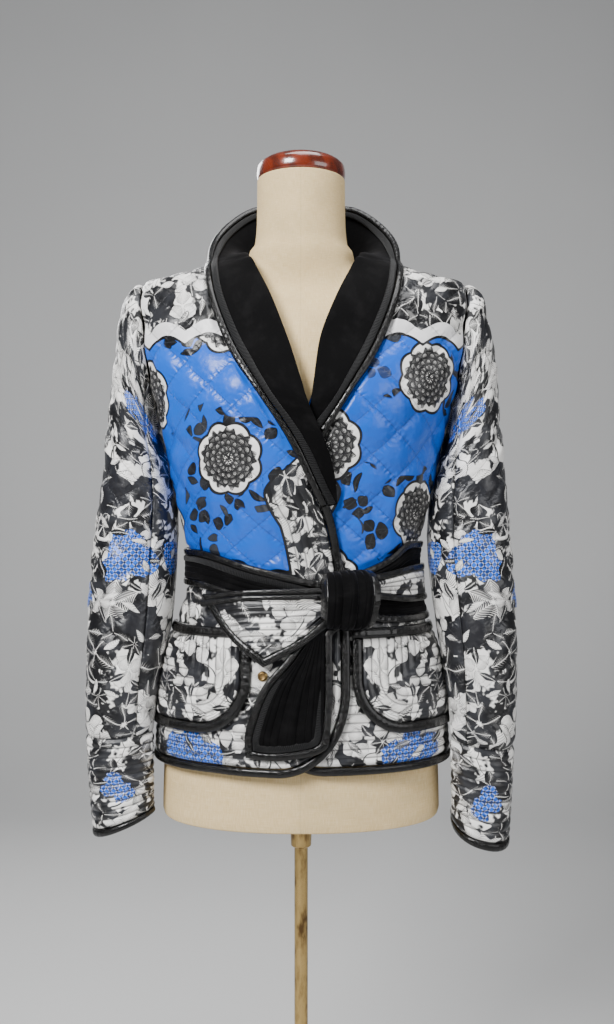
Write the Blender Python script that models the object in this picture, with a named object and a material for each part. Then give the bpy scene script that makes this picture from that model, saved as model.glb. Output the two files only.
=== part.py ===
"""A quilted wrap jacket with a tied belt, worn by a linen-covered dress form on a round foot.

Metres, +Z up. The front faces -Y, and the origin lies on the floor under the form's pole.
Right and left are the wearer's, so the right front, which laps over the left one, is at -X.
Each cloth piece is drawn flat, as (run, height) on the surface that carries it, and is then
laid on that surface as a wall. Quilting is raised in the wall's outer points.
"""

import math
from collections import namedtuple

import bpy
import numpy as np
from mathutils import Vector
from mathutils.geometry import delaunay_2d_cdt

# Cloth
WALL = 0.0028
SEAM_GAP = 0.0005
LAYER_GAP = 0.0008
JACKET_EASE = 0.0075
SHOULDER_LIFT = 0.0125
FORM_SLIM = 0.0035
FORM_SHOULDER_DROP = 0.0026
MERGE = 2e-5

# Quilting
DIAMOND_WIDE = 0.058
DIAMOND_TALL = 0.050
DIAMOND_RISE = 0.0032
CHANNEL_PITCH = 0.0094
CHANNEL_RISE = 0.0011
CUFF_CHANNEL_PITCH = 0.0100
POCKET_CHANNEL_PITCH = 0.0092
FRONT_CHANNELS = 5
HEM_CHANNELS = 9

# Jacket, in heights above the floor and distances from the jacket's centre line
HEM_Z = 0.7145
BINDING_WIDTH = 0.0098
BINDING_LIFTS = (-0.0014, 0.0036)
BREAK_Z = 1.034
COLLAR_FOOT_Z = 1.000
NECK_Z = 1.2985
FRONT_EDGE_X = 0.0515
CORNER_Z = 0.806
CORNER_RADIUS_X = 0.0775
CORNER_RADIUS_Z = CORNER_Z - HEM_Z
HEM_BAND_TOP_Z = HEM_Z + BINDING_WIDTH + HEM_CHANNELS * CHANNEL_PITCH
LAP_WAIST = 0.0050
LAP_BREAK = 0.0092
LAP_HEM = 0.0078

# Armhole: an egg in side view, read on the jacket's surface
ARMHOLE_MID_Z = 1.1870
ARMHOLE_RISE = 0.0785
ARMHOLE_FRONT = 0.053
ARMHOLE_BACK = 0.058
ARMHOLE_STEPS = 16
SIDE_TOP_Z = ARMHOLE_MID_Z - ARMHOLE_RISE - 0.004
DIAMOND_Z = 0.838

# Sleeves
SLEEVE_WALL = 0.0030
SLEEVE_GIRTH = 0.30
FRONT_SEAM = math.radians(118)
BACK_SEAM = math.radians(240)
FREE_TURN = math.radians(98)
CUFF_BINDING_GAP = 0.0009
CUFF_BINDING_LIFTS = (-0.0022, 0.0028)
SLEEVE_CLEARANCE = 0.0074
HIP_CLEARANCE = 0.0115
SLEEVE_STANDOFF = 0.0032

GATHERS = 6
GATHERS_FROM = -48
GATHER_PITCH = 16
GATHER_RISE = 0.0022
GATHER_LENGTH = 0.022

# Collar
COLLAR_WALL = 0.0032
COLLAR_BINDING = 0.0088
COLLAR_BINDING_LIFTS = (-0.0016, 0.0036)
COLLAR_TRIM = 0.0085

# Pockets
POCKET_TOP_Z = 0.872
POCKET_LOW_Z = 0.7575
POCKET_FRONT_X = 0.0535
POCKET_RADIUS = 0.062
POCKET_BAND = 0.0115
POCKET_BAND_LIFTS = (-0.0010, 0.0028)
POCKET_LIFT = WALL + LAYER_GAP + 0.0011

# Belt
BELT_WALL = 0.0026
BELT_EDGE = 0.0085
BELT_EDGE_LIFTS = (-0.0013, 0.0017)
BELT_LIFT = 0.0064
BELT_LAYER_GAP = 0.0018
BELT_STEP = 0.023
BELT_RIM_STEP = 0.032
BELT_SIDE_GAP = 0.0023
GIMP_WIDTH = 0.0070
GIMP_LIFTS = (0.0022, 0.0033)
TIE_END_LIFT = 0.0057
TAIL_LIFT = 0.0081
FOLD_RISE = 0.0034
KNOT_CENTER = (0.0496, 0.9030)
KNOT_LIFT = 0.0140
SNAP_PLACE = (-0.0414, 0.8215)
SNAP_RINGS = ((0.0050, 0.0018), (0.0055, 0.0028), (0.0050, 0.0040), (0.0030, 0.0046), (0.0026, 0.0038))
KNOT_STATIONS = (
    (-0.0315, 0.0200, 0.0160),
    (-0.0270, 0.0290, 0.0270),
    (-0.0200, 0.0315, 0.0320),
    (-0.0130, 0.0315, 0.0290),
    (-0.0060, 0.0335, 0.0350),
    (0.0010, 0.0330, 0.0310),
    (0.0080, 0.0335, 0.0345),
    (0.0150, 0.0320, 0.0295),
    (0.0215, 0.0315, 0.0315),
    (0.0275, 0.0285, 0.0260),
    (0.0315, 0.0200, 0.0150),
)

# Dress form
NECK_TOP_Z = 1.3935
CAP_TOP_Z = 1.4215
CAP_RADIUS = 0.0525
FORM_BOTTOM_Z = 0.648
POLE_RADIUS = 0.008
BASE_RADIUS = 0.180
BASE_EDGE = 0.010
BASE_CROWN = 0.024

Level = namedtuple("Level", "z half front back power")
FORM_LEVELS = (
    Level(0.6480, 0.1610, 0.1040, 0.1120, 2.2),
    Level(0.6540, 0.1630, 0.1060, 0.1140, 2.2),
    Level(0.7000, 0.1640, 0.1090, 0.1190, 2.2),
    Level(0.7600, 0.1615, 0.1100, 0.1210, 2.2),
    Level(0.8360, 0.1480, 0.1020, 0.1100, 2.2),
    Level(0.8710, 0.1365, 0.0960, 0.1000, 2.2),
    Level(0.9140, 0.1245, 0.0890, 0.0880, 2.2),
    Level(0.9430, 0.1235, 0.0885, 0.0860, 2.2),
    Level(0.9850, 0.1310, 0.0950, 0.0880, 2.2),
    Level(1.0400, 0.1440, 0.1080, 0.0940, 2.3),
    Level(1.0850, 0.1530, 0.1150, 0.1000, 2.4),
    Level(1.1150, 0.1600, 0.1160, 0.1030, 2.5),
    Level(1.1500, 0.1720, 0.1120, 0.1050, 2.7),
    Level(1.1900, 0.1800, 0.1010, 0.1030, 2.9),
    Level(1.2250, 0.1835, 0.0850, 0.0960, 3.0),
    Level(1.2400, 0.1840, 0.0720, 0.0840, 2.8),
    Level(1.2520, 0.1800, 0.0600, 0.0700, 2.6),
    Level(1.2580, 0.1590, 0.0560, 0.0650, 2.4),
    Level(1.2690, 0.1180, 0.0520, 0.0620, 2.3),
    Level(1.2800, 0.0800, 0.0510, 0.0610, 2.2),
    Level(1.2890, 0.0650, 0.0520, 0.0620, 2.1),
)
NECK_LEVELS = (
    Level(1.3070, 0.0615, 0.0540, 0.0620, 2.0),
    Level(1.3160, 0.0550, 0.0520, 0.0600, 2.0),
    Level(1.3450, 0.0525, 0.0520, 0.0570, 2.0),
    Level(NECK_TOP_Z, 0.0520, 0.0530, 0.0550, 2.0),
)
BUST_X = 0.080
BUST_Z = 1.118
BUST_RISE = 0.008
BUST_SPREAD = 0.045
JACKET_SHIFT_LOW = 0.0015
JACKET_SHIFT_HIGH = 0.0035

# The right sleeve's rings, from the armhole to the cuff seam, as distances from the centre line
Ring = namedtuple("Ring", "outer_x outer_z inner_x inner_z depth middle dip")
RIGHT_SLEEVE = (
    Ring(0.1860, 1.2665, 0.168, 1.106, 0.056, 0.002, 0.0),
    Ring(0.1965, 1.2660, 0.170, 1.100, 0.057, 0.002, 0.0),
    Ring(0.2050, 1.2490, 0.170, 1.095, 0.057, 0.002, 0.0),
    Ring(0.2110, 1.2225, 0.168, 1.090, 0.057, 0.001, 0.0),
    Ring(0.2140, 1.1930, 0.166, 1.084, 0.056, 0.000, 0.0),
    Ring(0.2190, 1.1510, 0.163, 1.074, 0.055, -0.002, 0.0),
    Ring(0.2230, 1.1100, 0.158, 1.060, 0.054, -0.005, 0.0),
    Ring(0.2265, 1.0600, 0.151, 1.035, 0.053, -0.008, 0.0),
    Ring(0.2330, 1.0100, 0.147, 1.000, 0.051, -0.011, 0.0),
    Ring(0.2400, 0.9600, 0.1475, 0.957, 0.049, -0.014, 0.0),
    Ring(0.2435, 0.9100, 0.1495, 0.908, 0.047, -0.018, 0.0),
    Ring(0.2450, 0.8600, 0.1545, 0.860, 0.045, -0.022, 0.001),
    Ring(0.2455, 0.8100, 0.1620, 0.811, 0.043, -0.026, 0.002),
    Ring(0.2460, 0.7450, 0.1665, 0.750, 0.041, -0.028, 0.002),
)
LEFT_SLEEVE = (
    Ring(0.1930, 1.2660, 0.172, 1.106, 0.056, 0.002, 0.0),
    Ring(0.2040, 1.2650, 0.174, 1.100, 0.058, 0.002, 0.0),
    Ring(0.2118, 1.2560, 0.174, 1.095, 0.058, 0.002, 0.0),
    Ring(0.2155, 1.2300, 0.172, 1.090, 0.058, 0.001, 0.0),
    Ring(0.2236, 1.1950, 0.170, 1.084, 0.058, 0.000, 0.0),
    Ring(0.2280, 1.1510, 0.167, 1.074, 0.057, -0.002, 0.0),
    Ring(0.2295, 1.1110, 0.162, 1.060, 0.056, -0.005, 0.0),
    Ring(0.2335, 1.0640, 0.156, 1.035, 0.055, -0.008, 0.0),
    Ring(0.2380, 1.0150, 0.152, 1.000, 0.053, -0.011, 0.0),
    Ring(0.2425, 0.9600, 0.151, 0.957, 0.051, -0.014, 0.0),
    Ring(0.2462, 0.9100, 0.155, 0.908, 0.049, -0.018, 0.0),
    Ring(0.2474, 0.8600, 0.1615, 0.860, 0.047, -0.022, 0.002),
    Ring(0.2465, 0.8000, 0.1660, 0.805, 0.045, -0.026, 0.004),
    Ring(0.2440, 0.7330, 0.1685, 0.745, 0.043, -0.028, 0.005),
)
RIGHT_CUFF = (
    Ring(0.2460, 0.7450, 0.1665, 0.7500, 0.0410, -0.028, 0.002),
    Ring(0.2430, 0.6960, 0.1660, 0.7050, 0.0395, -0.030, 0.003),
    Ring(0.2375, 0.6400, 0.1670, 0.6660, 0.0380, -0.033, 0.003),
)
LEFT_CUFF = (
    Ring(0.2440, 0.7330, 0.1685, 0.7450, 0.0430, -0.028, 0.005),
    Ring(0.2415, 0.6880, 0.1710, 0.6980, 0.0415, -0.030, 0.007),
    Ring(0.2375, 0.6330, 0.1765, 0.6460, 0.0400, -0.033, 0.009),
)

# The collar's halves, from the centre back; the right one laps over the left and runs on to the
# front edge. A back of None lies on the front.
Station = namedtuple("Station", "base_x base_z base_back edge_x edge_z edge_back")
COLLAR = (
    Station(0.0003, 1.2999, 0.0705, 0.0003, 1.3920, 0.1000),
    Station(0.0300, 1.3001, 0.0660, 0.0560, 1.3870, 0.0860),
    Station(0.0560, 1.3008, 0.0485, 0.0960, 1.3570, 0.0540),
    Station(0.0700, 1.3025, 0.0145, 0.1130, 1.3240, 0.0220),
    Station(0.0650, 1.3030, -0.0200, 0.1160, 1.2950, -0.0140),
    Station(0.0555, 1.2810, -0.0640, 0.1085, 1.2490, -0.0800),
    Station(0.0370, 1.2400, None, 0.0950, 1.2070, None),
    Station(0.0165, 1.1840, None, 0.0765, 1.1655, None),
)
COLLAR_RIGHT = COLLAR + (
    Station(-0.0025, 1.1250, None, 0.0555, 1.1330, None),
    Station(-0.0145, 1.0980, None, 0.0300, 1.0985, None),
    Station(-0.0250, 1.0730, None, 0.0085, 1.0640, None),
    Station(-0.0335, 1.0400, None, -0.0053, 1.0360, None),
    Station(-0.0362, 1.0120, None, -0.0190, 1.0065, None),
)
COLLAR_LEFT = COLLAR + (
    Station(0.0085, 1.1250, None, 0.0555, 1.1330, None),
    Station(0.0040, 1.0930, None, 0.0265, 1.0870, None),
    Station(0.0040, 1.0730, None, 0.0160, 1.0670, None),
)
COLLAR_STEP = 0.023788
COLLAR_LINES = (0.30, 0.60, 0.86)

# The belt's pieces, each as the rims that carry leather, with the cloth on the left of the way
SIDE_X = 0.1600
VELVET_RIGHT_TOP = ((0.0340, 0.9190), (-0.0400, 0.9380), (-0.1200, 0.9590), (-SIDE_X, 0.9590))
VELVET_RIGHT_LOW = ((-SIDE_X, 0.9150), (-0.1200, 0.9150), (-0.0400, 0.8970), (0.0340, 0.8860))
VELVET_LEFT_TOP = ((SIDE_X, 0.9680), (0.1180, 0.9680), (0.0900, 0.9480), (0.0560, 0.9340))
VELVET_LEFT_LOW = ((0.0560, 0.8840), (0.0900, 0.8760), (0.1180, 0.8745), (SIDE_X, 0.8745))
PRINT_LEFT_TOP = ((SIDE_X, 0.9405), (0.1200, 0.9405), (0.0780, 0.9320), (0.0600, 0.9300))
PRINT_LEFT_LOW = ((0.0600, 0.9050), (0.0837, 0.9006), (0.1200, 0.8950), (SIDE_X, 0.8950))
BACK_LOW = ((-1.0, 0.9150), (-0.1500, 0.9150), (0.0000, 0.9040), (0.1400, 0.8850), (1.0, 0.8850))
BACK_TOP = ((1.0, 0.9560), (0.1400, 0.9560), (0.0000, 0.9480), (-0.1500, 0.9590), (-1.0, 0.9590))
TIE_END = (
    (0.0300, 0.9180),
    (-0.0510, 0.9153),
    (-0.1050, 0.9057),
    (-0.0737, 0.8590),
    (-0.0394, 0.8308),
    (0.0033, 0.8540),
    (0.0340, 0.8800),
)
TAIL = (
    (0.0060, 0.8720),
    (-0.0133, 0.8440),
    (-0.0410, 0.8100),
    (-0.0520, 0.7836),
    (-0.0590, 0.7570),
    (-0.0580, 0.7367),
    (-0.0335, 0.7346),
    (0.0134, 0.7410),
    (0.0273, 0.7516),
    (0.0305, 0.7815),
    (0.0315, 0.8120),
    (0.0315, 0.8620),
    (0.0460, 0.8750),
)
FOLDS = (
    ((-0.0050, 0.8240), (-0.0300, 0.7800)),
    ((0.0030, 0.8260), (-0.0150, 0.7760)),
    ((0.0110, 0.8260), (0.0020, 0.7780)),
)


def smooth(x, xs, ys):
    """The values at x of a curve through (xs, ys) that never swings past its points."""
    xs = np.asarray(xs, float)
    ys = np.asarray(ys, float)
    gaps = np.diff(xs)
    slopes = np.diff(ys) / gaps
    product = slopes[:-1] * slopes[1:]
    total = slopes[:-1] + slopes[1:]
    level = product <= 0
    inner = np.where(level, 0.0, 2 * product / np.where(level, 1.0, total))
    tangents = np.concatenate([slopes[:1], inner, slopes[-1:]])
    x = np.clip(np.asarray(x, float), xs[0], xs[-1])
    i = np.clip(np.searchsorted(xs, x, side="right") - 1, 0, len(gaps) - 1)
    part = (x - xs[i]) / gaps[i]
    rest = 1 - part
    ends = ys[i] * (1 + 2 * part) * rest**2 + ys[i + 1] * (3 - 2 * part) * part**2
    return ends + gaps[i] * part * rest * (tangents[i] * rest - tangents[i + 1] * part)


def ramp(x, low, high):
    """0 below low, 1 above high, and a smooth step between."""
    part = np.clip((np.asarray(x, float) - low) / (high - low), 0, 1)
    return part * part * (3 - 2 * part)


def unit(vectors):
    return vectors / np.maximum(np.linalg.norm(vectors, axis=-1, keepdims=True), 1e-9)


class Hull:
    """A body of oval levels, read by the turn from its centre front and the height."""

    steps = 96

    def __init__(self, levels, shifted):
        self.z = [level.z for level in levels]
        self.columns = [[level[i] for level in levels] for i in range(1, 5)]
        self.shifted = shifted

    def sizes(self, z):
        return [smooth(z, self.z, column) for column in self.columns]

    def shift(self, z):
        if not self.shifted:
            return np.zeros_like(np.asarray(z, float))
        return smooth(z, (0.9, 1.15), (JACKET_SHIFT_LOW, JACKET_SHIFT_HIGH))

    def point(self, turn, z):
        half, front, back, power = self.sizes(z)
        side = np.sin(turn)
        fore = np.cos(turn)
        x = half * np.sign(side) * np.abs(side) ** (2 / power)
        depth = np.where(fore > 0, front, back)
        y = -depth * np.sign(fore) * np.abs(fore) ** (2 / power)
        across = (np.abs(x) - BUST_X) / BUST_SPREAD
        along = (z - BUST_Z) / BUST_SPREAD
        y = y - BUST_RISE * np.exp(-(across**2) - along**2) * np.clip(fore * 2, 0, 1)
        return np.stack(np.broadcast_arrays(x + self.shift(z), y, z), axis=-1)

    def lengths(self, z):
        """The turns of a half level, and the run along it to each of them."""
        turns = np.linspace(0, math.pi, self.steps + 1)
        points = self.point(turns[None, :], np.asarray(z, float)[:, None])
        parts = np.linalg.norm(np.diff(points, axis=1), axis=2)
        return turns, np.concatenate([np.zeros((len(parts), 1)), np.cumsum(parts, axis=1)], axis=1)

    def run_at(self, turn, z, from_back=False):
        """The run from the centre front, or from the centre back, to a turn."""
        turn = np.atleast_1d(np.asarray(turn, float))
        z = np.broadcast_to(np.asarray(z, float), turn.shape)
        turns, lengths = self.lengths(z)
        runs = np.array([np.interp(abs(t), turns, row) for t, row in zip(turn, lengths)])
        if from_back:
            runs = lengths[:, -1] - runs
        return np.where(turn < 0, -runs, runs)

    def turn_at(self, run, z, from_back=False):
        turns, lengths = self.lengths(z)
        reach = np.abs(run)
        if from_back:
            reach = lengths[:, -1] - reach
        found = np.array([np.interp(r, row, turns) for r, row in zip(reach, lengths)])
        return np.where(run < 0, -found, found)

    def at(self, flat, lift, from_back=False):
        """Flat points (run, height) laid on the surface and lifted off it."""
        flat = np.asarray(flat, float)
        z = flat[:, 1]
        turn = self.turn_at(flat[:, 0], z, from_back)
        return self.lifted(turn, z, lift)

    def lifted(self, turn, z, lift):
        small = 1e-3
        across = self.point(turn + small, z) - self.point(turn - small, z)
        upward = self.point(turn, z + small) - self.point(turn, z - small)
        normal = unit(np.cross(across, upward))
        return self.point(turn, z) + normal * np.asarray(lift, float)[..., None]

    def front_flat(self, places):
        """Front view places (x from the centre line, z) as flat points from the centre front."""
        places = np.asarray(places, float)
        half, _, _, power = self.sizes(places[:, 1])
        ratio = np.clip(np.abs(places[:, 0]) / half, 0, 1)
        turn = np.arcsin(ratio ** (power / 2)) * np.sign(places[:, 0])
        return np.column_stack([self.run_at(turn, places[:, 1]), places[:, 1]])


def eased(level):
    """A level of the jacket: the form's, moved out by the ease."""
    lift = SHOULDER_LIFT * float(ramp(level.z, 1.18, 1.25))
    return Level(
        level.z + lift,
        level.half + JACKET_EASE,
        level.front + JACKET_EASE,
        level.back + JACKET_EASE,
        level.power,
    )


def slimmed(level):
    """A level of the form where the jacket hides it, kept off the cloth's inner face."""
    share = float(ramp(level.z, 0.68, 0.72) * (1 - ramp(level.z, 1.270, 1.288)))
    less = FORM_SLIM * share
    drop = FORM_SHOULDER_DROP * float(ramp(level.z, 1.20, 1.24)) * share
    return Level(
        level.z - drop, level.half - less, level.front - less, level.back - less, level.power - 0.3 * share
    )


FORM = Hull(tuple(slimmed(level) for level in FORM_LEVELS) + NECK_LEVELS, False)
JACKET = Hull(tuple(eased(level) for level in FORM_LEVELS), True)


def front_place(flat, lift):
    return JACKET.at(flat, lift)


def back_place(flat, lift):
    return JACKET.at(flat, lift, from_back=True)


def material(name, colour, roughness, metallic=0.0):
    """A plain finish for a sub-part."""
    made = bpy.data.materials.new(name)
    made.use_nodes = True
    shader = made.node_tree.nodes["Principled BSDF"]
    shader.inputs["Base Color"].default_value = (*colour, 1.0)
    shader.inputs["Roughness"].default_value = roughness
    shader.inputs["Metallic"].default_value = metallic
    made.diffuse_color = (*colour, 1.0)
    return made


def make_mesh(name, points, faces, finish):
    """One named closed object from its points and faces, turned to face outwards."""
    points = np.asarray(points, float)
    volume = 0.0
    for face in faces:
        first = points[face[0]]
        for second, third in zip(face[1:-1], face[2:]):
            volume += float(np.dot(first, np.cross(points[second], points[third])))
    if volume < 0:
        faces = [tuple(reversed(face)) for face in faces]
    mesh = bpy.data.meshes.new(name)
    mesh.from_pydata([tuple(point) for point in points], [], [tuple(face) for face in faces])
    mesh.materials.append(finish)
    mesh.shade_smooth()
    mesh.set_sharp_from_angle(angle=math.radians(40))
    made = bpy.data.objects.new(name, mesh)
    bpy.context.scene.collection.objects.link(made)
    return made


def spread(path, step, closed=False):
    """A path whose sides are split so that none is longer than the step; its corners stay."""
    path = np.asarray(path, float)
    ends = np.roll(path, -1, axis=0) if closed else path[1:]
    found = []
    for start, end in zip(path, ends):
        count = max(1, math.ceil(np.linalg.norm(end - start) / step - 1e-6))
        found += [start + (end - start) * i / count for i in range(count)]
    if not closed:
        found.append(path[-1])
    return np.array(found)


def moved_across(path, distance):
    """A flat path moved to the right of its direction by a distance."""
    path = np.asarray(path, float)
    ahead = unit(np.diff(path, axis=0))
    before = np.vstack([ahead[:1], ahead])
    after = np.vstack([ahead, ahead[-1:]])
    along = unit(before + after)
    right = np.column_stack([along[:, 1], -along[:, 0]])
    stretch = 1 / np.maximum((along * after).sum(axis=1), 0.5)
    return path + right * (distance * stretch)[:, None]


def inside(points, outline):
    """Whether each flat point lies inside a closed outline."""
    x = points[:, 0][:, None]
    y = points[:, 1][:, None]
    ax, ay = outline[:, 0], outline[:, 1]
    bx, by = np.roll(ax, -1), np.roll(ay, -1)
    spans = (ay > y) != (by > y)
    reach = ax + (y - ay) * (bx - ax) / np.where(by == ay, 1e-12, by - ay)
    return (spans & (x < reach)).sum(axis=1) % 2 == 1


def distance_to(points, outline):
    """The distance of each flat point from a closed outline."""
    start = outline[None]
    side = (np.roll(outline, -1, axis=0) - outline)[None]
    offset = points[:, None] - start
    part = np.clip((offset * side).sum(-1) / np.maximum((side * side).sum(-1), 1e-12), 0, 1)
    return np.linalg.norm(offset - part[..., None] * side, axis=-1).min(axis=1)


def cut_to(path, rise, outline):
    """The runs of a flat path inside an outline, as (u, v, rise) rows; cut ends have no rise."""
    runs = []
    current = []
    tops = np.roll(outline, -1, axis=0)
    for start, end in zip(path[:-1], path[1:]):
        way = end - start
        side = tops - outline
        cross = way[0] * side[:, 1] - way[1] * side[:, 0]
        cross = np.where(np.abs(cross) < 1e-15, 1e-15, cross)
        offset = outline - start
        along = (offset[:, 0] * side[:, 1] - offset[:, 1] * side[:, 0]) / cross
        beside = (offset[:, 0] * way[1] - offset[:, 1] * way[0]) / cross
        hits = along[(along > 1e-9) & (along < 1 - 1e-9) & (beside >= 0) & (beside <= 1)]
        marks = [0.0, *sorted(hits), 1.0]
        for low, high in zip(marks[:-1], marks[1:]):
            middle = start + way * (low + high) / 2
            if not inside(middle[None], outline)[0]:
                if current:
                    runs.append(current)
                current = []
                continue
            if not current:
                current = [[*(start + way * low), 0.0 if low > 0 else rise]]
            current.append([*(start + way * high), 0.0 if high < 1 else rise])
    if current:
        runs.append(current)
    return runs


def diamonds(zone, origin, parts=2, rise=DIAMOND_RISE):
    """Stitch lines and crowns of diamond quilting inside a zone."""
    zone = np.asarray(zone, float)
    low = (zone.min(axis=0) - origin) / (DIAMOND_WIDE, DIAMOND_TALL)
    high = (zone.max(axis=0) - origin) / (DIAMOND_WIDE, DIAMOND_TALL)
    size = np.array([DIAMOND_WIDE, DIAMOND_TALL])
    found = []
    reach = int(math.ceil(max(np.abs(low).max(), np.abs(high).max()))) * 2 + 2
    for slope in (1, -1):
        for number in range(-reach, reach + 1):
            first, last = math.floor(low[0]) - 1, math.ceil(high[0]) + 1
            across = np.linspace(first, last, (last - first) * parts + 1)
            line = np.column_stack([across, (number - across) * slope])
            line = line[(line[:, 1] > low[1] - 0.6) & (line[:, 1] < high[1] + 0.6)]
            if len(line) > 1:
                found += cut_to(line * size + origin, 0.0, zone)
    for i in range(-reach, reach + 1):
        for j in range(-reach, reach + 1):
            crown = np.array([(i + j + 1) / 2, (i - j) / 2]) * size + origin
            if inside(crown[None], zone)[0] and distance_to(crown[None], zone)[0] > 0.004:
                found.append([[*crown, rise]])
    return found


def channels(first, toward, count, pitch, zone, rise=CHANNEL_RISE, step=0.033):
    """Grooves and crests beside a flat path, in rows that move off it; toward is +1 or -1."""
    found = []
    for row in range(2 * count + 1):
        path = moved_across(spread(first, step), toward * row * pitch / 2)
        found += cut_to(path, rise if row % 2 else 0.0, zone)
    return found


def within(run, outline):
    """The parts of a run inside an outline; its own points keep their rise."""
    path = np.asarray(run, float)
    if len(path) == 1:
        return [run] if inside(path[:, :2], outline)[0] else []
    parts = cut_to(path[:, :2], 0.0, outline)
    for part in parts:
        for row in part:
            near = np.linalg.norm(path[:, :2] - row[:2], axis=1)
            if near.min() < 1e-9:
                row[2] = path[int(np.argmin(near)), 2]
    return parts


def flattened(runs, covers):
    """The same runs, with no rise where another piece lies on them."""
    found = []
    for run in runs:
        points = np.asarray(run, float)
        for cover in covers:
            hidden = inside(points[:, :2], cover) | (distance_to(points[:, :2], cover) < 0.004)
            points[:, 2] = np.where(hidden, 0.0, points[:, 2])
        found.append(points.tolist())
    return found


def triangulate(outline, runs):
    """Flat points, their rises, the triangles and the border loop of an outline with lines in it."""
    points = [list(point) for point in outline]
    rises = [0.0] * len(points)
    edges = [(i, (i + 1) % len(points)) for i in range(len(points))]
    for run in runs:
        first = len(points)
        points += [row[:2] for row in run]
        rises += [row[2] for row in run]
        edges += [(i, i + 1) for i in range(first, len(points) - 1)]
    flat = [Vector(point) for point in points]
    found, _, faces, sources, _, _ = delaunay_2d_cdt(flat, edges, [], 1, MERGE)
    heights = [max([rises[i] for i in ids], default=0.0) for ids in sources]
    ahead = {}
    sides = {(face[i], face[(i + 1) % 3]) for face in faces for i in range(3)}
    for start, end in sides:
        if (end, start) not in sides:
            ahead[start] = end
    loop = [min(ahead)]
    for _ in range(len(ahead) - 1):
        loop.append(ahead[loop[-1]])
    assert len(set(loop)) == len(ahead) and ahead[loop[-1]] == loop[0]
    return np.array([list(point) for point in found]), np.array(heights), faces, loop


def lift_of(base, flat):
    return base(flat) if callable(base) else np.full(len(flat), float(base))


def dots_inside(outline, pitch):
    """Level points on a square grid inside an outline, as runs of one point each."""
    low, high = outline.min(axis=0), outline.max(axis=0)
    across = np.arange(low[0] + pitch / 2, high[0], pitch)
    upward = np.arange(low[1] + pitch / 2, high[1], pitch)
    grid = np.array([[u, v] for u in across for v in upward]).reshape(-1, 2)
    if len(grid):
        grid = grid[inside(grid, outline) & (distance_to(grid, outline) > pitch * 0.4)]
    return [[[*point, 0.0]] for point in grid]


def panel(name, outline, place, finish, runs=(), base=0.0, wall=WALL, backing=0.040, step=0.032):
    """A closed cloth wall on a flat outline; runs shape its outer face and backing its inner one."""
    outline = spread(outline, step, closed=True)
    flat, rises, faces, loop = triangulate(outline, runs or dots_inside(outline, backing))
    border = np.zeros(len(flat), bool)
    border[loop] = True
    rises = np.where(border, 0.0, rises)
    ring = flat[loop]
    under, _, under_faces, under_loop = triangulate(ring, dots_inside(ring, backing))
    start = int(np.argmin(np.linalg.norm(under[under_loop] - ring[0], axis=1)))
    under_loop = under_loop[start:] + under_loop[:start]
    assert len(under_loop) == len(loop)
    top = place(flat, lift_of(base, flat) + wall / 2 + rises)
    bottom = place(under, lift_of(base, under) - wall / 2)
    count = len(flat)
    solid = [tuple(face) for face in faces]
    solid += [tuple(count + i for i in reversed(face)) for face in under_faces]
    for i in range(len(loop)):
        j = (i + 1) % len(loop)
        solid.append((loop[j], loop[i], count + under_loop[i]))
        solid.append((loop[j], count + under_loop[i], count + under_loop[j]))
    return make_mesh(name, np.vstack([top, bottom]), solid, finish)


def bar(name, path, profile, place, finish, base=0.0, upright=False):
    """A closed bar along a flat path; the profile's points are (across to the right, lift)."""
    path = np.asarray(path, float)
    rows = []
    for across, lift in profile:
        flat = path - (0.0, across) if upright else moved_across(path, across)
        rows.append(place(flat, lift_of(base, flat) + lift))
    points = np.stack(rows, axis=1).reshape(-1, 3)
    size = len(profile)
    faces = []
    for i in range(len(path) - 1):
        for j in range(size):
            k = (j + 1) % size
            faces.append((i * size + j, i * size + k, (i + 1) * size + k, (i + 1) * size + j))
    faces.append(tuple(reversed(range(size))))
    faces.append(tuple((len(path) - 1) * size + j for j in range(size)))
    return make_mesh(name, points, faces, finish)


def band_profile(inner, outer, low, high):
    """A flat band with softened corners, from inner to outer across and low to high in lift."""
    soft = (outer - inner) * 0.3
    return ((inner, low), (inner, high - 0.0004), (outer - soft, high), (outer, low + 0.0006))


def stack(name, rings, finish):
    """A closed solid through rings of equal count, with flat ends."""
    size = len(rings[0])
    points = np.vstack(rings)
    faces = []
    for i in range(len(rings) - 1):
        for j in range(size):
            k = (j + 1) % size
            faces.append((i * size + j, i * size + k, (i + 1) * size + k, (i + 1) * size + j))
    faces.append(tuple(reversed(range(size))))
    faces.append(tuple((len(rings) - 1) * size + j for j in range(size)))
    return make_mesh(name, points, faces, finish)


def turned(name, profile, finish, sides=32, squash=1.0):
    """A closed turned solid from (radius, z) points, on the pole's axis."""
    turns = np.linspace(0, 2 * math.pi, sides, endpoint=False)
    rings = []
    for radius, z in profile:
        ring = [np.cos(turns) * radius, np.sin(turns) * radius * squash, np.full(sides, z)]
        rings.append(np.column_stack(ring))
    return stack(name, rings, finish)


def arc(center, radius_x, radius_z, start, end, count):
    """Points of an elliptical arc; the angles are in degrees from straight down, towards +X."""
    angles = np.radians(np.linspace(start, end, count))
    return np.column_stack(
        [center[0] + radius_x * np.sin(angles), center[1] - radius_z * np.cos(angles)]
    )


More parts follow.
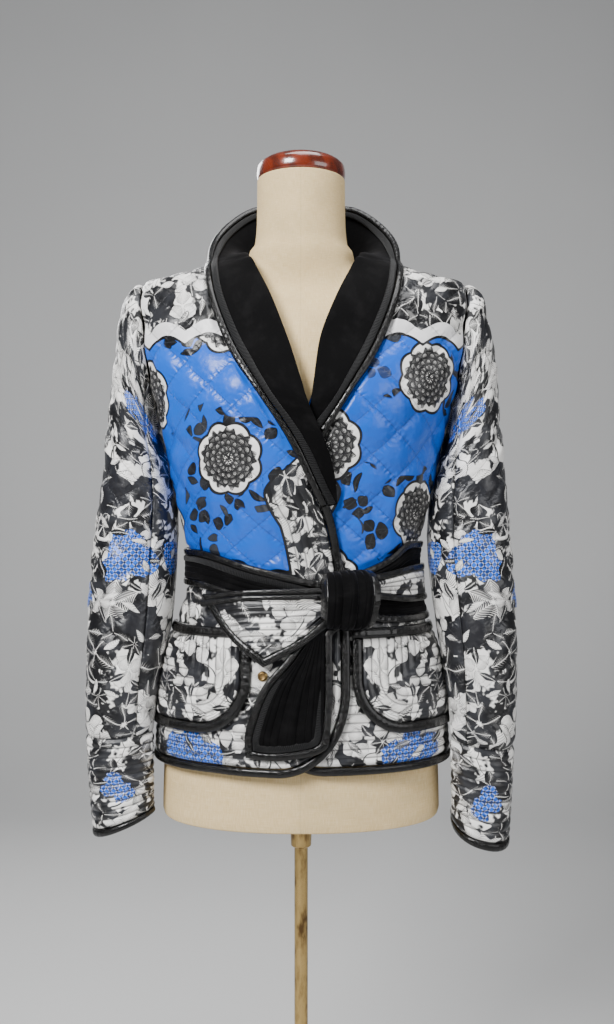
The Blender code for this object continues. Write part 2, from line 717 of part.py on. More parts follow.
def build_form(linen, wood, brass, iron):
    """The dress form: covered torso and neck, wooden cap, socket, pole and foot."""
    sides = 20
    turns = np.linspace(0, 2 * math.pi, sides, endpoint=False)
    rings = []
    for level in FORM_LEVELS + NECK_LEVELS:
        rings.append(FORM.point(turns, np.full(sides, level.z)))
    stack("form_torso", rings, linen)
    cap_base = NECK_TOP_Z + 0.0003
    cap_rise = CAP_TOP_Z - cap_base
    cap = [(CAP_RADIUS * 0.97, cap_base), (CAP_RADIUS, cap_base + 0.004)]
    for angle in (25, 45, 62, 76, 86):
        height = cap_base + 0.012 + (cap_rise - 0.012) * math.sin(math.radians(angle))
        cap.append((CAP_RADIUS * math.cos(math.radians(angle)) ** 0.62, height))
    turned("form_neck_cap", cap, wood, 20)
    bottom = FORM_BOTTOM_Z - 0.0003
    turned(
        "form_socket",
        [(0.030, bottom), (0.030, bottom - 0.006), (0.014, bottom - 0.014), (0.012, bottom - 0.045)][::-1],
        brass,
        16,
    )
    pole_top = bottom - 0.045 - 0.0003
    turned("form_pole", [(POLE_RADIUS, BASE_CROWN + 0.0003), (POLE_RADIUS, pole_top)], brass, 16)
    base = [
        (BASE_RADIUS - 0.004, 0.0),
        (BASE_RADIUS, 0.004),
        (BASE_RADIUS - 0.002, BASE_EDGE),
        (BASE_RADIUS * 0.55, BASE_EDGE + 0.007),
        (0.030, BASE_CROWN - 0.003),
        (0.022, BASE_CROWN),
    ]
    turned("form_base", base, iron, 28)


def armhole_turns(start, end, count=ARMHOLE_STEPS):
    """Turns round the armhole, from its top by way of the front, in degrees."""
    return np.radians(np.linspace(start, end, count))


def armhole(side, angles):
    """The turn on the jacket and the height of the points of an armhole; side is -1 or +1."""
    z = ARMHOLE_MID_Z + ARMHOLE_RISE * np.cos(angles)
    _, front, back, power = JACKET.sizes(z)
    fore = np.sin(angles)
    depth = np.where(fore > 0, front, back)
    reach = np.where(fore > 0, ARMHOLE_FRONT, ARMHOLE_BACK) * np.abs(fore)
    turn = np.arccos(np.clip(reach / depth, 0, 1) ** (power / 2))
    turn = np.where(fore > 0, turn, math.pi - turn)
    return side * turn, z


def side_seam(side, low, high, from_back, gap=SEAM_GAP * 0.65, step=0.020):
    """Flat points up the side, from low to high, a seam's gap short of the side line."""
    heights = np.linspace(low, high, max(2, int((high - low) / step) + 1))
    runs = JACKET.run_at(np.full(len(heights), side * math.pi / 2), heights, from_back)
    return np.column_stack([runs - np.sign(runs) * gap, heights])


def lap_lift(flat):
    """How far the right front stands off the jacket's surface where it laps over the left."""
    x = flat[:, 0]
    waist = LAP_WAIST * ramp(x, -0.105, -0.055)
    neck = (LAP_BREAK - LAP_WAIST) * ramp(x, -0.075, -0.022)
    window = ramp(flat[:, 1], 0.955, 1.02) * (1 - ramp(flat[:, 1], 1.125, 1.19))
    high = 1 - ramp(flat[:, 1], 1.16, 1.24)
    corner = (LAP_HEM - LAP_WAIST) * ramp(x, -0.060, -0.020) * (1 - ramp(flat[:, 1], 0.745, 0.790))
    return waist * high + neck * window + corner


def no_lap(flat):
    return np.zeros(len(flat))


def front_edge():
    """The front edge of the right panel, from the hem to the neck, as (x, z) from the centre line."""
    corner = arc(
        (FRONT_EDGE_X - CORNER_RADIUS_X, CORNER_Z),
        CORNER_RADIUS_X - BINDING_WIDTH,
        CORNER_RADIUS_Z - BINDING_WIDTH,
        0,
        90,
        9,
    )
    edge = FRONT_EDGE_X - BINDING_WIDTH
    upper = [
        (edge, 0.8500),
        (0.0370, 0.9150),
        (0.0322, 0.9500),
        (0.0212, COLLAR_FOOT_Z),
        (0.0050, BREAK_Z),
        (0.0010, 1.0700),
        (-0.0040, 1.1110),
        (-0.0100, 1.1300),
        (-0.0245, 1.1840),
        (-0.0450, 1.2400),
        (-0.0610, 1.2750),
    ]
    return np.vstack([corner, upper])


def shoulder_seam(side, from_back, neck_first):
    """Flat points along the top of the shoulder, between the armhole and the neck."""
    heights = np.linspace(ARMHOLE_MID_Z + ARMHOLE_RISE, NECK_Z, 7)
    runs = JACKET.run_at(np.full(7, side * math.pi / 2), heights, from_back)
    seam = np.column_stack([runs - np.sign(runs) * SEAM_GAP, heights])
    return seam[::-1] if neck_first else seam


def mirrored(flat):
    return np.asarray(flat, float)[::-1] * (-1, 1)


def build_front(side, cloth):
    """A front panel with its quilting; it is drawn as the right one, at -X, and mirrored."""
    hem = HEM_Z + BINDING_WIDTH
    edge = JACKET.front_flat(front_edge())
    angles = armhole_turns(0, 180)
    turns, heights = armhole(-1, angles)
    hole = np.column_stack([JACKET.run_at(turns, heights) + SEAM_GAP, heights])
    low_side = side_seam(-1, hem, SIDE_TOP_Z, False)
    hem_line = spread([low_side[0], edge[0]], 0.03)[1:-1]
    neck = shoulder_seam(-1, False, True)
    outline = np.vstack([hem_line, edge, neck[:-1], hole, low_side[::-1]])

    band_edge = moved_across(edge[:16], -FRONT_CHANNELS * CHANNEL_PITCH)
    band_top = HEM_BAND_TOP_Z
    above = band_edge[band_edge[:, 1] > band_top]
    join = np.array([np.interp(band_top, band_edge[:, 1], band_edge[:, 0]), band_top])
    side_join = side_seam(-1, band_top, band_top + 0.03, False)[0]
    neck_line = moved_across(edge[14:], -DIAMOND_WIDE)[1:-2]
    high_side = low_side[low_side[:, 1] > band_top][::-1]
    field = np.vstack([[join], above[:-1], neck_line, neck[1:-1], hole, high_side, [side_join]])
    break_at = int(np.argmax(edge[:, 1] >= BREAK_Z))
    front_field = np.vstack([edge[: break_at + 1], band_edge[: break_at + 1][::-1]])

    runs = diamonds(field, np.array([-0.046, DIAMOND_Z]))
    level = np.array([[low_side[0][0] * 1.3, hem], [0.05, hem]])
    over, below = band_top + 0.0004, hem - 0.002
    far = low_side[0][0] - 0.02
    left_of_band = np.array([[join[0], over], [far, over], [far, below], [join[0], below]])
    runs += channels(level, -1, HEM_CHANNELS, CHANNEL_PITCH, left_of_band)
    runs += channels(edge[: break_at + 1], -1, FRONT_CHANNELS, CHANNEL_PITCH, front_field)
    covers = [pocket_outline(0.0), collar_cover(), *belt_covers(side)]
    trimmed = flattened([part for run in runs for part in within(run, outline)], covers)
    if side > 0:
        outline = mirrored(outline)
        trimmed = [[[-u, v, rise] for u, v, rise in run] for run in trimmed]
    name = "front_right" if side < 0 else "front_left"
    base = lap_lift if side < 0 else no_lap
    panel(name, outline, front_place, cloth, trimmed, base)


def pocket_path(inset):
    """The pocket's curved edge from its top at the front to the side, moved in by an inset."""
    front = -JACKET.front_flat([(POCKET_FRONT_X, POCKET_TOP_Z)])[0][0] - inset
    low = POCKET_LOW_Z + inset
    radius = max(POCKET_RADIUS - inset, 0.006)
    side = side_seam(-1, low, low + 0.03, False)[0][0] + 0.004
    corner = arc((front - radius, low + radius), radius, radius, 90, 0, 7)
    return np.vstack([[(front, POCKET_TOP_Z)], corner, [(side, low)]])


def pocket_outline(inset):
    path = pocket_path(inset)
    top = POCKET_TOP_Z - inset
    side_top = side_seam(-1, top, top + 0.03, False)[0] + (0.004, 0)
    path[0, 1] = top
    return np.vstack([path, [side_top]])


def belt_covers(side):
    """Where the belt, its ends and the lap lie on a front, in the right front's coordinates."""
    if side < 0:
        band = JACKET.front_flat(VELVET_RIGHT_TOP + VELVET_RIGHT_LOW)
        snap = JACKET.front_flat([SNAP_PLACE]) + arc((0, 0), 0.008, 0.008, 0, 315, 8)
        return [band, JACKET.front_flat(TIE_END), JACKET.front_flat(TAIL), snap]
    band = JACKET.front_flat(VELVET_LEFT_TOP + VELVET_LEFT_LOW)
    edge = JACKET.front_flat(front_edge()) * (-1, 1) - (BINDING_WIDTH, 0)
    lap = np.vstack([edge, [(0.12, 1.27), (0.12, 0.70)]])
    return [mirrored(band), lap]


def collar_cover():
    edge = [(-station.edge_x, station.edge_z) for station in COLLAR_LEFT[5:] + COLLAR_RIGHT[-2:]]
    return JACKET.front_flat([(-0.105, 1.275), *edge, (0.040, 1.01), (0.035, 1.07), (0.010, 1.12), (-0.06, 1.29)])


def build_pocket(side, cloth, leather):
    """A patch pocket with J-shaped channels, its curved edge band and its top band."""
    place = front_place
    sign = side * -1
    word = "right" if side < 0 else "left"
    outline = pocket_outline(POCKET_BAND + SEAM_GAP)
    runs = []
    row = 1
    while POCKET_BAND + row * POCKET_CHANNEL_PITCH / 2 < POCKET_RADIUS + 0.020:
        path = spread(pocket_path(POCKET_BAND + row * POCKET_CHANNEL_PITCH / 2), 0.030)
        runs += cut_to(path, CHANNEL_RISE if row % 2 else 0.0, outline)
        row += 1
    lift = POCKET_LIFT

    def base(flat):
        return lift + (lap_lift(flat) if side < 0 else no_lap(flat))

    def turned_over(points):
        return points if side < 0 else mirrored(points)

    shown = [[[u * sign, v, rise] for u, v, rise in run] for run in runs]
    panel("pocket_" + word, turned_over(outline), place, cloth, shown, base, backing=0.028)
    path = spread(pocket_path(0.0), 0.026)
    path = path[path[:, 1] < POCKET_TOP_Z - POCKET_BAND - SEAM_GAP]
    path = np.vstack([[(pocket_path(0.0)[0][0], POCKET_TOP_Z - POCKET_BAND - SEAM_GAP)], path])
    profile = band_profile(0.0, POCKET_BAND, *POCKET_BAND_LIFTS)
    if side > 0:
        path = mirrored(path)
    bar("pocket_edge_band_" + word, path, profile, place, leather, base)
    top_front = pocket_path(0.0)[0][0]
    top_side = pocket_outline(0.0)[-1][0]
    path = spread([(top_front, POCKET_TOP_Z), (top_side, POCKET_TOP_Z)], 0.022)
    band = band_profile(0.0, POCKET_BAND, *POCKET_BAND_LIFTS)
    profile = [(-across, rise) for across, rise in band][::-1]
    if side > 0:
        path = mirrored(path)
    bar("pocket_top_band_" + word, path, profile, place, leather, base)


def build_back(cloth):
    """The back panel: diamonds over a band of level channels at the hem."""
    hem = HEM_Z + BINDING_WIDTH
    low = side_seam(-1, hem, SIDE_TOP_Z, True)
    turns, heights = armhole(-1, armhole_turns(180, 360))
    hole = np.column_stack([JACKET.run_at(turns, heights, True) + SEAM_GAP, heights])
    shoulder = shoulder_seam(-1, True, False)
    left = np.vstack([low, hole, shoulder[1:]])
    outline = np.vstack([left, mirrored(left)])
    band = HEM_BAND_TOP_Z
    join = side_seam(-1, band, band + 0.03, True)[0]
    upper_left = np.vstack([[join], left[left[:, 1] > band + 0.001]])
    field = np.vstack([upper_left, mirrored(upper_left)])
    runs = diamonds(field, np.array([0.0, DIAMOND_Z]))
    wide = np.array([[-0.30, hem], [0.30, hem]])
    reach = abs(low[0][0]) + 0.02
    over, below = band + 0.0004, hem - 0.002
    channel_field = np.array([[-reach, below], [reach, below], [reach, over], [-reach, over]])
    sides = channels(wide, -1, HEM_CHANNELS, CHANNEL_PITCH, channel_field)
    runs += [part for run in sides for part in within(run, outline)]
    belt = np.array([[-0.3, 0.902], [0.3, 0.890], [0.3, 0.952], [-0.3, 0.964]])
    runs = flattened(runs, [belt])
    panel("back", outline, back_place, cloth, runs)


def build_bindings(leather):
    """Leather along the hem, round each front corner and up to the foot of the collar."""
    hem = HEM_Z + BINDING_WIDTH
    edge = JACKET.front_flat(front_edge())
    foot_at = int(np.argmax(edge[:, 1] >= COLLAR_FOOT_Z))
    start = side_seam(-1, hem, hem + 0.03, False)[0]
    low, high = BINDING_LIFTS
    profile = band_profile(SEAM_GAP, BINDING_WIDTH, low, high)
    path = np.vstack([spread([start, edge[0]], 0.024)[:-1], edge[: foot_at + 1]])
    bar("front_binding_right", spread(path, 0.030), profile, front_place, leather, lap_lift)
    hidden_at = int(np.argmax(edge[:, 0] > 0.018))
    path = np.vstack([spread([start, edge[0]], 0.024)[:-1], edge[:hidden_at]])
    profile = [(-across, lift) for across, lift in profile][::-1]
    path = np.asarray(path) * (-1, 1)
    bar("front_binding_left", path, profile, front_place, leather)
    back_start = side_seam(-1, hem, hem + 0.03, True)[0]
    path = spread([back_start, -back_start * (1, -1)], 0.024)
    profile = band_profile(SEAM_GAP, BINDING_WIDTH, low, high)
    bar("back_binding", path, profile, back_place, leather)


class Tube:
    """A sleeve or cuff through rings, read by the turn from its outer line and the way down it."""

    def __init__(self, side, rings, from_armhole):
        self.side = side
        self.rings = rings
        self.from_armhole = from_armhole
        outer = np.array([[ring.outer_x, ring.outer_z] for ring in rings])
        parts = np.linalg.norm(np.diff(outer, axis=0), axis=1)
        self.ways = np.concatenate([[0.0], np.cumsum(parts)])
        self.length = self.ways[-1]

    def centre_point(self, turn, way):
        names = range(len(self.rings[0]))
        columns = [smooth(way, self.ways, [ring[i] for ring in self.rings]) for i in names]
        outer_x, outer_z, inner_x, inner_z, depth, middle, dip = columns
        out = np.sign(np.cos(turn)) * np.abs(np.cos(turn)) ** 0.9
        fore = np.sign(np.sin(turn)) * np.abs(np.sin(turn)) ** 0.9
        x = (outer_x + inner_x) / 2 + (outer_x - inner_x) / 2 * out
        z = (outer_z + inner_z) / 2 + (outer_z - inner_z) / 2 * out - dip * fore
        y = middle - depth * fore
        point = np.stack(np.broadcast_arrays(x * self.side, y, z), axis=-1)
        index = np.interp(way, self.ways, np.arange(len(self.ways)))
        if self.from_armhole:
            hole_turn, hole_z = armhole(self.side, turn)
            hole = JACKET.point(hole_turn, hole_z) + np.array([self.side * SLEEVE_STANDOFF, 0.0, 0.0])
            share = (1 - ramp(index, 0.0, 2.2))[..., None]
            point = point * (1 - share) + hole * share
        room = SLEEVE_CLEARANCE + (HIP_CLEARANCE - SLEEVE_CLEARANCE) * (1 - ramp(point[..., 2], 0.87, 0.92))
        if self.from_armhole:
            room = room * ramp(index, 0.0, 1.5)
        return self.kept_clear(point, room)

    def kept_clear(self, point, room):
        """The point, moved out of the jacket's body where it would come too near."""
        x, y, z = point[..., 0], point[..., 1], point[..., 2]
        half, front, back, power = JACKET.sizes(z)
        shift = JACKET.shift(z)
        depth = np.where(y < 0, front, back)
        near = (np.abs(x - shift) / (half + room)) ** power + (np.abs(y) / (depth + room)) ** power
        scale = np.where(near < 1, np.maximum(near, 1e-6) ** (-1 / power), 1.0)
        free = ramp(z, JACKET.z[0], JACKET.z[0] + 0.02)
        scale = 1 + (scale - 1) * free
        return np.stack([(x - shift) * scale + shift, y * scale, z], axis=-1)

    def place(self, flat, lift):
        flat = np.asarray(flat, float)
        turn = flat[:, 0] * 2 * math.pi / SLEEVE_GIRTH
        way = flat[:, 1]
        small = 2e-3
        around = self.centre_point(turn + 0.05, way) - self.centre_point(turn - 0.05, way)
        low = np.maximum(way - small, 0.0)
        high = np.minimum(way + small, self.length)
        down = self.centre_point(turn, high) - self.centre_point(turn, low)
        normal = unit(np.cross(around, down)) * self.side
        return self.centre_point(turn, way) + normal * np.asarray(lift, float)[:, None]


def build_sleeve(side, cloth):
    """Upper and under sleeve pieces, quilted in diamonds."""
    word = "right" if side < 0 else "left"
    tube = Tube(side, RIGHT_SLEEVE if side < 0 else LEFT_SLEEVE, True)
    scale = SLEEVE_GIRTH / (2 * math.pi)
    top = 0.0010
    for name, start, end in (
        ("sleeve_upper_", BACK_SEAM - 2 * math.pi, FRONT_SEAM),
        ("sleeve_under_", FRONT_SEAM, BACK_SEAM),
    ):
        low = start * scale + SEAM_GAP * 1.7
        high = end * scale - SEAM_GAP * 1.7
        corners = np.array([[low, top], [high, top], [high, tube.length], [low, tube.length]])
        runs = diamonds(corners, np.array([0.0, 0.012]))
        runs = flattened(runs, pressed_strips(scale, tube.length))
        if name == "sleeve_upper_":
            runs += gathers(scale)
        panel(name + word, corners, tube.place, cloth, runs, wall=SLEEVE_WALL, backing=0.026, step=0.026)


def pressed_strips(scale, length):
    """The parts of a sleeve that lie against the body, where its quilting is pressed flat."""
    strips = []
    for start, end in ((FREE_TURN, 2 * math.pi), (-2 * math.pi, -FREE_TURN)):
        low, high = start * scale, end * scale
        strips.append(np.array([[low, -0.02], [high, -0.02], [high, length + 0.02], [low, length + 0.02]]))
    return strips


def gathers(scale):
    """The small gathers where the sleeve's head is eased into the armhole."""
    found = []
    for number in range(2 * GATHERS + 1):
        run = scale * math.radians(GATHERS_FROM + number * GATHER_PITCH / 2)
        rise = GATHER_RISE if number % 2 else 0.0
        found.append([[run, 0.0040, rise * 0.6], [run * 1.08, GATHER_LENGTH * 0.55, rise]])
        found.append([[run * 1.12, GATHER_LENGTH, 0.0]])
    return found


def build_cuff(side, cloth, leather):
    """A quilted cuff in level channels, with a leather binding at its hem."""
    word = "right" if side < 0 else "left"
    tube = Tube(side, RIGHT_CUFF if side < 0 else LEFT_CUFF, False)
    scale = SLEEVE_GIRTH / (2 * math.pi)
    seam = math.radians(200)
    low = (seam - 2 * math.pi) * scale + SEAM_GAP
    high = seam * scale - SEAM_GAP
    top = 0.0008
    corners = np.array([[low, top], [high, top], [high, tube.length], [low, tube.length]])
    first = np.array([[low - 0.01, top], [high + 0.01, top]])
    count = int((tube.length - top) / CUFF_CHANNEL_PITCH)
    runs = channels(first, -1, count, CUFF_CHANNEL_PITCH, corners, step=0.028)
    panel("cuff_" + word, corners, tube.place, cloth, runs, backing=0.028, step=0.028)
    path = spread([(low, tube.length), (high, tube.length)], 0.028)
    extended = Tube(side, binding_rings(tube.rings), False)
    low, high = CUFF_BINDING_LIFTS
    profile = [(-across, lift) for across, lift in band_profile(CUFF_BINDING_GAP, BINDING_WIDTH, low, high)]
    bar("cuff_binding_" + word, path, profile[::-1], extended.place, leather)


def binding_rings(rings):
    """The cuff's rings with one more, for the binding below its hem."""
    last, before = rings[-1], rings[-2]
    run = math.dist((last.outer_x, last.outer_z), (before.outer_x, before.outer_z))
    share = 0.02 / run
    return rings + (Ring(*(end + (end - start) * share for start, end in zip(before, last))),)


class Collar:
    """Half of the standing collar, read by the way from the centre back and the way across."""

    def __init__(self, side):
        self.side = side
        self.stations = COLLAR_RIGHT if side < 0 else COLLAR_LEFT
        self.ways = self.station_ways()
        self.length = self.ways[-1]

    def station_ways(self):
        middles = []
        for station in self.stations:
            middles.append(
                (
                    (station.base_x + station.edge_x) / 2,
                    ((station.base_back or -0.07) + (station.edge_back or -0.07)) / 2,
                    (station.base_z + station.edge_z) / 2,
                )
            )
        parts = np.linalg.norm(np.diff(np.array(middles), axis=0), axis=1)
        return np.concatenate([[0.0], np.cumsum(parts)])

    def column(self, way, name):
        values = [getattr(station, name) for station in self.stations]
        known = [value for value in values if value is not None]
        return smooth(way, self.ways[: len(known)], known)

    def standoff(self, x, z):
        """How far the collar's middle lies off the jacket's surface."""
        under = lap_lift(np.column_stack([x, z])) if self.side < 0 else np.zeros(len(x))
        return under + WALL / 2 + LAYER_GAP + COLLAR_WALL / 2 + 0.0012

    def on_front(self, x, z):
        half, _, _, power = JACKET.sizes(z)
        turn = np.arcsin(np.clip(np.abs(x) / half, 0, 0.999) ** (power / 2)) * np.sign(x)
        return JACKET.lifted(turn, z, self.standoff(x, z))

    def middle(self, way, part):
        x = self.column(way, "base_x") * (1 - part) + self.column(way, "edge_x") * part
        z = self.column(way, "base_z") * (1 - part) + self.column(way, "edge_z") * part
        y = self.column(way, "base_back") * (1 - part) + self.column(way, "edge_back") * part
        bow = 0.006 * 4 * part * (1 - part)
        free = np.stack([x * self.side + JACKET.shift(z), y - bow, z], axis=-1)
        laid = self.on_front(x * self.side, np.minimum(z, 1.288))
        share = ramp(way, self.ways[3] + 0.004, self.ways[5])[..., None]
        return free * (1 - share) + laid * share

    def width(self, way):
        base = self.middle(way, np.zeros(len(way)))
        edge = self.middle(way, np.ones(len(way)))
        return np.linalg.norm(edge - base, axis=1)

    def place(self, flat, lift):
        """Flat points (way, distance from the base) on the collar, lifted to its velvet side."""
        flat = np.asarray(flat, float)
        way = np.clip(flat[:, 0], 0, self.length)
        part = flat[:, 1] / np.maximum(self.width(way), 1e-4)
        small = 2e-3
        low = np.maximum(way - small, 0.0)
        high = np.minimum(way + small, self.length)
        along = self.middle(high, part) - self.middle(low, part)
        across = self.middle(way, part + 0.02) - self.middle(way, part - 0.02)
        normal = unit(np.cross(across, along)) * self.side * -1
        return self.middle(way, part) + normal * np.asarray(lift, float)[:, None]


def build_collar(side, velvet, leather, gimp):
    """Half of the shawl collar, the leather binding on its edge and the gimp band inside it."""
    word = "right" if side < 0 else "left"
    half = Collar(side)
    ways = np.append(np.arange(SEAM_GAP, half.length - COLLAR_STEP / 2, COLLAR_STEP), half.length)
    widths = half.width(ways)
    rim = widths - COLLAR_BINDING - SEAM_GAP
    base = np.column_stack([ways, np.full(len(ways), 0.0004)])
    inner = np.column_stack([ways, np.maximum(rim, 0.0034)])
    outline = np.vstack([base, inner[::-1]])
    runs = []
    for share in COLLAR_LINES:
        line = base + (inner - base) * share
        wide = (inner - base)[:, 1] > 0.020
        runs.append([[*point, 0.0] for point in line[wide]][1:])
    panel("collar_" + word, outline, half.place, velvet, runs, 0.0, COLLAR_WALL, 0.024, 0.030)
    path = np.column_stack([ways, widths])
    profile = strip_profile(-COLLAR_BINDING, 0.0, *COLLAR_BINDING_LIFTS)
    bar("collar_binding_" + word, path, profile, half.place, leather, 0.0, True)
    kept = widths > COLLAR_BINDING + COLLAR_TRIM + 0.008
    path = np.column_stack([ways, widths])[kept]
    low = COLLAR_WALL / 2 + 0.0015
    gimp_start = -COLLAR_BINDING - 0.0012
    profile = strip_profile(gimp_start - COLLAR_TRIM, gimp_start, low, low + 0.0016)
    bar("collar_trim_" + word, path, profile, half.place, gimp, 0.0, True)


def strip_profile(inner, outer, low, high):
    """A band from inner to outer, as distances to the left of the path, rounded on its top."""
    soft = (outer - inner) * 0.3
    rows = ((inner, low), (inner, high - 0.0003), (outer - soft, high), (outer, low + 0.0002))
    return [(-across, lift) for across, lift in rows]


def belt_under(flat):
    """How far the belt's first layer lies off the jacket's surface."""
    x = flat[:, 0]
    lap = LAP_WAIST * ramp(x, -0.105, -0.055) * (1 - ramp(x, 0.060, 0.100))
    return BELT_LIFT + lap


def belt_over(flat):
    return belt_under(flat) + BELT_WALL + BELT_LAYER_GAP


def tail_lift(flat):
    return TAIL_LIFT + lap_lift(flat)


def tie_end_lift(flat):
    return belt_under(flat) + TIE_END_LIFT


def leather_rim(name, rim, place, leather, base):
    """Leather folded over a belt piece's edge, along a rim with the cloth on its left."""
    low, high = BELT_EDGE_LIFTS
    profile = ((0.0, low), (0.0, high - 0.0006), (-BELT_EDGE * 0.4, high), (-BELT_EDGE, low + 0.0008))
    bar(name, spread(rim, BELT_RIM_STEP), profile, place, leather, base)


def short_of_side(flat, from_back=False):
    """Flat points of the belt, none of them past the side line."""
    reach = JACKET.run_at(np.full(len(flat), math.pi / 2), flat[:, 1], from_back) - BELT_SIDE_GAP
    return np.column_stack([np.clip(flat[:, 0], -reach, reach), flat[:, 1]])


def belt_flat(places):
    return short_of_side(JACKET.front_flat(places))


def inset(rim, distance=BELT_EDGE + SEAM_GAP):
    return moved_across(rim, -distance)


def gimp_line(name, rim, place, gimp, base):
    """A flat braid on the velvet, just inside its leather."""
    low, high = GIMP_LIFTS
    start = -BELT_EDGE - 0.0016
    end = start - GIMP_WIDTH
    profile = ((start, low), (start, high), (end, high), (end, low))
    bar(name, spread(rim, BELT_STEP), profile, place, gimp, base)


def belt_piece(name, top, low, place, cloth, leather, base):
    """A length of the belt between its two leather rims."""
    outline = spread(np.vstack([inset(low), inset(top)]), BELT_STEP, closed=True)
    outline = short_of_side(outline, place is back_place)
    panel(name, outline, place, cloth, (), base, BELT_WALL, 0.024, BELT_STEP)
    leather_rim(name + "_edge_top", top, place, leather, base)
    leather_rim(name + "_edge_low", low, place, leather, base)


def build_belt(satin, velvet, leather, gimp):
    """The belt: round the back, its velvet and printed lengths in front, the tie end and the tail."""
    flat = belt_flat
    top, low = flat(VELVET_RIGHT_TOP), flat(VELVET_RIGHT_LOW)
    belt_piece("belt_velvet_right", top, low, front_place, velvet, leather, belt_under)
    gimp_line("belt_velvet_right_gimp", top, front_place, gimp, belt_under)
    top, low = flat(VELVET_LEFT_TOP), flat(VELVET_LEFT_LOW)
    belt_piece("belt_velvet_left", top, low, front_place, velvet, leather, belt_under)
    top, low = flat(PRINT_LEFT_TOP), flat(PRINT_LEFT_LOW)
    belt_piece("belt_print_left", top, low, front_place, satin, leather, belt_over)

    rim = flat(TIE_END)
    panel("tie_end", inset(rim), front_place, satin, (), tie_end_lift, BELT_WALL, 0.024, BELT_STEP)
    leather_rim("tie_end_edge", rim, front_place, leather, tie_end_lift)
    rim = flat(TAIL)
    runs = [[[*flat([start])[0], 0.0], [*flat([end])[0], FOLD_RISE]] for start, end in FOLDS]
    for (start, end), (after, last) in zip(FOLDS[:-1], FOLDS[1:]):
        valley = flat([np.add(start, after) / 2, np.add(end, last) / 2])
        runs.append([[*point, 0.0] for point in valley])
    level = inset(rim, BELT_EDGE + GIMP_WIDTH + 0.0030)[2:-2]
    runs.append([[*point, 0.0] for point in level])
    panel("tail", inset(rim), front_place, velvet, runs, tail_lift, BELT_WALL, 0.024, BELT_STEP)
    leather_rim("tail_edge", rim, front_place, leather, tail_lift)
    gimp_line("tail_gimp", rim[1:-1], front_place, gimp, tail_lift)

    top, low = (short_of_side(np.array(rim), True) for rim in (BACK_TOP, BACK_LOW))
    belt_piece("belt_back", top, low, back_place, velvet, leather, belt_back_lift)


def belt_back_lift(flat):
    return np.full(len(flat), BELT_LIFT)


def build_knot(velvet):
    """The knot: velvet drawn over upright, in folds side by side."""
    center = JACKET.front_flat([KNOT_CENTER])[0]
    bends = np.radians(np.linspace(-90, 90, 11))
    rings = []
    for across, high, deep in KNOT_STATIONS:
        upright = np.sin(bends) * high
        out = np.cos(bends) ** 0.7 * deep
        ring = np.column_stack([np.full(len(bends), center[0] + across), center[1] + upright])
        rings.append(front_place(ring, KNOT_LIFT + LAP_WAIST + out))
    stack("knot", rings, velvet)


def build_snap(brass):
    """A small round snap on the right front."""
    center = JACKET.front_flat([SNAP_PLACE])[0]
    turns = np.linspace(0, 2 * math.pi, 12, endpoint=False)
    rings = []
    for radius, lift in SNAP_RINGS:
        ring = np.column_stack([center[0] + radius * np.cos(turns), center[1] + radius * np.sin(turns)])
        rings.append(front_place(ring, lift + lap_lift(ring)))
    stack("snap", rings, brass)


def main():
    for found in list(bpy.data.objects):
        bpy.data.objects.remove(found, do_unlink=True)
    linen = material("linen", (0.75, 0.66, 0.46), 0.85)
    wood = material("turned_wood", (0.20, 0.03, 0.008), 0.2)
    brass = material("brass", (0.45, 0.33, 0.16), 0.3, 1.0)
    iron = material("painted_iron", (0.02, 0.02, 0.02), 0.5)
    satin = material("printed_satin", (0.25, 0.42, 0.65), 0.4)
    leather = material("black_leather", (0.012, 0.011, 0.010), 0.4)
    velvet = material("black_velvet", (0.004, 0.004, 0.004), 0.9)
    gimp = material("black_gimp", (0.02, 0.02, 0.02), 0.7)
    build_form(linen, wood, brass, iron)
    build_back(satin)
    for side in (-1, 1):
        build_front(side, satin)
        build_sleeve(side, satin)
        build_cuff(side, satin, leather)
        build_pocket(side, satin, leather)
        build_collar(side, velvet, leather, gimp)
    build_bindings(leather)
    build_belt(satin, velvet, leather, gimp)
    build_knot(velvet)
    build_snap(brass)


main()
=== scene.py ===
"""The looks of a quilted wrap jacket on its dress form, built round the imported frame.

Metres, +Z up, the front faces -Y. Right and left are the wearer's: the right front is at -X.
Each cloth piece is cut flat, as (run, height) on the surface that carries it, is quilted there
and is then laid on that surface as a thin shell.
"""

import logging
import math
from dataclasses import dataclass, field
from enum import Enum
from typing import Callable, NamedTuple, Sequence

import bpy
import numpy as np
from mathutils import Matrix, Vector


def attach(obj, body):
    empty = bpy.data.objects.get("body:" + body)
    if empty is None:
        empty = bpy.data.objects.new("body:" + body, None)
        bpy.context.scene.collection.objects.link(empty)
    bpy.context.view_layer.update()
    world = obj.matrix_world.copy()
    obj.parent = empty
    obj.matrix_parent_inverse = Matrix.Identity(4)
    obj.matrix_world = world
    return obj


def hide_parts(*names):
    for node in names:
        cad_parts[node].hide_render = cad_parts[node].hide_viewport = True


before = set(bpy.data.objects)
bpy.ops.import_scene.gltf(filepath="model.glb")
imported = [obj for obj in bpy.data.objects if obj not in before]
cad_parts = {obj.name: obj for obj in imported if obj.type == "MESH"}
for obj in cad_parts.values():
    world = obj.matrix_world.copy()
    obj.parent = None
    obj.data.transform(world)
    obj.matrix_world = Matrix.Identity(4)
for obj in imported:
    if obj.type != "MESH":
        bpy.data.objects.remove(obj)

LOG = logging.getLogger("jacket")
Array = np.ndarray
Place = Callable[[Array, Array], Array]
Lift = Callable[[Array], Array]
Values = Array | float
Places = Sequence[tuple[float, float]]
Colour = tuple[float, float, float]
Piece = bpy.types.Object
Material = bpy.types.Material
Socket = bpy.types.NodeSocket
MM = 0.001
BUMP_DEPTH = 0.001


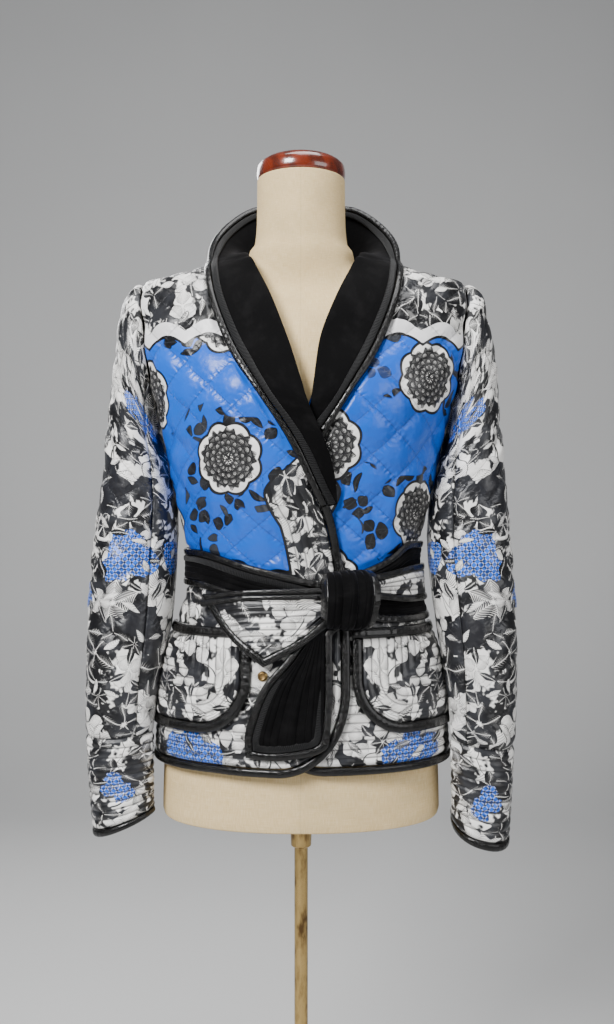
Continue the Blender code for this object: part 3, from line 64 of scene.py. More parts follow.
class Side(Enum):
    """The wearer's side of a piece, as the sign of its X."""

    RIGHT = -1
    LEFT = 1

    @property
    def word(self) -> str:
        """The side's word in a node's name."""
        return self.name.lower()

    @property
    def mirror(self) -> tuple[int, int]:
        """The signs that bring flat points drawn for the right side to this one."""
        return -self.value, 1


class Level(NamedTuple):
    """One oval level of a body: its height, half width, depths and squareness."""

    z: float
    half: float
    front: float
    back: float
    power: float


class Ring(NamedTuple):
    """One ring of a sleeve: its outer and inner points in the front view, depth and middle."""

    outer_x: float
    outer_z: float
    inner_x: float
    inner_z: float
    depth: float
    middle: float
    dip: float


class Station(NamedTuple):
    """One line across the collar, from its base to its edge. A back of None lies on the front."""

    base_x: float
    base_z: float
    base_back: float | None
    edge_x: float
    edge_z: float
    edge_back: float | None


def table(kind: type, *rows: Sequence) -> tuple:
    """Rows of numbers, each turned into the same kind of thing."""
    return tuple(kind(*row) for row in rows)


FORM_LEVELS = table(
    Level,
    (0.648, 0.161, 0.104, 0.112, 2.2), (0.654, 0.163, 0.106, 0.114, 2.2),
    (0.7, 0.164, 0.109, 0.119, 2.2), (0.76, 0.1615, 0.11, 0.121, 2.2), (0.836, 0.148, 0.102, 0.11, 2.2),
    (0.871, 0.1365, 0.096, 0.1, 2.2), (0.914, 0.1245, 0.089, 0.088, 2.2),
    (0.943, 0.1235, 0.0885, 0.086, 2.2), (0.985, 0.131, 0.095, 0.088, 2.2),
    (1.04, 0.144, 0.108, 0.094, 2.3), (1.085, 0.153, 0.115, 0.1, 2.4), (1.115, 0.16, 0.116, 0.103, 2.5),
    (1.15, 0.172, 0.112, 0.105, 2.7), (1.19, 0.18, 0.101, 0.103, 2.9),
    (1.225, 0.1835, 0.085, 0.096, 3.0), (1.24, 0.184, 0.072, 0.084, 2.8), (1.252, 0.18, 0.06, 0.07, 2.6),
    (1.258, 0.159, 0.056, 0.065, 2.4), (1.269, 0.118, 0.052, 0.062, 2.3),
    (1.28, 0.08, 0.051, 0.061, 2.2), (1.289, 0.065, 0.052, 0.062, 2.1),
)
NECK_TOP_Z = 1.3935
NECK_LEVELS = table(
    Level,
    (1.307, 0.0615, 0.054, 0.062, 2.0), (1.316, 0.055, 0.052, 0.06, 2.0),
    (1.345, 0.0525, 0.052, 0.057, 2.0), (NECK_TOP_Z, 0.052, 0.053, 0.055, 2.0),
)
JACKET_EASE = 0.0075
SHOULDER_LIFT = 0.0125
FORM_SLIM = 0.0035
FORM_SHOULDER_DROP = 0.0026
WALL = 0.0028
SEAM_GAP = 0.0005
LAYER_GAP = 0.0008
STRIP_STEP = 0.0024


def smooth(x: Array, xs: Sequence[float], ys: Sequence[float]) -> Array:
    """A curve through points that never swings past them.

    Args:
        x: Where the curve is read.
        xs: The points' places, rising.
        ys: The points' values.

    Returns:
        The curve's values at x.
    """
    xs = np.asarray(xs, float)
    ys = np.asarray(ys, float)
    gaps = np.diff(xs)
    slopes = np.diff(ys) / gaps
    product = slopes[:-1] * slopes[1:]
    total = slopes[:-1] + slopes[1:]
    level = product <= 0
    inner = np.where(level, 0.0, 2 * product / np.where(level, 1.0, total))
    tangents = np.concatenate([slopes[:1], inner, slopes[-1:]])
    x = np.clip(np.asarray(x, float), xs[0], xs[-1])
    i = np.clip(np.searchsorted(xs, x, side="right") - 1, 0, len(gaps) - 1)
    part = (x - xs[i]) / gaps[i]
    rest = 1 - part
    ends = ys[i] * (1 + 2 * part) * rest**2 + ys[i + 1] * (3 - 2 * part) * part**2
    return ends + gaps[i] * part * rest * (tangents[i] * rest - tangents[i + 1] * part)


def ramp(x: Array, low: float, high: float) -> Array:
    """0 below low, 1 above high, and a smooth step between."""
    part = np.clip((np.asarray(x, float) - low) / (high - low), 0, 1)
    return part * part * (3 - 2 * part)


def unit(vectors: Array) -> Array:
    """The same directions at length one."""
    return vectors / np.maximum(np.linalg.norm(vectors, axis=-1, keepdims=True), 1e-9)


def moved_across(path: Array, distance: float) -> Array:
    """A flat path moved to the right of its direction by a distance, with mitred corners."""
    path = np.asarray(path, float)
    ahead = unit(np.diff(path, axis=0))
    before = np.vstack([ahead[:1], ahead])
    after = np.vstack([ahead, ahead[-1:]])
    along = unit(before + after)
    right = np.column_stack([along[:, 1], -along[:, 0]])
    stretch = 1 / np.maximum((along * after).sum(axis=1), 0.5)
    return path + right * (distance * stretch)[:, None]


def path_lengths(path: Array) -> Array:
    """The length along a path at each of its points."""
    parts = np.linalg.norm(np.diff(path, axis=0), axis=1)
    return np.concatenate([[0.0], np.cumsum(parts)])


def inside(points: Array, outline: Array) -> Array:
    """Whether each flat point lies inside a closed outline."""
    x = points[:, 0][:, None]
    y = points[:, 1][:, None]
    ax, ay = outline[:, 0], outline[:, 1]
    bx, by = np.roll(ax, -1), np.roll(ay, -1)
    spans = (ay > y) != (by > y)
    reach = ax + (y - ay) * (bx - ax) / np.where(by == ay, 1e-12, by - ay)
    return (spans & (x < reach)).sum(axis=1) % 2 == 1


def distance_to(points: Array, path: Array, closed: bool = False) -> Array:
    """The distance of each flat point from a path."""
    start = path if closed else path[:-1]
    side = (np.roll(path, -1, axis=0) if closed else path[1:]) - start
    found = np.full(len(points), np.inf)
    for origin, way in zip(start, side):
        offset = points - origin
        part = np.clip((offset @ way) / max(float(way @ way), 1e-12), 0, 1)
        found = np.minimum(found, np.linalg.norm(offset - part[:, None] * way, axis=1))
    return found


def signed_inside(points: Array, outline: Array) -> Array:
    """The distance from a closed outline, positive inside it."""
    away = distance_to(points, outline, closed=True)
    return np.where(inside(points, outline), away, -away)


class Hull:
    """A body of oval levels, read by the turn from its centre front and the height."""

    steps = 96
    bust_x = 0.08
    bust_z = 1.118
    bust_rise = 0.008
    bust_spread = 0.045
    shifts = (0.0015, 0.0035)

    def __init__(self, levels: Sequence[Level], shifted: bool) -> None:
        """Keeps the levels as columns; a shifted body leans a little to its left."""
        self.z = [level.z for level in levels]
        self.columns = [[level[i] for level in levels] for i in range(1, 5)]
        self.shifted = shifted

    def sizes(self, z: Array) -> list[Array]:
        """The half width, front and back depths and squareness at a height."""
        return [smooth(z, self.z, column) for column in self.columns]

    def shift(self, z: Array) -> Array:
        """How far the body's middle stands to the left at a height."""
        if not self.shifted:
            return np.zeros_like(np.asarray(z, float))
        return smooth(z, (0.9, 1.15), self.shifts)

    def point(self, turn: Array, z: Array) -> Array:
        """The surface's points at turns and heights."""
        half, front, back, power = self.sizes(z)
        side = np.sin(turn)
        fore = np.cos(turn)
        x = half * np.sign(side) * np.abs(side) ** (2 / power)
        depth = np.where(fore > 0, front, back)
        y = -depth * np.sign(fore) * np.abs(fore) ** (2 / power)
        across = (np.abs(x) - self.bust_x) / self.bust_spread
        along = (z - self.bust_z) / self.bust_spread
        y = y - self.bust_rise * np.exp(-(across**2) - along**2) * np.clip(fore * 2, 0, 1)
        return np.stack(np.broadcast_arrays(x + self.shift(z), y, z), axis=-1)

    def lengths(self, z: Array) -> tuple[Array, Array]:
        """The turns of a half level, and the run along it to each of them."""
        turns = np.linspace(0, math.pi, self.steps + 1)
        points = self.point(turns[None, :], np.asarray(z, float)[:, None])
        parts = np.linalg.norm(np.diff(points, axis=1), axis=2)
        return turns, np.concatenate([np.zeros((len(parts), 1)), np.cumsum(parts, axis=1)], axis=1)

    def run_at(self, turn: Array, z: Array, from_back: bool = False) -> Array:
        """The run from the centre front, or from the centre back, to a turn."""
        turn = np.atleast_1d(np.asarray(turn, float))
        z = np.broadcast_to(np.asarray(z, float), turn.shape)
        turns, lengths = self.lengths(z)
        runs = np.array([np.interp(abs(t), turns, row) for t, row in zip(turn, lengths)])
        if from_back:
            runs = lengths[:, -1] - runs
        return np.where(turn < 0, -runs, runs)

    def turn_at(self, run: Array, z: Array, from_back: bool = False) -> Array:
        """The turn that a run reaches at a height."""
        heights, index = np.unique(np.round(z, 7), return_inverse=True)
        turns, lengths = self.lengths(heights)
        reach = np.abs(run)
        if from_back:
            reach = lengths[index, -1] - reach
        found = np.empty(len(reach))
        order = np.argsort(index, kind="stable")
        marks = np.searchsorted(index[order], np.arange(len(heights) + 1))
        for row, (low, high) in enumerate(zip(marks[:-1], marks[1:])):
            chosen = order[low:high]
            found[chosen] = np.interp(reach[chosen], lengths[row], turns)
        return np.where(run < 0, -found, found)

    def lifted(self, turn: Array, z: Array, lift: Array) -> Array:
        """Points at a lift off the surface."""
        small = 1e-3
        across = self.point(turn + small, z) - self.point(turn - small, z)
        upward = self.point(turn, z + small) - self.point(turn, z - small)
        normal = unit(np.cross(across, upward))
        return self.point(turn, z) + normal * np.asarray(lift, float)[..., None]

    def at(self, flat: Array, lift: Array, from_back: bool = False) -> Array:
        """Flat points (run, height) laid on the surface and lifted off it."""
        flat = np.asarray(flat, float)
        return self.lifted(self.turn_at(flat[:, 0], flat[:, 1], from_back), flat[:, 1], lift)

    def front_flat(self, places: Sequence[Sequence[float]]) -> Array:
        """Front view places (x from the centre line, z) as flat points from the centre front."""
        places = np.asarray(places, float)
        half, _, _, power = self.sizes(places[:, 1])
        ratio = np.clip(np.abs(places[:, 0]) / half, 0, 1)
        turn = np.arcsin(ratio ** (power / 2)) * np.sign(places[:, 0])
        return np.column_stack([self.run_at(turn, places[:, 1]), places[:, 1]])

    def climb(self, z: Array) -> Array:
        """The way up the shoulder's surface to a height, equal to the height low down."""
        known = np.linspace(self.z[0], self.z[-1], 400)
        points = self.point(np.full(len(known), math.radians(62)), known)
        steps = np.maximum(np.linalg.norm(np.diff(points, axis=0), axis=1), 1e-6)
        share = ramp(known[1:], 1.13, 1.22)
        steps = np.diff(known) * (1 - share) + steps * share
        return np.interp(z, known, known[0] + np.concatenate([[0.0], np.cumsum(steps)]))


def eased(level: Level) -> Level:
    """A level of the jacket: the form's, moved out by the ease."""
    lift = SHOULDER_LIFT * float(ramp(level.z, 1.18, 1.25))
    sizes = (level.half + JACKET_EASE, level.front + JACKET_EASE, level.back + JACKET_EASE)
    return Level(level.z + lift, *sizes, level.power)


def slimmed(level: Level) -> Level:
    """A level of the form where the jacket hides it, kept off the cloth's inner face."""
    share = float(ramp(level.z, 0.68, 0.72) * (1 - ramp(level.z, 1.27, 1.288)))
    less = FORM_SLIM * share
    drop = FORM_SHOULDER_DROP * float(ramp(level.z, 1.2, 1.24)) * share
    sizes = (level.half - less, level.front - less, level.back - less)
    return Level(level.z - drop, *sizes, level.power - 0.3 * share)


FORM = Hull(tuple(slimmed(level) for level in FORM_LEVELS) + NECK_LEVELS, False)
JACKET = Hull(tuple(eased(level) for level in FORM_LEVELS), True)


def flat_lattice(runs: Array, heights: Array) -> Array:
    """A lattice of flat points with a row of runs at each height."""
    return np.stack(np.broadcast_arrays(runs, heights[:, None]), axis=-1)


def front_place(flat: Array, lift: Array) -> Array:
    """Lays flat points on the jacket, with runs from the centre front."""
    return JACKET.at(flat, lift)


def back_place(flat: Array, lift: Array) -> Array:
    """Lays flat points on the jacket, with runs from the centre back."""
    return JACKET.at(flat, lift, from_back=True)


@dataclass(frozen=True)
class Crease:
    """A soft fold of the cloth, from start to end in flat points; a negative rise is a trough."""

    start: tuple[float, float]
    end: tuple[float, float]
    width: float
    rise: float
    bow: float = 0.0

    def over(self, flat: Array) -> Array:
        """The fold's rise at flat points, fading to both ends."""
        start = np.asarray(self.start)
        way = np.asarray(self.end) - start
        length = float(np.linalg.norm(way))
        along = (flat - start) @ way / length**2
        across = (flat - start) @ np.array([way[1], -way[0]]) / length
        across = across - self.bow * 4 * along * (1 - along)
        fade = np.clip(np.sin(np.pi * np.clip(along, 0, 1)), 0, 1) ** 0.6
        return self.rise * fade * np.exp(-((across / self.width) ** 2))


def folded(flat: Array, creases: Sequence[Crease]) -> Array:
    """The rise of several folds together."""
    total = np.zeros(len(flat))
    for crease in creases:
        total = total + crease.over(flat)
    return total


@dataclass
class Zone:
    """Quilting on part of a piece: coordinates with stitch lines at whole numbers."""

    lines: Array
    pitch: float
    rise: float
    power: float = 0.5

    def pillow(self) -> Array:
        """The quilted height, 0 at stitch lines."""
        waves = np.abs(np.sin(np.pi * self.lines))
        return self.rise * (waves[:, 0] * waves[:, 1]) ** self.power


def diamond_zone(flat: Array, origin: tuple[float, float], fullness: float = 1.0) -> Zone:
    """Diamond quilting in flat coordinates.

    Args:
        flat: The points.
        origin: Where two stitch lines cross.
        fullness: The share of the jacket's usual rise.

    Returns:
        The zone, with its two sets of stitch lines.
    """
    wide, tall = QUILTING.wide, QUILTING.tall
    local = (flat - origin) / (wide, tall)
    lines = np.column_stack([local[:, 0] + local[:, 1], local[:, 0] - local[:, 1]])
    return Zone(lines, 1 / math.hypot(1 / wide, 1 / tall), QUILTING.rise * fullness)


def channel_zone(distance: Array, pitch: float, rise: float) -> Zone:
    """Channels side by side, from a distance across them."""
    lines = np.column_stack([distance / pitch, np.full(len(distance), 0.5)])
    return Zone(lines, pitch, rise, 0.62)


def plain_zone(count: int) -> Zone:
    """No quilting."""
    return Zone(np.full((count, 2), 0.5), 0.01, 0.0)


@dataclass
class Cut:
    """A piece of cloth on a lattice of flat points, with its quilting and its print."""

    flat: Array
    zones: list[Zone]
    chosen: Array | None = None
    ease: Values = 1.0
    folds: Values = 0.0
    print_zones: Array | None = None
    cloth: Array | None = None
    bare: Values = -1.0
    size: tuple[float, float] | None = None

    @property
    def points(self) -> Array:
        """The lattice's flat points in one list."""
        return self.flat.reshape(-1, 2)

    @property
    def shape(self) -> tuple[int, int]:
        """The lattice's rows and columns."""
        return self.flat.shape[0], self.flat.shape[1]

    def relief(self) -> Array:
        """The rise of each point over its surface."""
        rise = self.zones[0].pillow()
        if self.chosen is not None:
            rise = np.where(self.chosen, self.zones[1].pillow(), rise)
        return rise * self.ease + self.folds

    def face_lines(self, corners: Array) -> Array:
        """The quilting's coordinates at the corners of each quad, all from one zone."""
        first = self.zones[0]
        found = np.empty((*corners.shape, 3))
        found[..., :2] = first.lines[corners]
        found[..., 2] = first.pitch
        if self.chosen is not None:
            second = self.zones[1]
            taken = self.chosen[corners].mean(axis=1) > 0.5
            found[taken, :, :2] = second.lines[corners[taken]]
            found[taken, :, 2] = second.pitch
        return found


@dataclass(frozen=True)
class Made:
    """A finished cloth piece and the size it was cut to."""

    piece: Piece
    width: float
    length: float
    area: float


def lattice_faces(rows: int, columns: int) -> Array:
    """The quads of a lattice, as corner numbers."""
    index = np.arange(rows * columns).reshape(rows, columns)
    return np.stack([index[:-1, :-1], index[:-1, 1:], index[1:, 1:], index[1:, :-1]], -1).reshape(-1, 4)


def lattice_border(rows: int, columns: int) -> Array:
    """The border of a lattice, once round, in the direction of its quads."""
    index = np.arange(rows * columns).reshape(rows, columns)
    return np.concatenate([index[0, :-1], index[:-1, -1], index[-1, :0:-1], index[:0:-1, 0]])


def write_mesh(name: str, points: Array, faces: list, finishes: Sequence[Material]) -> Piece:
    """A new object in the scene from its points and faces."""
    mesh = bpy.data.meshes.new(name)
    mesh.from_pydata(points.tolist(), [], faces)
    for finish in finishes:
        mesh.materials.append(finish)
    mesh.shade_smooth()
    made = bpy.data.objects.new(name, mesh)
    bpy.context.scene.collection.objects.link(made)
    return made


def add_values(mesh: bpy.types.Mesh, name: str, domain: str, values: Array) -> None:
    """Stores a vector at each point or corner of a mesh."""
    made = mesh.attributes.new(name, "FLOAT_VECTOR", domain)
    made.data.foreach_set("vector", np.ascontiguousarray(values, dtype=np.float32).ravel())


def make_cloth(
    name: str,
    cut: Cut,
    place: Place,
    base: Values,
    wall: float,
    finishes: Sequence[Material],
    round_edge: float = 0.0,
) -> Made:
    """Lays a cut piece on its surface as a shell with an outer face, an inner face and a rim.

    Args:
        name: The piece's name.
        cut: Its lattice, quilting, folds and print.
        place: Lays flat points on the surface at a lift.
        base: The lift of the wall's middle.
        wall: The wall's thickness.
        finishes: The outer finish and the lining.
        round_edge: How far the edge rolls in at its seams.

    Returns:
        The piece and its cut.
    """
    rows, columns = cut.shape
    flat = cut.points
    middle = np.broadcast_to(np.asarray(base, float), len(flat))
    relief = cut.relief()
    border = lattice_border(rows, columns)
    if round_edge:
        near = edge_nearness(rows, columns)
        relief = relief * (1 - near) - round_edge * near
    outer = place(flat, middle + wall / 2 + relief)
    inner = place(flat, middle - wall / 2 + relief * 0.55 - 0.0002)
    quads = lattice_faces(rows, columns)
    count = len(flat)
    grid = outer.reshape(rows, columns, 3)
    normal = np.cross(grid[1:, :-1] - grid[:-1, :-1], grid[:-1, 1:] - grid[:-1, :-1])
    away = (outer - inner).reshape(rows, columns, 3)[:-1, :-1]
    if (normal * away).sum() > 0:
        quads = quads[:, ::-1]
        border = border[::-1]
    ahead = np.roll(border, -1)
    rim = np.stack([ahead, border, border + count, ahead + count], -1)
    faces = np.vstack([quads, quads[:, ::-1] + count, rim])
    made = write_mesh(name, np.vstack([outer, inner]), faces.tolist(), finishes)
    mesh = made.data
    if len(finishes) > 1:
        slots = np.zeros(len(faces), np.int32)
        slots[len(quads) : 2 * len(quads)] = 1
        mesh.polygons.foreach_set("material_index", slots)
    lines = np.full((len(faces), 4, 3), 0.5)
    lines[..., 2] = cut.zones[0].pitch
    lines[: len(quads)] = cut.face_lines(quads)
    add_values(mesh, "quilt", "CORNER", lines.reshape(-1, 3))
    spans = np.linalg.norm(np.diff(grid, axis=1), axis=2)
    climbs = np.linalg.norm(np.diff(grid, axis=0), axis=2)
    cloth = cut.cloth
    if cloth is None:
        cloth = real_lengths(spans, climbs)
    flat_cloth = np.column_stack([cloth, np.broadcast_to(cut.bare, count)])
    add_values(mesh, "cloth", "POINT", np.vstack([flat_cloth, flat_cloth]))
    if cut.print_zones is not None:
        add_values(mesh, "print", "POINT", np.vstack([cut.print_zones, cut.print_zones]))
    base_grid = place(flat, middle).reshape(rows, columns, 3)
    width = float(np.linalg.norm(np.diff(base_grid, axis=1), axis=2).sum(axis=1).max())
    length = float(np.linalg.norm(np.diff(base_grid, axis=0), axis=2).sum(axis=0).max())
    width, length = cut.size or (width, length)
    sides = np.cross(base_grid[1:, :-1] - base_grid[:-1, :-1], base_grid[:-1, 1:] - base_grid[:-1, :-1])
    area = min(float(np.linalg.norm(sides, axis=2).sum()), 0.995 * width * length)
    LOG.info("%s: %d faces, cut %.0f x %.0f mm", name, len(faces), width / MM, length / MM)
    return Made(made, width, length, area)


def edge_nearness(rows: int, columns: int, reach: float = 1.6) -> Array:
    """1 at the lattice's border, fading over its next few lines."""
    down = np.minimum(np.arange(rows), np.arange(rows)[::-1])[:, None]
    along = np.minimum(np.arange(columns), np.arange(columns)[::-1])[None, :]
    return np.exp(-((np.minimum(down, along) / reach) ** 2)).reshape(-1)


def real_lengths(spans: Array, climbs: Array) -> Array:
    """Cloth coordinates in metres, from the real lengths along a lattice's rows and middle column."""
    rows, columns = climbs.shape[0] + 1, spans.shape[1] + 1
    across = np.concatenate([np.zeros((rows, 1)), np.cumsum(spans, axis=1)], axis=1)
    middle = columns // 2
    across = across - across[:, middle : middle + 1]
    upward = np.concatenate([[0.0], np.cumsum(climbs[:, middle])])
    return np.column_stack([across.reshape(-1), np.repeat(upward, columns)])


class Rim:
    """A line of sewing on a flat piece, smooth between its corners."""

    def __init__(self, points: Array, corners: Sequence[int] = ()) -> None:
        """Keeps the points and the numbers of the corners among them."""
        self.points = np.asarray(points, float)
        self.knots = path_lengths(self.points)
        self.marks = [0, *corners, len(self.points) - 1]

    def line(self, across: float, step: float) -> Array:
        """The line moved to the right by a distance, in points about a step apart."""
        moved = moved_across(self.points, across) if across else self.points
        found = []
        for first, last in zip(self.marks[:-1], self.marks[1:]):
            knots = self.knots[first : last + 1]
            count = max(2, round((knots[-1] - knots[0]) / step) + 1)
            ways = np.linspace(knots[0], knots[-1], count)
            part = np.column_stack([smooth(ways, knots, moved[first : last + 1, i]) for i in (0, 1)])
            found.append(part if not found else part[1:])
        return np.vstack(found)


@dataclass(frozen=True)
class Band:
    """The section of a strip sewn along a line: from inner to outer, right of it, and low to high."""

    inner: float
    outer: float
    low: float
    high: float
    fullness: float = 0.5
    points: int = 8
    pucker: float = 0.00022
    pucker_pitch: float = 0.0085

    def section(self) -> list[tuple[float, float]]:
        """The section's points, as (across, lift), over the rounded top and back under."""
        turns = np.linspace(0, math.pi, self.points)
        middle = (self.inner + self.outer) / 2
        half = (self.outer - self.inner) / 2
        shares = np.sign(np.cos(turns)) * np.abs(np.cos(turns)) ** 0.72
        tops = self.low + (self.high - self.low) * np.sin(turns) ** self.fullness
        rows = [(middle - half * share, top) for share, top in zip(shares, tops)]
        foot, under = half * 0.6, self.low - 0.0003
        return rows + [(self.outer - foot, under), (self.inner + foot, under)]


def make_strip(
    name: str,
    node: str,
    rim: Rim,
    band: Band,
    place: Place,
    base: Lift | float,
    finish: Material,
    upright: bool = False,
) -> Piece:
    """A closed strip along a rim, such as a leather binding or a braid, on the part's body.

    Args:
        name: The strip's name.
        node: The node that it stands for, or nothing.
        rim: The line it follows.
        band: Its section.
        place: Lays flat points on the surface at a lift.
        base: The lift of its surface.
        finish: Its material, which has its slot's name, with a number where Blender adds one.
        upright: Whether the section's inner and outer are measured straight up.

    Returns:
        The strip.
    """
    section = band.section()
    ways = path_lengths(rim.line(0.0, STRIP_STEP))
    wave = np.sin(ways * 2 * math.pi / band.pucker_pitch + np.sin(ways * 47.0) * 2.1)
    rows = []
    for across, lift in section:
        flat = rim.line(0.0 if upright else across, STRIP_STEP)
        if upright:
            flat = flat - (0.0, across)
        under = base(flat) if callable(base) else np.full(len(flat), float(base))
        crown = (lift - band.low) / max(band.high - band.low, 1e-6)
        rows.append(place(flat, under + lift + band.pucker * wave * np.clip(crown, 0, 1)))
    points = np.stack(rows, axis=1)
    size = len(section)
    count = len(points)
    index = np.arange(count * size).reshape(count, size)
    beside = np.roll(index, -1, axis=1)
    faces = np.stack([index[:-1], beside[:-1], beside[1:], index[1:]], -1).reshape(-1, 4)
    middle = points.mean(axis=1, keepdims=True)
    corner = points[:-1]
    normal = np.cross(np.roll(points, -1, axis=1)[:-1] - corner, points[1:] - corner)
    turned_in = (normal * (corner - middle[:-1])).sum() < 0
    listed = [tuple(face[::-1]) if turned_in else tuple(face) for face in faces.tolist()]
    ends = [index[0].tolist()[::-1], index[-1].tolist()]
    listed += [tuple(end[::-1]) if turned_in else tuple(end) for end in ends]
    made = write_mesh(name, points.reshape(-1, 3), listed, [finish])
    across_way = np.linspace(0, band.outer - band.inner, size)
    cloth = np.stack(np.broadcast_arrays(ways[:, None], across_way[None, :], 0.0), -1)
    add_values(made.data, "cloth", "POINT", cloth.reshape(-1, 3))
    LOG.info("%s: strip %.0f mm long", name, ways[-1] / MM)
    slot = finish.name.split(".")[0]
    return dress(made, slot, *filter(None, [node]))


def deselect() -> None:
    """Leaves object mode with nothing selected."""
    if bpy.context.mode != "OBJECT":
        bpy.ops.object.mode_set(mode="OBJECT")
    bpy.ops.object.select_all(action="DESELECT")


def select_only(piece: Piece) -> None:
    """Makes a piece the active one and the only one selected."""
    deselect()
    piece.select_set(True)
    bpy.context.view_layer.objects.active = piece


def turned_piece(name: str, profile: Places, finish: Material, sides: int = 96) -> Piece:
    """A turned solid on the upright axis, drawn up ring by ring from a filled circle.

    Args:
        name: The piece's name.
        profile: Its (radius, height) points from the lowest to the highest.
        finish: Its material.
        sides: The faces round it.

    Returns:
        The piece, with its place in its mesh.
    """
    deselect()
    radius, height = profile[0]
    place = (0, 0, height)
    bpy.ops.mesh.primitive_circle_add(vertices=sides, radius=radius, fill_type="NGON", location=place)
    made = bpy.context.object
    bpy.ops.object.transform_apply(location=True)
    bpy.ops.object.mode_set(mode="EDIT")
    for wide, high in profile[1:]:
        bpy.ops.mesh.extrude_region_move(TRANSFORM_OT_translate={"value": (0, 0, high - height)})
        grown = wide / radius
        bpy.ops.transform.resize(value=(grown, grown, 1), center_override=(0, 0, high))
        radius, height = wide, high
    bpy.ops.mesh.select_all(action="SELECT")
    bpy.ops.mesh.normals_make_consistent(inside=False)
    bpy.ops.object.mode_set(mode="OBJECT")
    made.name = name
    made.data.name = name
    made.data.materials.append(finish)
    bpy.ops.object.shade_smooth_by_angle(angle=math.radians(32))
    LOG.info("%s: turned, %d rings", name, len(profile))
    return made


def dress(piece: Piece, slot: str, *nodes: str) -> Piece:
    """Puts a piece on the part's body, in place of its nodes."""
    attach(piece, "root")
    if nodes:
        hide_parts(*nodes)
    return piece


def feed(tree: bpy.types.NodeTree, slot: Socket, value: "Wire | Socket | Colour | float") -> None:
    """Gives a node's input a link, a colour or a number."""
    if isinstance(value, (Wire, Socket)):
        tree.links.new(value.socket if isinstance(value, Wire) else value, slot)
    else:
        slot.default_value = (*value, 1.0) if isinstance(value, tuple) else value


class Wire:
    """A value in a material's node tree; arithmetic on it adds the nodes it needs."""

    def __init__(self, tree: bpy.types.NodeTree, socket: Socket) -> None:
        """Keeps the tree and the socket that gives the value."""
        self.tree = tree
        self.socket = socket

    def math(self, operation: str, *others: "Wire | float") -> "Wire":
        """A Math node on this value and up to two others."""
        node = self.tree.nodes.new("ShaderNodeMath")
        node.operation = operation
        self.tree.links.new(self.socket, node.inputs[0])
        for slot, other in zip(list(node.inputs)[1:], others):
            feed(self.tree, slot, other)
        return Wire(self.tree, node.outputs[0])

    def __add__(self, other: "Wire | float") -> "Wire":
        """The sum."""
        return self.math("ADD", other)

    def __sub__(self, other: "Wire | float") -> "Wire":
        """The difference."""
        return self.math("SUBTRACT", other)

    def __mul__(self, other: "Wire | float") -> "Wire":
        """The product."""
        return self.math("MULTIPLY", other)

    def __truediv__(self, other: "Wire | float") -> "Wire":
        """The quotient."""
        return self.math("DIVIDE", other)

    def rest(self) -> "Wire":
        """One less this value."""
        return self.math("MULTIPLY_ADD", -1.0, 1.0)

    def abs(self) -> "Wire":
        """The size without its sign."""
        return self.math("ABSOLUTE")

    def fract(self) -> "Wire":
        """The part over the whole number below."""
        return self.math("FRACT")

    def floor(self) -> "Wire":
        """The whole number below."""
        return self.math("FLOOR")

    def sin(self) -> "Wire":
        """The sine."""
        return self.math("SINE")

    def cos(self) -> "Wire":
        """The cosine."""
        return self.math("COSINE")

    def most(self, other: "Wire | float") -> "Wire":
        """The larger."""
        return self.math("MAXIMUM", other)

    def least(self, other: "Wire | float") -> "Wire":
        """The smaller."""
        return self.math("MINIMUM", other)

    def step(self, low: float, high: float) -> "Wire":
        """A smooth step from 0 at low to 1 at high; it falls where high is below low."""
        node = self.tree.nodes.new("ShaderNodeMapRange")
        node.interpolation_type = "SMOOTHSTEP"
        self.tree.links.new(self.socket, node.inputs["Value"])
        falls = high < low
        node.inputs["From Min"].default_value = high if falls else low
        node.inputs["From Max"].default_value = low if falls else high
        node.inputs["To Min"].default_value = 1.0 if falls else 0.0
        node.inputs["To Max"].default_value = 0.0 if falls else 1.0
        return Wire(self.tree, node.outputs["Result"])

    def to_line(self) -> "Wire":
        """The distance to the nearest whole number."""
        return ((self + 0.5).fract() - 0.5).abs()


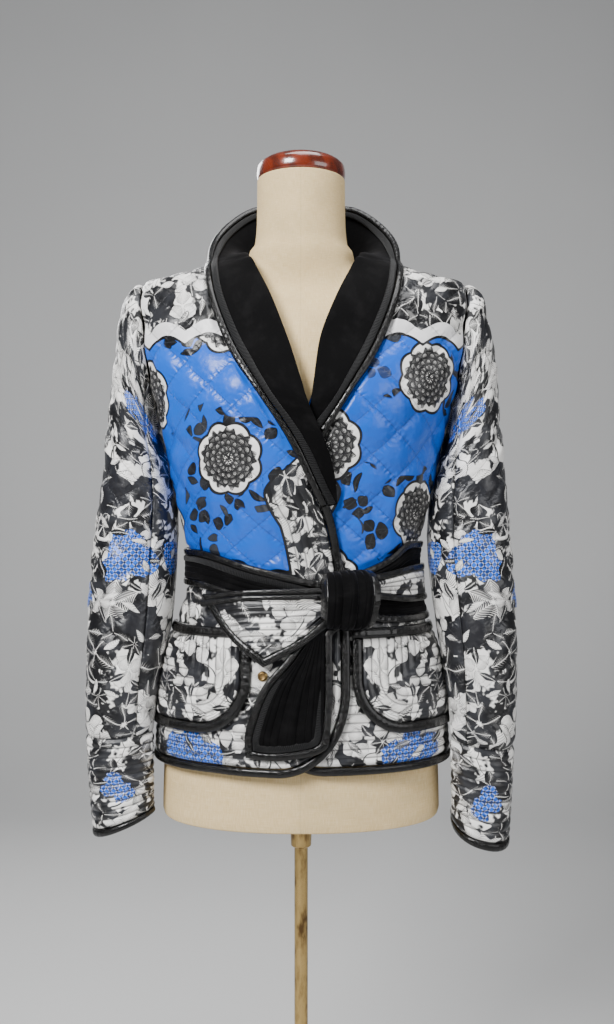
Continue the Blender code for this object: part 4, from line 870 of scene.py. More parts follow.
class Board:
    """A material's node tree while it is being made."""

    def __init__(self, name: str) -> None:
        """Starts a material with its shader and output."""
        self.material = bpy.data.materials.new(name)
        self.material.use_nodes = True
        self.tree = self.material.node_tree
        self.shader = self.tree.nodes["Principled BSDF"]

    def new(self, kind: str, **inputs: "Wire | Socket | Colour | float") -> bpy.types.Node:
        """A new node with its inputs, named with underscores for spaces."""
        node = self.tree.nodes.new(kind)
        for name, value in inputs.items():
            feed(self.tree, node.inputs[name.replace("_", " ")], value)
        return node

    def vector(self, name: str) -> tuple[Wire, Wire, Wire]:
        """A stored attribute's three values."""
        node = self.new("ShaderNodeAttribute")
        node.attribute_name = name
        return self.split(node.outputs["Vector"])

    def object_point(self) -> tuple[Wire, Wire, Wire]:
        """The point in the object's coordinates, in millimetres."""
        point = self.new("ShaderNodeTexCoord").outputs["Object"]
        return tuple(value * 1000.0 for value in self.split(point))

    def cloth_point(self) -> tuple[Wire, Wire, Wire]:
        """The place on the cloth, across and upward in millimetres, and the third value stored there."""
        across, upward, third = self.vector("cloth")
        return across * 1000.0, upward * 1000.0, third

    def split(self, socket: Socket) -> tuple[Wire, Wire, Wire]:
        """A vector's three values."""
        node = self.new("ShaderNodeSeparateXYZ")
        self.tree.links.new(socket, node.inputs[0])
        return tuple(Wire(self.tree, out) for out in node.outputs)

    def join(self, x: Wire, y: Wire, z: Wire | float = 0.0) -> Socket:
        """A vector from its values."""
        return self.new("ShaderNodeCombineXYZ", X=x, Y=y, Z=z).outputs[0]

    def noise(self, point: Socket, scale: float, detail: float = 2.0, rough: float = 0.5) -> Wire:
        """Smooth noise from 0 to 1 at a point."""
        node = self.new("ShaderNodeTexNoise", Vector=point, Scale=scale, Detail=detail, Roughness=rough)
        return Wire(self.tree, node.outputs["Fac"])

    def grains(self, point: Socket, scale: float, feature: str = "DISTANCE_TO_EDGE") -> Wire:
        """Cell grain at a point."""
        node = self.new("ShaderNodeTexVoronoi", Vector=point, Scale=scale)
        node.feature = feature
        return Wire(self.tree, node.outputs["Distance"])

    def chance(self, x: Wire, y: Wire, seed: float) -> tuple[Wire, Wire, Wire]:
        """Three chance values from 0 to 1, the same for equal x and y."""
        node = self.new("ShaderNodeTexWhiteNoise", Vector=self.join(x, y, seed))
        node.noise_dimensions = "3D"
        return self.split(node.outputs["Color"])

    def mix(self, share: Wire, first: Colour | Socket, second: Colour | Socket) -> Socket:
        """A colour between two colours."""
        node = self.new("ShaderNodeMix")
        node.data_type = "RGBA"
        factor, low, high = 0, 6, 7
        for index, value in ((factor, share), (low, first), (high, second)):
            feed(self.tree, node.inputs[index], value)
        return node.outputs[2]

    def paint(self, colour: Colour | Socket, roughness: Wire | float) -> None:
        """Sets the shader's colour and roughness."""
        self.set(Base_Color=colour, Roughness=roughness)

    def set(self, **values: "Wire | Socket | Colour | float") -> None:
        """Sets the shader's own sockets, named with underscores for spaces."""
        for name, value in values.items():
            feed(self.tree, self.shader.inputs[name.replace("_", " ")], value)

    def bump(self, height: Wire, depth: float) -> None:
        """Raises the surface by a height in metres times depth."""
        node = self.new("ShaderNodeBump", Strength=1.0, Distance=depth, Height=height)
        self.set(Normal=node.outputs["Normal"])


def quilt_marks(board: Board) -> tuple[Wire, Wire, Wire, Wire]:
    """The stitching that a piece's quilting coordinates give.

    Args:
        board: The material.

    Returns:
        The distance to the nearest stitch line in millimetres, the threads' mark there, the
        height of the small puckers that the stitches draw, and 1 where the rows are narrow.
    """
    first, second, pitch = board.vector("quilt")
    spread = pitch * 1000.0
    one = first.to_line() * spread
    two = second.to_line() * spread
    nearest = one.least(two)
    stitches = ((first + second) * spread / 3.2).fract().step(0.25, 0.4)
    thread = nearest.step(0.75, 0.25) * (stitches * 0.75 + 0.25)
    drift = board.noise(board.join(first * spread, second * spread), 0.11, 2.0)
    along_one = (second * spread * 0.95 + drift * 9.0).sin() * one.step(9.0, 0.4)
    along_two = (first * spread * 0.95 + drift * 9.0).sin() * two.step(9.0, 0.4)
    small = spread.step(6.0, 30.0) * 0.75 + 0.25
    return nearest, thread, (along_one + along_two) * small, spread.step(26.0, 14.0)


class Foliage:
    """Engraved leaves scattered on cloth, in layers that lie over each other."""

    def __init__(self, board: Board, x: Wire, y: Wire) -> None:
        """Starts with bare cloth; x and y are millimetres on it."""
        self.board = board
        drift = board.noise(board.join(x, y), 0.018, 2.0)
        swing = board.noise(board.join(y, x), 0.016, 2.0)
        self.x = x + (drift - 0.5) * 26.0
        self.y = y + (swing - 0.5) * 26.0
        self.ink: Wire | None = None
        self.under: Wire | None = None
        self.top: Wire | None = None

    def layer(self, size: float, turn: float, leaves: int, seed: float, keep: float = 1.0) -> None:
        """Adds one leaf spray to each cell of a turned grid.

        Args:
            size: The cells' size in millimetres.
            turn: The grid's turn in radians.
            leaves: The leaves in a spray.
            seed: Sets the chance values.
            keep: The share of the cells that hold a spray.
        """
        across = (self.x * math.cos(turn) + self.y * math.sin(turn)) / size + seed
        upward = (self.y * math.cos(turn) - self.x * math.sin(turn)) / size + seed * 0.37
        column, row = across.floor(), upward.floor()
        first, second, third = self.board.chance(column, row, seed)
        u = across.fract() - 0.5 - (second - 0.5) * 0.12
        v = upward.fract() - 0.5 - (third - 0.5) * 0.12
        reach = (u * u + v * v).math("SQRT")
        angle = v.math("ARCTAN2", u) + first * 6.283
        share = 2 * math.pi / leaves
        folded_angle = ((angle / share).fract() - 0.5) * share
        length, start = (0.42, 0.03) if leaves > 1 else (0.82, -0.41)
        if leaves > 1:
            lx = (reach * folded_angle.cos() - start) / length
            ly = reach * folded_angle.sin() / length
            wide = 0.46 * math.sin(share / 2) + 0.1
        else:
            lx = (reach * angle.cos() - start) / length
            ly = reach * angle.sin() / length
            wide = 0.21
        belly = (lx * 3.1416).sin().most(0.0).math("POWER", 0.8) * wide
        lobes = (lx * 34.0).sin().abs() * 0.018 + 0.982
        room = belly * lobes - ly.abs()
        body = room.step(-0.004, 0.01) * lx.step(0.0, 0.02) * lx.step(1.0, 0.98)
        if keep < 1.0:
            body = body * (first * 0.37 + second * 0.63).step(keep + 0.01, keep - 0.01)
        veins = ((lx + ly.abs() * 1.3) * (7.5 + leaves * 0.3)).fract()
        dark = third.step(0.28, 0.6)
        shade = ly.abs() / belly.most(0.01) * 0.34 + dark * 0.78 + lx.rest() * 0.24 - 0.04
        hatch = (veins - shade).step(0.06, -0.06)
        outline = room.step(0.03, 0.012)
        rib = ly.abs().step(0.02, 0.009)
        ink = hatch.most(outline) * rib.rest() + rib * 0.12
        self.ink = self.ink * body.rest() + ink * body
        self.under, self.top = self.top, body

    def stems(self, spacing: float, seed: float) -> None:
        """Puts winding stems, shading strokes and dark gaps under the leaves' first layer."""
        bend = self.board.noise(self.board.join(self.x, self.y), 0.021, 1.0)
        one = ((self.x + bend * 60.0 + seed) / spacing).to_line() * spacing
        two = ((self.y * 0.8 + self.x * 0.6 + bend * 74.0) / (spacing * 1.3)).to_line() * spacing
        strokes = ((self.x * 0.7 - self.y) / 3.1).fract().step(0.3, 0.2)
        patch = bend.step(0.55, 0.6)
        gaps = self.board.noise(self.board.join(self.y, self.x), 0.034, 3.0, 0.6).step(0.45, 0.5)
        self.ink = one.step(1.0, 0.5).most(two.step(0.9, 0.4)).most(strokes * patch * 0.8).most(gaps)


def blossom(board: Board, x: Wire, y: Wire, size: float, petals: int) -> tuple[Wire, Wire, Wire]:
    """A round many-petalled flower in a lobed field.

    Args:
        board: The material.
        x: Millimetres from its middle, across.
        y: Millimetres from its middle, upward.
        size: The flower's radius in millimetres.
        petals: The petals of each ring.

    Returns:
        The field's mask, its outline's mask and the flower's ink.
    """
    reach = (x * x + y * y).math("SQRT") / size
    angle = y.math("ARCTAN2", x)
    lobes = (angle * 4.0).sin().abs() * 0.13 + 1.1
    margin = lobes - reach
    field_mask = margin.step(-0.012, 0.012)
    outline = margin.abs().step(0.062, 0.036)
    rings = reach * 4.6
    ring = rings.floor()
    local = rings.fract()
    petal = (angle * (petals / (2 * math.pi)) + ring * 0.5).fract() - 0.5
    edge = local - (petal * petal * -2.6 + 0.96)
    rim = edge.abs().step(0.2, 0.1)
    seam = (angle * 9.0 + reach * 4.0).sin() + (angle * 23.0).sin()
    fan = ((petal * 9.0).fract() - 0.5).abs()
    strokes = (fan - local * 0.4 + 0.1).step(-0.02, 0.08)
    pearl = (petal * petal * 5.0 + (local - 0.5) * (local - 0.5) * 3.4).step(0.12, 0.42)
    ink = rim.most(strokes).most(pearl * 0.85) * (reach + seam * 0.05).step(1.0, 0.96)
    heart = reach.step(0.2, 0.17)
    seeds = board.grains(board.join(x, y), 0.55, "F1").step(0.3, 0.42)
    ink = ink * heart.rest() + heart * seeds
    return field_mask, outline, ink


@dataclass(frozen=True)
class Finish:
    """A procedural finish; each kind draws its own nodes."""

    name: str

    def draw(self, board: Board) -> None:
        """Draws the nodes."""
        raise NotImplementedError

    def build(self) -> Material:
        """The material."""
        board = Board(self.name)
        self.draw(board)
        return board.material


@dataclass(frozen=True)
class PrintedSatin(Finish):
    """Quilted satin, printed with a generic leaf and blossom pattern of this part's own.

    The piece's print attribute says how far each point lies inside the blue ground, a lattice
    patch and a charcoal patch, in millimetres.
    """

    name: str = "printed_satin_body"
    blossom_origin: tuple[float, float] = (-22.0, 9.0)
    blossom_repeat: tuple[float, float] = (118.0, 150.0)
    blossom_size: float = 32.0
    white: Colour = (0.86, 0.845, 0.815)
    plain: Colour = (0.74, 0.73, 0.735)
    azure: Colour = (0.0001, 0.122, 0.7)
    deep: Colour = (0.0002, 0.066, 0.42)
    ink: Colour = (0.006, 0.006, 0.007)
    grey: Colour = (0.022, 0.023, 0.027)
    shadow: Colour = (0.03, 0.034, 0.044)
    # Charcoal is a print colour, and is also used to paint shade along the quilting's stitch lines.
    charcoal: Colour = (0.014, 0.014, 0.017)

    def draw(self, board: Board) -> None:
        """Draws the nodes."""
        x, y, bare = board.cloth_point()
        blue, lattice, coal = board.vector("print")
        nearest, thread, pucker, narrow = quilt_marks(board)
        leaves = Foliage(board, x, y)
        leaves.stems(46.0, 7.0)
        leaves.layer(62.0, 0.4, 5, 3.0, 0.62)
        leaves.layer(33.0, 2.6, 7, 41.0, 0.36)
        leaves.layer(39.0, 1.1, 3, 11.0, 0.64)
        leaves.layer(24.0, 2.0, 1, 23.0, 0.62)
        tone = board.noise(board.join(x, y), 0.03, 1.0).step(0.4, 0.62)
        line = board.mix(tone, self.ink, self.grey)
        leafy = board.mix(leaves.ink, self.white, line)
        leafy = board.mix(bare.step(0.0, 0.0004), leafy, self.plain)
        spray = board.noise(board.join(y, x), 0.0125, 1.0).step(0.525, 0.535)
        sprigs = spray * leaves.top.most(leaves.under)
        ground = board.mix(board.noise(board.join(x, y), 0.004, 1.0), self.azure, self.deep)
        ground = board.mix(sprigs, ground, board.mix(leaves.ink, self.shadow, self.ink))
        column = (x - self.blossom_origin[0]) / self.blossom_repeat[0]
        drop = (column.floor() * 0.5).fract()
        row = (y - self.blossom_origin[1]) / self.blossom_repeat[1] + drop
        u = (column.fract() - 0.5) * self.blossom_repeat[0]
        v = (row.fract() - 0.5) * self.blossom_repeat[1]
        lobed, rim, flower = blossom(board, u, v, self.blossom_size, 15)
        bloom = board.mix(flower, self.white, self.ink)
        ground = board.mix(lobed, ground, bloom)
        ground = board.mix(rim, ground, self.ink)
        colour = board.mix(blue.step(-0.2, 0.2), leafy, ground)
        colour = board.mix(blue.abs().step(1.9, 1.4), colour, self.ink)
        slope = ((x + y) / 8.0).to_line() * 8.0
        other = ((x - y) / 8.0).to_line() * 8.0
        bars = slope.least(other).step(1.0, 0.5)
        studs = (slope * slope + other * other).math("SQRT").step(1.9, 1.4)
        weave_shade = board.noise(board.join(x, y), 0.16, 2.0).step(0.45, 0.58)
        trellis = board.mix(weave_shade * 0.75, self.azure, self.ink)
        trellis = board.mix(bars * 0.42, trellis, self.white)
        trellis = board.mix(studs, trellis, self.ink)
        ragged = (board.noise(board.join(x, y), 0.075, 2.0) - 0.5) * 16.0
        over = leaves.top.rest()
        colour = board.mix((lattice + ragged).step(-0.2, 0.2) * over, colour, trellis)
        night = board.mix(leaves.ink.rest() * 0.22, self.charcoal, self.shadow)
        colour = board.mix((coal + ragged).step(-0.2, 0.2) * over, colour, night)
        # Painted shade: the quilting's stitch lines are darkened toward charcoal, more where the rows are
        # narrow.
        painted_groove_shade = nearest.step(1.5, 0.2) * (narrow * 0.46 + 0.14)
        colour = board.mix(painted_groove_shade, colour, self.charcoal)
        colour = board.mix(thread * 0.22, colour, self.grey)
        fine = board.noise(board.join(x, y), 0.9, 3.0)
        weave = (x * 5.2).sin() * (y * 5.2).sin()
        board.paint(colour, fine * 0.16 + 0.25)
        board.set(Sheen_Weight=0.02, Sheen_Roughness=0.4, Specular_IOR_Level=0.42)
        creep = board.noise(board.join(x, y), 0.055, 2.0, 0.45)
        height = pucker * 0.2 + creep * 2.2 - thread * 0.28 + weave * 0.018 + fine * 0.08
        board.bump(height, BUMP_DEPTH)


@dataclass(frozen=True)
class Velvet(Finish):
    """Black cotton velvet with a soft pile, stitched in rows where it is quilted."""

    name: str = "black_velvet"
    pile: Colour = (0.0016, 0.0015, 0.0017)
    worn: Colour = (0.005, 0.0047, 0.005)

    def draw(self, board: Board) -> None:
        """Draws the nodes."""
        x, y, _ = board.cloth_point()
        nearest, thread, _, _ = quilt_marks(board)
        cloud = board.noise(board.join(x, y), 0.045, 3.0, 0.6)
        fibre = board.noise(board.join(x * 0.5, y * 2.0), 1.7, 2.0)
        colour = board.mix(cloud.step(0.45, 0.75) * 0.8, self.pile, self.worn)
        board.paint(colour, fibre * 0.15 + 0.8)
        board.set(Sheen_Weight=0.13, Sheen_Roughness=0.3, Specular_IOR_Level=0.08)
        board.set(Sheen_Tint=(0.42, 0.41, 0.45))
        height = fibre * 0.1 + cloud * 0.9 - nearest.step(1.4, 0.2) * 0.35 - thread * 0.2
        board.bump(height, BUMP_DEPTH)


@dataclass(frozen=True)
class Leather(Finish):
    """Black glazed leather, folded over an edge and drawn in by its stitches."""

    name: str = "black_leather"
    hide: Colour = (0.0026, 0.0024, 0.0023)
    rubbed: Colour = (0.0075, 0.0068, 0.0064)

    def draw(self, board: Board) -> None:
        """Draws the nodes."""
        along, across, _ = board.cloth_point()
        x, y, z = board.object_point()
        point = board.join(x, y, z)
        cells = board.grains(point, 1.15)
        cloud = board.noise(point, 0.1, 3.0)
        draw = (along * 0.74 + cloud * 5.0).sin()
        stitch = (along / 3.4).fract().step(0.3, 0.45) * (across - 1.6).abs().step(0.5, 0.2)
        colour = board.mix(cloud.step(0.48, 0.72) * 0.7, self.hide, self.rubbed)
        board.paint(colour, cloud * 0.12 + 0.1)
        board.set(Coat_Weight=0.22, Coat_Roughness=0.07, Specular_IOR_Level=0.28)
        board.bump(cells.step(0.0, 0.16) * 0.06 + draw * 0.08 - stitch * 0.22 + cloud * 0.4, BUMP_DEPTH)


@dataclass(frozen=True)
class Gimp(Finish):
    """A dark ribbed braid."""

    name: str = "black_gimp"
    cord: Colour = (0.013, 0.013, 0.014)
    # Painted shade: the colour of the valleys between the ribs.
    valley: Colour = (0.003, 0.003, 0.003)

    def draw(self, board: Board) -> None:
        """Draws the nodes."""
        x, y, _ = board.cloth_point()
        ribs = ((x + (y * 0.9).sin() * 0.5) * (2 * math.pi / 1.9)).sin()
        strand = board.noise(board.join(x * 2.0, y), 1.4, 2.0)
        # Painted shade: the braid is darker in the valleys between its ribs than on the cords.
        colour = board.mix(ribs.step(-0.6, 0.6), self.valley, self.cord)
        board.paint(colour, strand * 0.2 + 0.45)
        board.set(Sheen_Weight=0.08, Specular_IOR_Level=0.1)
        board.bump(ribs * 0.32 + strand * 0.2, BUMP_DEPTH)


@dataclass(frozen=True)
class Lining(Finish):
    """Plain dark twill on the cloth's inner side."""

    name: str = "lining_twill"
    thread: Colour = (0.016, 0.018, 0.024)
    shade: Colour = (0.006, 0.007, 0.01)

    def draw(self, board: Board) -> None:
        """Draws the nodes."""
        x, y, _ = board.cloth_point()
        twill = ((x + y) * (2 * math.pi / 0.9)).sin()
        cloud = board.noise(board.join(x, y), 0.05, 3.0)
        board.paint(board.mix(twill.step(-0.8, 0.8) * cloud, self.shade, self.thread), cloud * 0.2 + 0.42)
        board.set(Sheen_Weight=0.25)
        board.bump(twill * 0.04 + cloud * 1.2, BUMP_DEPTH)


@dataclass(frozen=True)
class Linen(Finish):
    """Natural linen stretched over the form, with sewn seams down it."""

    name: str = "natural_linen"
    flax: Colour = (0.64, 0.46, 0.22)
    pale: Colour = (0.8, 0.63, 0.36)
    # The seam colour also paints shade into the weave's low cells.
    seam: Colour = (0.3, 0.225, 0.125)

    def draw(self, board: Board) -> None:
        """Draws the nodes."""
        x, y, z = board.object_point()
        turn = y.math("ARCTAN2", x) * 55.0
        point = board.join(turn, z)
        thick = board.noise(board.join(turn * 0.12, z * 2.6), 0.9, 2.0)
        thin = board.noise(board.join(turn * 2.6, z * 0.12), 0.9, 2.0)
        warp = (turn * (2 * math.pi / 0.95)).sin() * (thin * 0.8 + 0.4)
        weft = (z * (2 * math.pi / 0.95)).sin() * (thick * 0.8 + 0.4)
        weave = warp * weft
        cloud = board.noise(point, 0.02, 3.0)
        colour = board.mix(thick.step(0.35, 0.7) * 0.5 + thin.step(0.35, 0.7) * 0.5, self.flax, self.pale)
        colour = board.mix(cloud.step(0.45, 0.75) * 0.22, colour, self.seam)
        line = x.abs()
        colour = board.mix(line.step(0.9, 0.3) * 0.16, colour, self.seam)
        # Painted shade: the weave's low cells, where its bump is lowest, are darkened toward the seam
        # colour.
        colour = board.mix(weave.step(-0.2, -0.8) * 0.28, colour, self.seam)
        board.paint(colour, 0.86)
        board.set(Specular_IOR_Level=0.2)
        height = weave * 0.1 + cloud * 1.4 - line.step(1.4, 0.2) * 0.15 + line.step(7.0, 2.0) * 0.1
        board.bump(height, BUMP_DEPTH)


@dataclass(frozen=True)
class VarnishedWood(Finish):
    """Turned red-brown wood under thick old varnish."""

    name: str = "varnished_wood"
    red: Colour = (0.165, 0.02, 0.0045)
    dark: Colour = (0.04, 0.006, 0.002)

    def draw(self, board: Board) -> None:
        """Draws the nodes."""
        x, y, z = board.object_point()
        drift = board.noise(board.join(x, y, z), 0.03, 3.0)
        rings = ((x * 0.62 + z * 0.25 + drift * 30.0) * 0.42).sin()
        streak = board.noise(board.join(x * 0.5, y * 3.0, z * 3.0), 0.3, 3.0)
        age = rings.step(-0.7, 0.9) * 0.55 + streak.step(0.4, 0.7) * 0.35
        colour = board.mix(age, self.red, self.dark)
        board.paint(colour, streak * 0.12 + 0.2)
        board.set(Coat_Weight=0.9, Coat_Roughness=0.07)
        board.bump(drift * 0.9 + streak * 0.05, BUMP_DEPTH)


@dataclass(frozen=True)
class AgedBrass(Finish):
    """Brass gone brown in places, rubbed bright in others."""

    name: str = "aged_brass"
    bright: Colour = (0.48, 0.33, 0.13)
    brown: Colour = (0.115, 0.065, 0.028)

    def draw(self, board: Board) -> None:
        """Draws the nodes."""
        x, y, z = board.object_point()
        cloud = board.noise(board.join(x, y, z * 0.4), 0.06, 4.0, 0.6)
        scratch = board.noise(board.join(x, y, z * 0.05), 1.6, 2.0)
        board.paint(board.mix(cloud.step(0.42, 0.68), self.bright, self.brown), cloud * 0.3 + 0.16)
        board.set(Metallic=1.0)
        board.bump(scratch * 0.05 + cloud * 0.15, BUMP_DEPTH)


@dataclass(frozen=True)
class PaintedIron(Finish):
    """Black painted cast iron, a little rough and rubbed."""

    name: str = "painted_iron"
    paint_colour: Colour = (0.014, 0.014, 0.015)
    rubbed: Colour = (0.06, 0.055, 0.05)

    def draw(self, board: Board) -> None:
        """Draws the nodes."""
        x, y, z = board.object_point()
        point = board.join(x, y, z)
        cast = board.noise(point, 0.35, 4.0, 0.6)
        wear = board.noise(point, 0.035, 4.0, 0.7)
        board.paint(board.mix(wear.step(0.58, 0.72), self.paint_colour, self.rubbed), cast * 0.25 + 0.34)
        board.set(Coat_Weight=0.15, Coat_Roughness=0.3)
        board.bump(cast * 0.45, BUMP_DEPTH)


def made_from(kind: type[Finish]) -> Material:
    """A field that holds the material of a kind of finish."""
    return field(default_factory=lambda: kind().build())


@dataclass
class Finishes:
    """Every finish of the jacket and its form, made once."""

    bodice: Material = made_from(PrintedSatin)
    velvet: Material = made_from(Velvet)
    leather: Material = made_from(Leather)
    gimp: Material = made_from(Gimp)
    lining: Material = made_from(Lining)
    linen: Material = made_from(Linen)
    wood: Material = made_from(VarnishedWood)
    brass: Material = made_from(AgedBrass)
    iron: Material = made_from(PaintedIron)

    @property
    def quilted(self) -> list[Material]:
        """The print outside and the lining inside."""
        return [self.bodice, self.lining]


@dataclass
class DressForm:
    """The limbless form: linen torso and neck, wooden cap, brass socket and pole, iron foot."""

    finishes: Finishes
    sides: int = 128
    ring_step: float = 0.007
    cap_radius: float = 0.0525
    cap_top_z: float = 1.4215
    bottom_z: float = 0.648
    pole_radius: float = 0.008
    base_radius: float = 0.18

    def build(self) -> None:
        """Builds and dresses each piece."""
        self.torso()
        self.cap()
        self.fittings()
        self.foot()

    def torso(self) -> None:
        """The covered torso: rings drawn up from a circle and set on the form's ovals."""
        low, high = FORM.z[0], FORM.z[-1]
        heights = np.linspace(low, high, int((high - low) / self.ring_step))
        profile = [(0.1, float(z)) for z in heights]
        made = turned_piece("torso_cover", profile, self.finishes.linen, self.sides)
        turns = np.array([math.atan2(v.co.x, -v.co.y) for v in made.data.vertices])
        levels = np.array([v.co.z for v in made.data.vertices])
        made.data.vertices.foreach_set("co", FORM.point(turns, levels).astype(np.float32).ravel())
        select_only(made)
        bevel = made.modifiers.new("soft_ends", "BEVEL")
        bevel.width = 0.0015
        bevel.segments = 2
        bevel.limit_method = "ANGLE"
        bevel.angle_limit = math.radians(50)
        bpy.ops.object.modifier_apply(modifier="soft_ends")
        made.data.update()
        dress(made, "linen", "form_torso")

    def cap(self) -> None:
        """The turned cap on the neck, with a rounded foot."""
        start = NECK_TOP_Z + 0.0003
        rise = self.cap_top_z - start
        profile = [(self.cap_radius * 0.955, start), (self.cap_radius * 0.985, start + 0.0016)]
        profile += [(self.cap_radius, start + 0.0045), (self.cap_radius, start + 0.0095)]
        for angle in range(12, 90, 6):
            height = start + 0.011 + (rise - 0.011) * math.sin(math.radians(angle))
            profile.append((self.cap_radius * math.cos(math.radians(angle)) ** 0.62, height))
        made = turned_piece("neck_cap", profile, self.finishes.wood)
        dress(made, "turned_wood", "form_neck_cap")

    def fittings(self) -> None:
        """The brass socket under the torso and the pole in it."""
        bottom = self.bottom_z - 0.0003
        socket = [(0.0105, bottom - 0.045), (0.012, bottom - 0.0435), (0.0125, bottom - 0.03)]
        socket += [(0.0138, bottom - 0.016), (0.0185, bottom - 0.0105), (0.0285, bottom - 0.0072)]
        socket += [(0.03, bottom - 0.0058), (0.03, bottom)]
        dress(turned_piece("pole_socket", socket, self.finishes.brass, 64), "brass", "form_socket")
        top = bottom - 0.0453
        low = 0.0243
        pole = [(self.pole_radius, low), (self.pole_radius, (low + top) / 2), (self.pole_radius, top)]
        dress(turned_piece("pole", pole, self.finishes.brass, 48), "brass", "form_pole")

    def foot(self) -> None:
        """The round cast foot."""
        edge = self.base_radius
        profile = [(edge - 0.005, 0.0), (edge - 0.0015, 0.0012), (edge, 0.004), (edge - 0.001, 0.0082)]
        profile += [(edge - 0.004, 0.0102), (edge * 0.78, 0.0132), (edge * 0.55, 0.0168)]
        profile += [(0.045, 0.0192), (0.031, 0.0208), (0.026, 0.023), (0.022, 0.024)]
        dress(turned_piece("foot", profile, self.finishes.iron, 128), "painted_iron", "form_base")


@dataclass(frozen=True)
class Quilting:
    """The sizes of the jacket's quilting."""

    wide: float = 0.058
    tall: float = 0.05
    rise: float = 0.0036
    start_z: float = 0.838
    channel: float = 0.0094
    channel_rise: float = 0.0016
    front_channels: int = 5
    hem_channels: int = 9


QUILTING = Quilting()
HEM_Z = 0.7145
BINDING_WIDTH = 0.0098
BINDING = Band(SEAM_GAP, BINDING_WIDTH, -0.0014, 0.0038)
PANEL_FOOT_Z = HEM_Z + BINDING_WIDTH
HEM_BAND_Z = PANEL_FOOT_Z + QUILTING.hem_channels * QUILTING.channel
PANEL_ROLL = 0.0012
SMALL_ROLL = 0.0006
BREAK_Z = 1.034
COLLAR_FOOT_Z = 1.0
NECK_Z = 1.2985
ARMHOLE_MID_Z = 1.187
ARMHOLE_RISE = 0.0785
ARMHOLE_REACH = (0.053, 0.058)
LAP_WAIST = 0.005
LAP_BREAK = 0.0092
LAP_HEM = 0.0078


def lap_lift(flat: Array) -> Array:
    """How far the right front stands off the jacket's surface where it laps over the left."""
    x = flat[:, 0]
    waist = LAP_WAIST * ramp(x, -0.105, -0.055)
    neck = (LAP_BREAK - LAP_WAIST) * ramp(x, -0.075, -0.022)
    window = ramp(flat[:, 1], 0.955, 1.02) * (1 - ramp(flat[:, 1], 1.125, 1.19))
    high = 1 - ramp(flat[:, 1], 1.16, 1.24)
    corner = (LAP_HEM - LAP_WAIST) * ramp(x, -0.06, -0.02) * (1 - ramp(flat[:, 1], 0.745, 0.79))
    return waist * high + neck * window + corner


def no_lap(flat: Array) -> Array:
    """The left front lies on the jacket's surface."""
    return np.zeros(len(flat))


UNDER = {Side.RIGHT: lap_lift, Side.LEFT: no_lap}


def armhole_turn(z: Array, front: bool) -> Array:
    """The turn on the jacket of the armhole's front or back line at a height."""
    share = np.clip((z - ARMHOLE_MID_Z) / ARMHOLE_RISE, -1, 1)
    fore = np.sqrt(1 - share**2)
    _, front_depth, back_depth, power = JACKET.sizes(z)
    depth = front_depth if front else back_depth
    reach = ARMHOLE_REACH[0 if front else 1] * fore
    turn = np.arccos(np.clip(reach / depth, 0, 1) ** (power / 2))
    return turn if front else math.pi - turn


def armhole(side: int, angles: Array) -> tuple[Array, Array]:
    """The turn on the jacket and the height of the points round an armhole, from its top."""
    z = ARMHOLE_MID_Z + ARMHOLE_RISE * np.cos(angles)
    _, front, back, power = JACKET.sizes(z)
    fore = np.sin(angles)
    depth = np.where(fore > 0, front, back)
    reach = np.where(fore > 0, *ARMHOLE_REACH) * np.abs(fore)
    turn = np.arccos(np.clip(reach / depth, 0, 1) ** (power / 2))
    turn = np.where(fore > 0, turn, math.pi - turn)
    return side * turn, z


def outer_run(z: Array, from_back: bool) -> Array:
    """The run from the centre to the side seam, the armhole or the shoulder seam at a height."""
    low, high = ARMHOLE_MID_Z - ARMHOLE_RISE, ARMHOLE_MID_Z + ARMHOLE_RISE
    turn = np.full(len(z), math.pi / 2)
    beside = (z > low) & (z < high)
    turn[beside] = armhole_turn(z[beside], not from_back)
    return JACKET.run_at(turn, z, from_back)


def panel_heights(fine: float, step: float) -> Array:
    """The heights of a panel's rows: fine in the hem band, then even on the surface."""
    band = HEM_BAND_Z - PANEL_FOOT_Z
    first = np.linspace(PANEL_FOOT_Z, HEM_BAND_Z, round(band / fine) + 1)
    known = np.linspace(HEM_BAND_Z, NECK_Z, 900)
    turns = (math.pi / 2, math.radians(40))
    lines = [JACKET.point(np.full(len(known), turn), known) for turn in turns]
    steps = np.maximum(*(np.linalg.norm(np.diff(line, axis=0), axis=1) for line in lines))
    ways = np.concatenate([[0.0], np.cumsum(steps)])
    rest = np.interp(np.linspace(0, ways[-1], round(ways[-1] / step) + 1), ways, known)
    return np.concatenate([first, rest[1:]])


def quarter_round(middle: tuple[float, float], radii: tuple[float, float], angles: Array) -> Array:
    """Flat points round a middle, at angles from straight below it toward the right."""
    return np.column_stack([middle[0] + radii[0] * np.sin(angles), middle[1] - radii[1] * np.cos(angles)])


def front_edge_places() -> Array:
    """The right panel's front edge, from the hem to the neck, as (x, z) from the centre line."""
    middle = (-0.026, 0.806)
    radius_x, radius_z = 0.0775 - BINDING_WIDTH, 0.806 - HEM_Z - BINDING_WIDTH
    angles = np.radians(np.linspace(0, 90, 34))
    corner = quarter_round(middle, (radius_x, radius_z), angles)
    upper = [
        (0.0417, 0.85), (0.037, 0.915), (0.0322, 0.95), (0.0212, COLLAR_FOOT_Z), (0.005, BREAK_Z),
        (0.001, 1.07), (-0.004, 1.111), (-0.01, 1.13), (-0.0245, 1.184), (-0.045, 1.24), (-0.061, 1.275),
        (-0.07, NECK_Z),
    ]
    knots = np.vstack([corner[-1:], upper])
    heights = np.linspace(knots[0, 1], knots[-1, 1], 130)[1:]
    line = np.column_stack([smooth(heights, knots[:, 1], knots[:, 0]), heights])
    return np.vstack([corner, line])


def patches(points: Array, circles: Sequence[tuple[float, float, float]]) -> Array:
    """How far points lie inside the union of circles (x, y, radius); negative outside."""
    found = np.full(len(points), -1.0)
    for x, y, radius in circles:
        found = np.maximum(found, radius - np.hypot(points[:, 0] - x, points[:, 1] - y))
    return found


NO_PATCH = -1.0


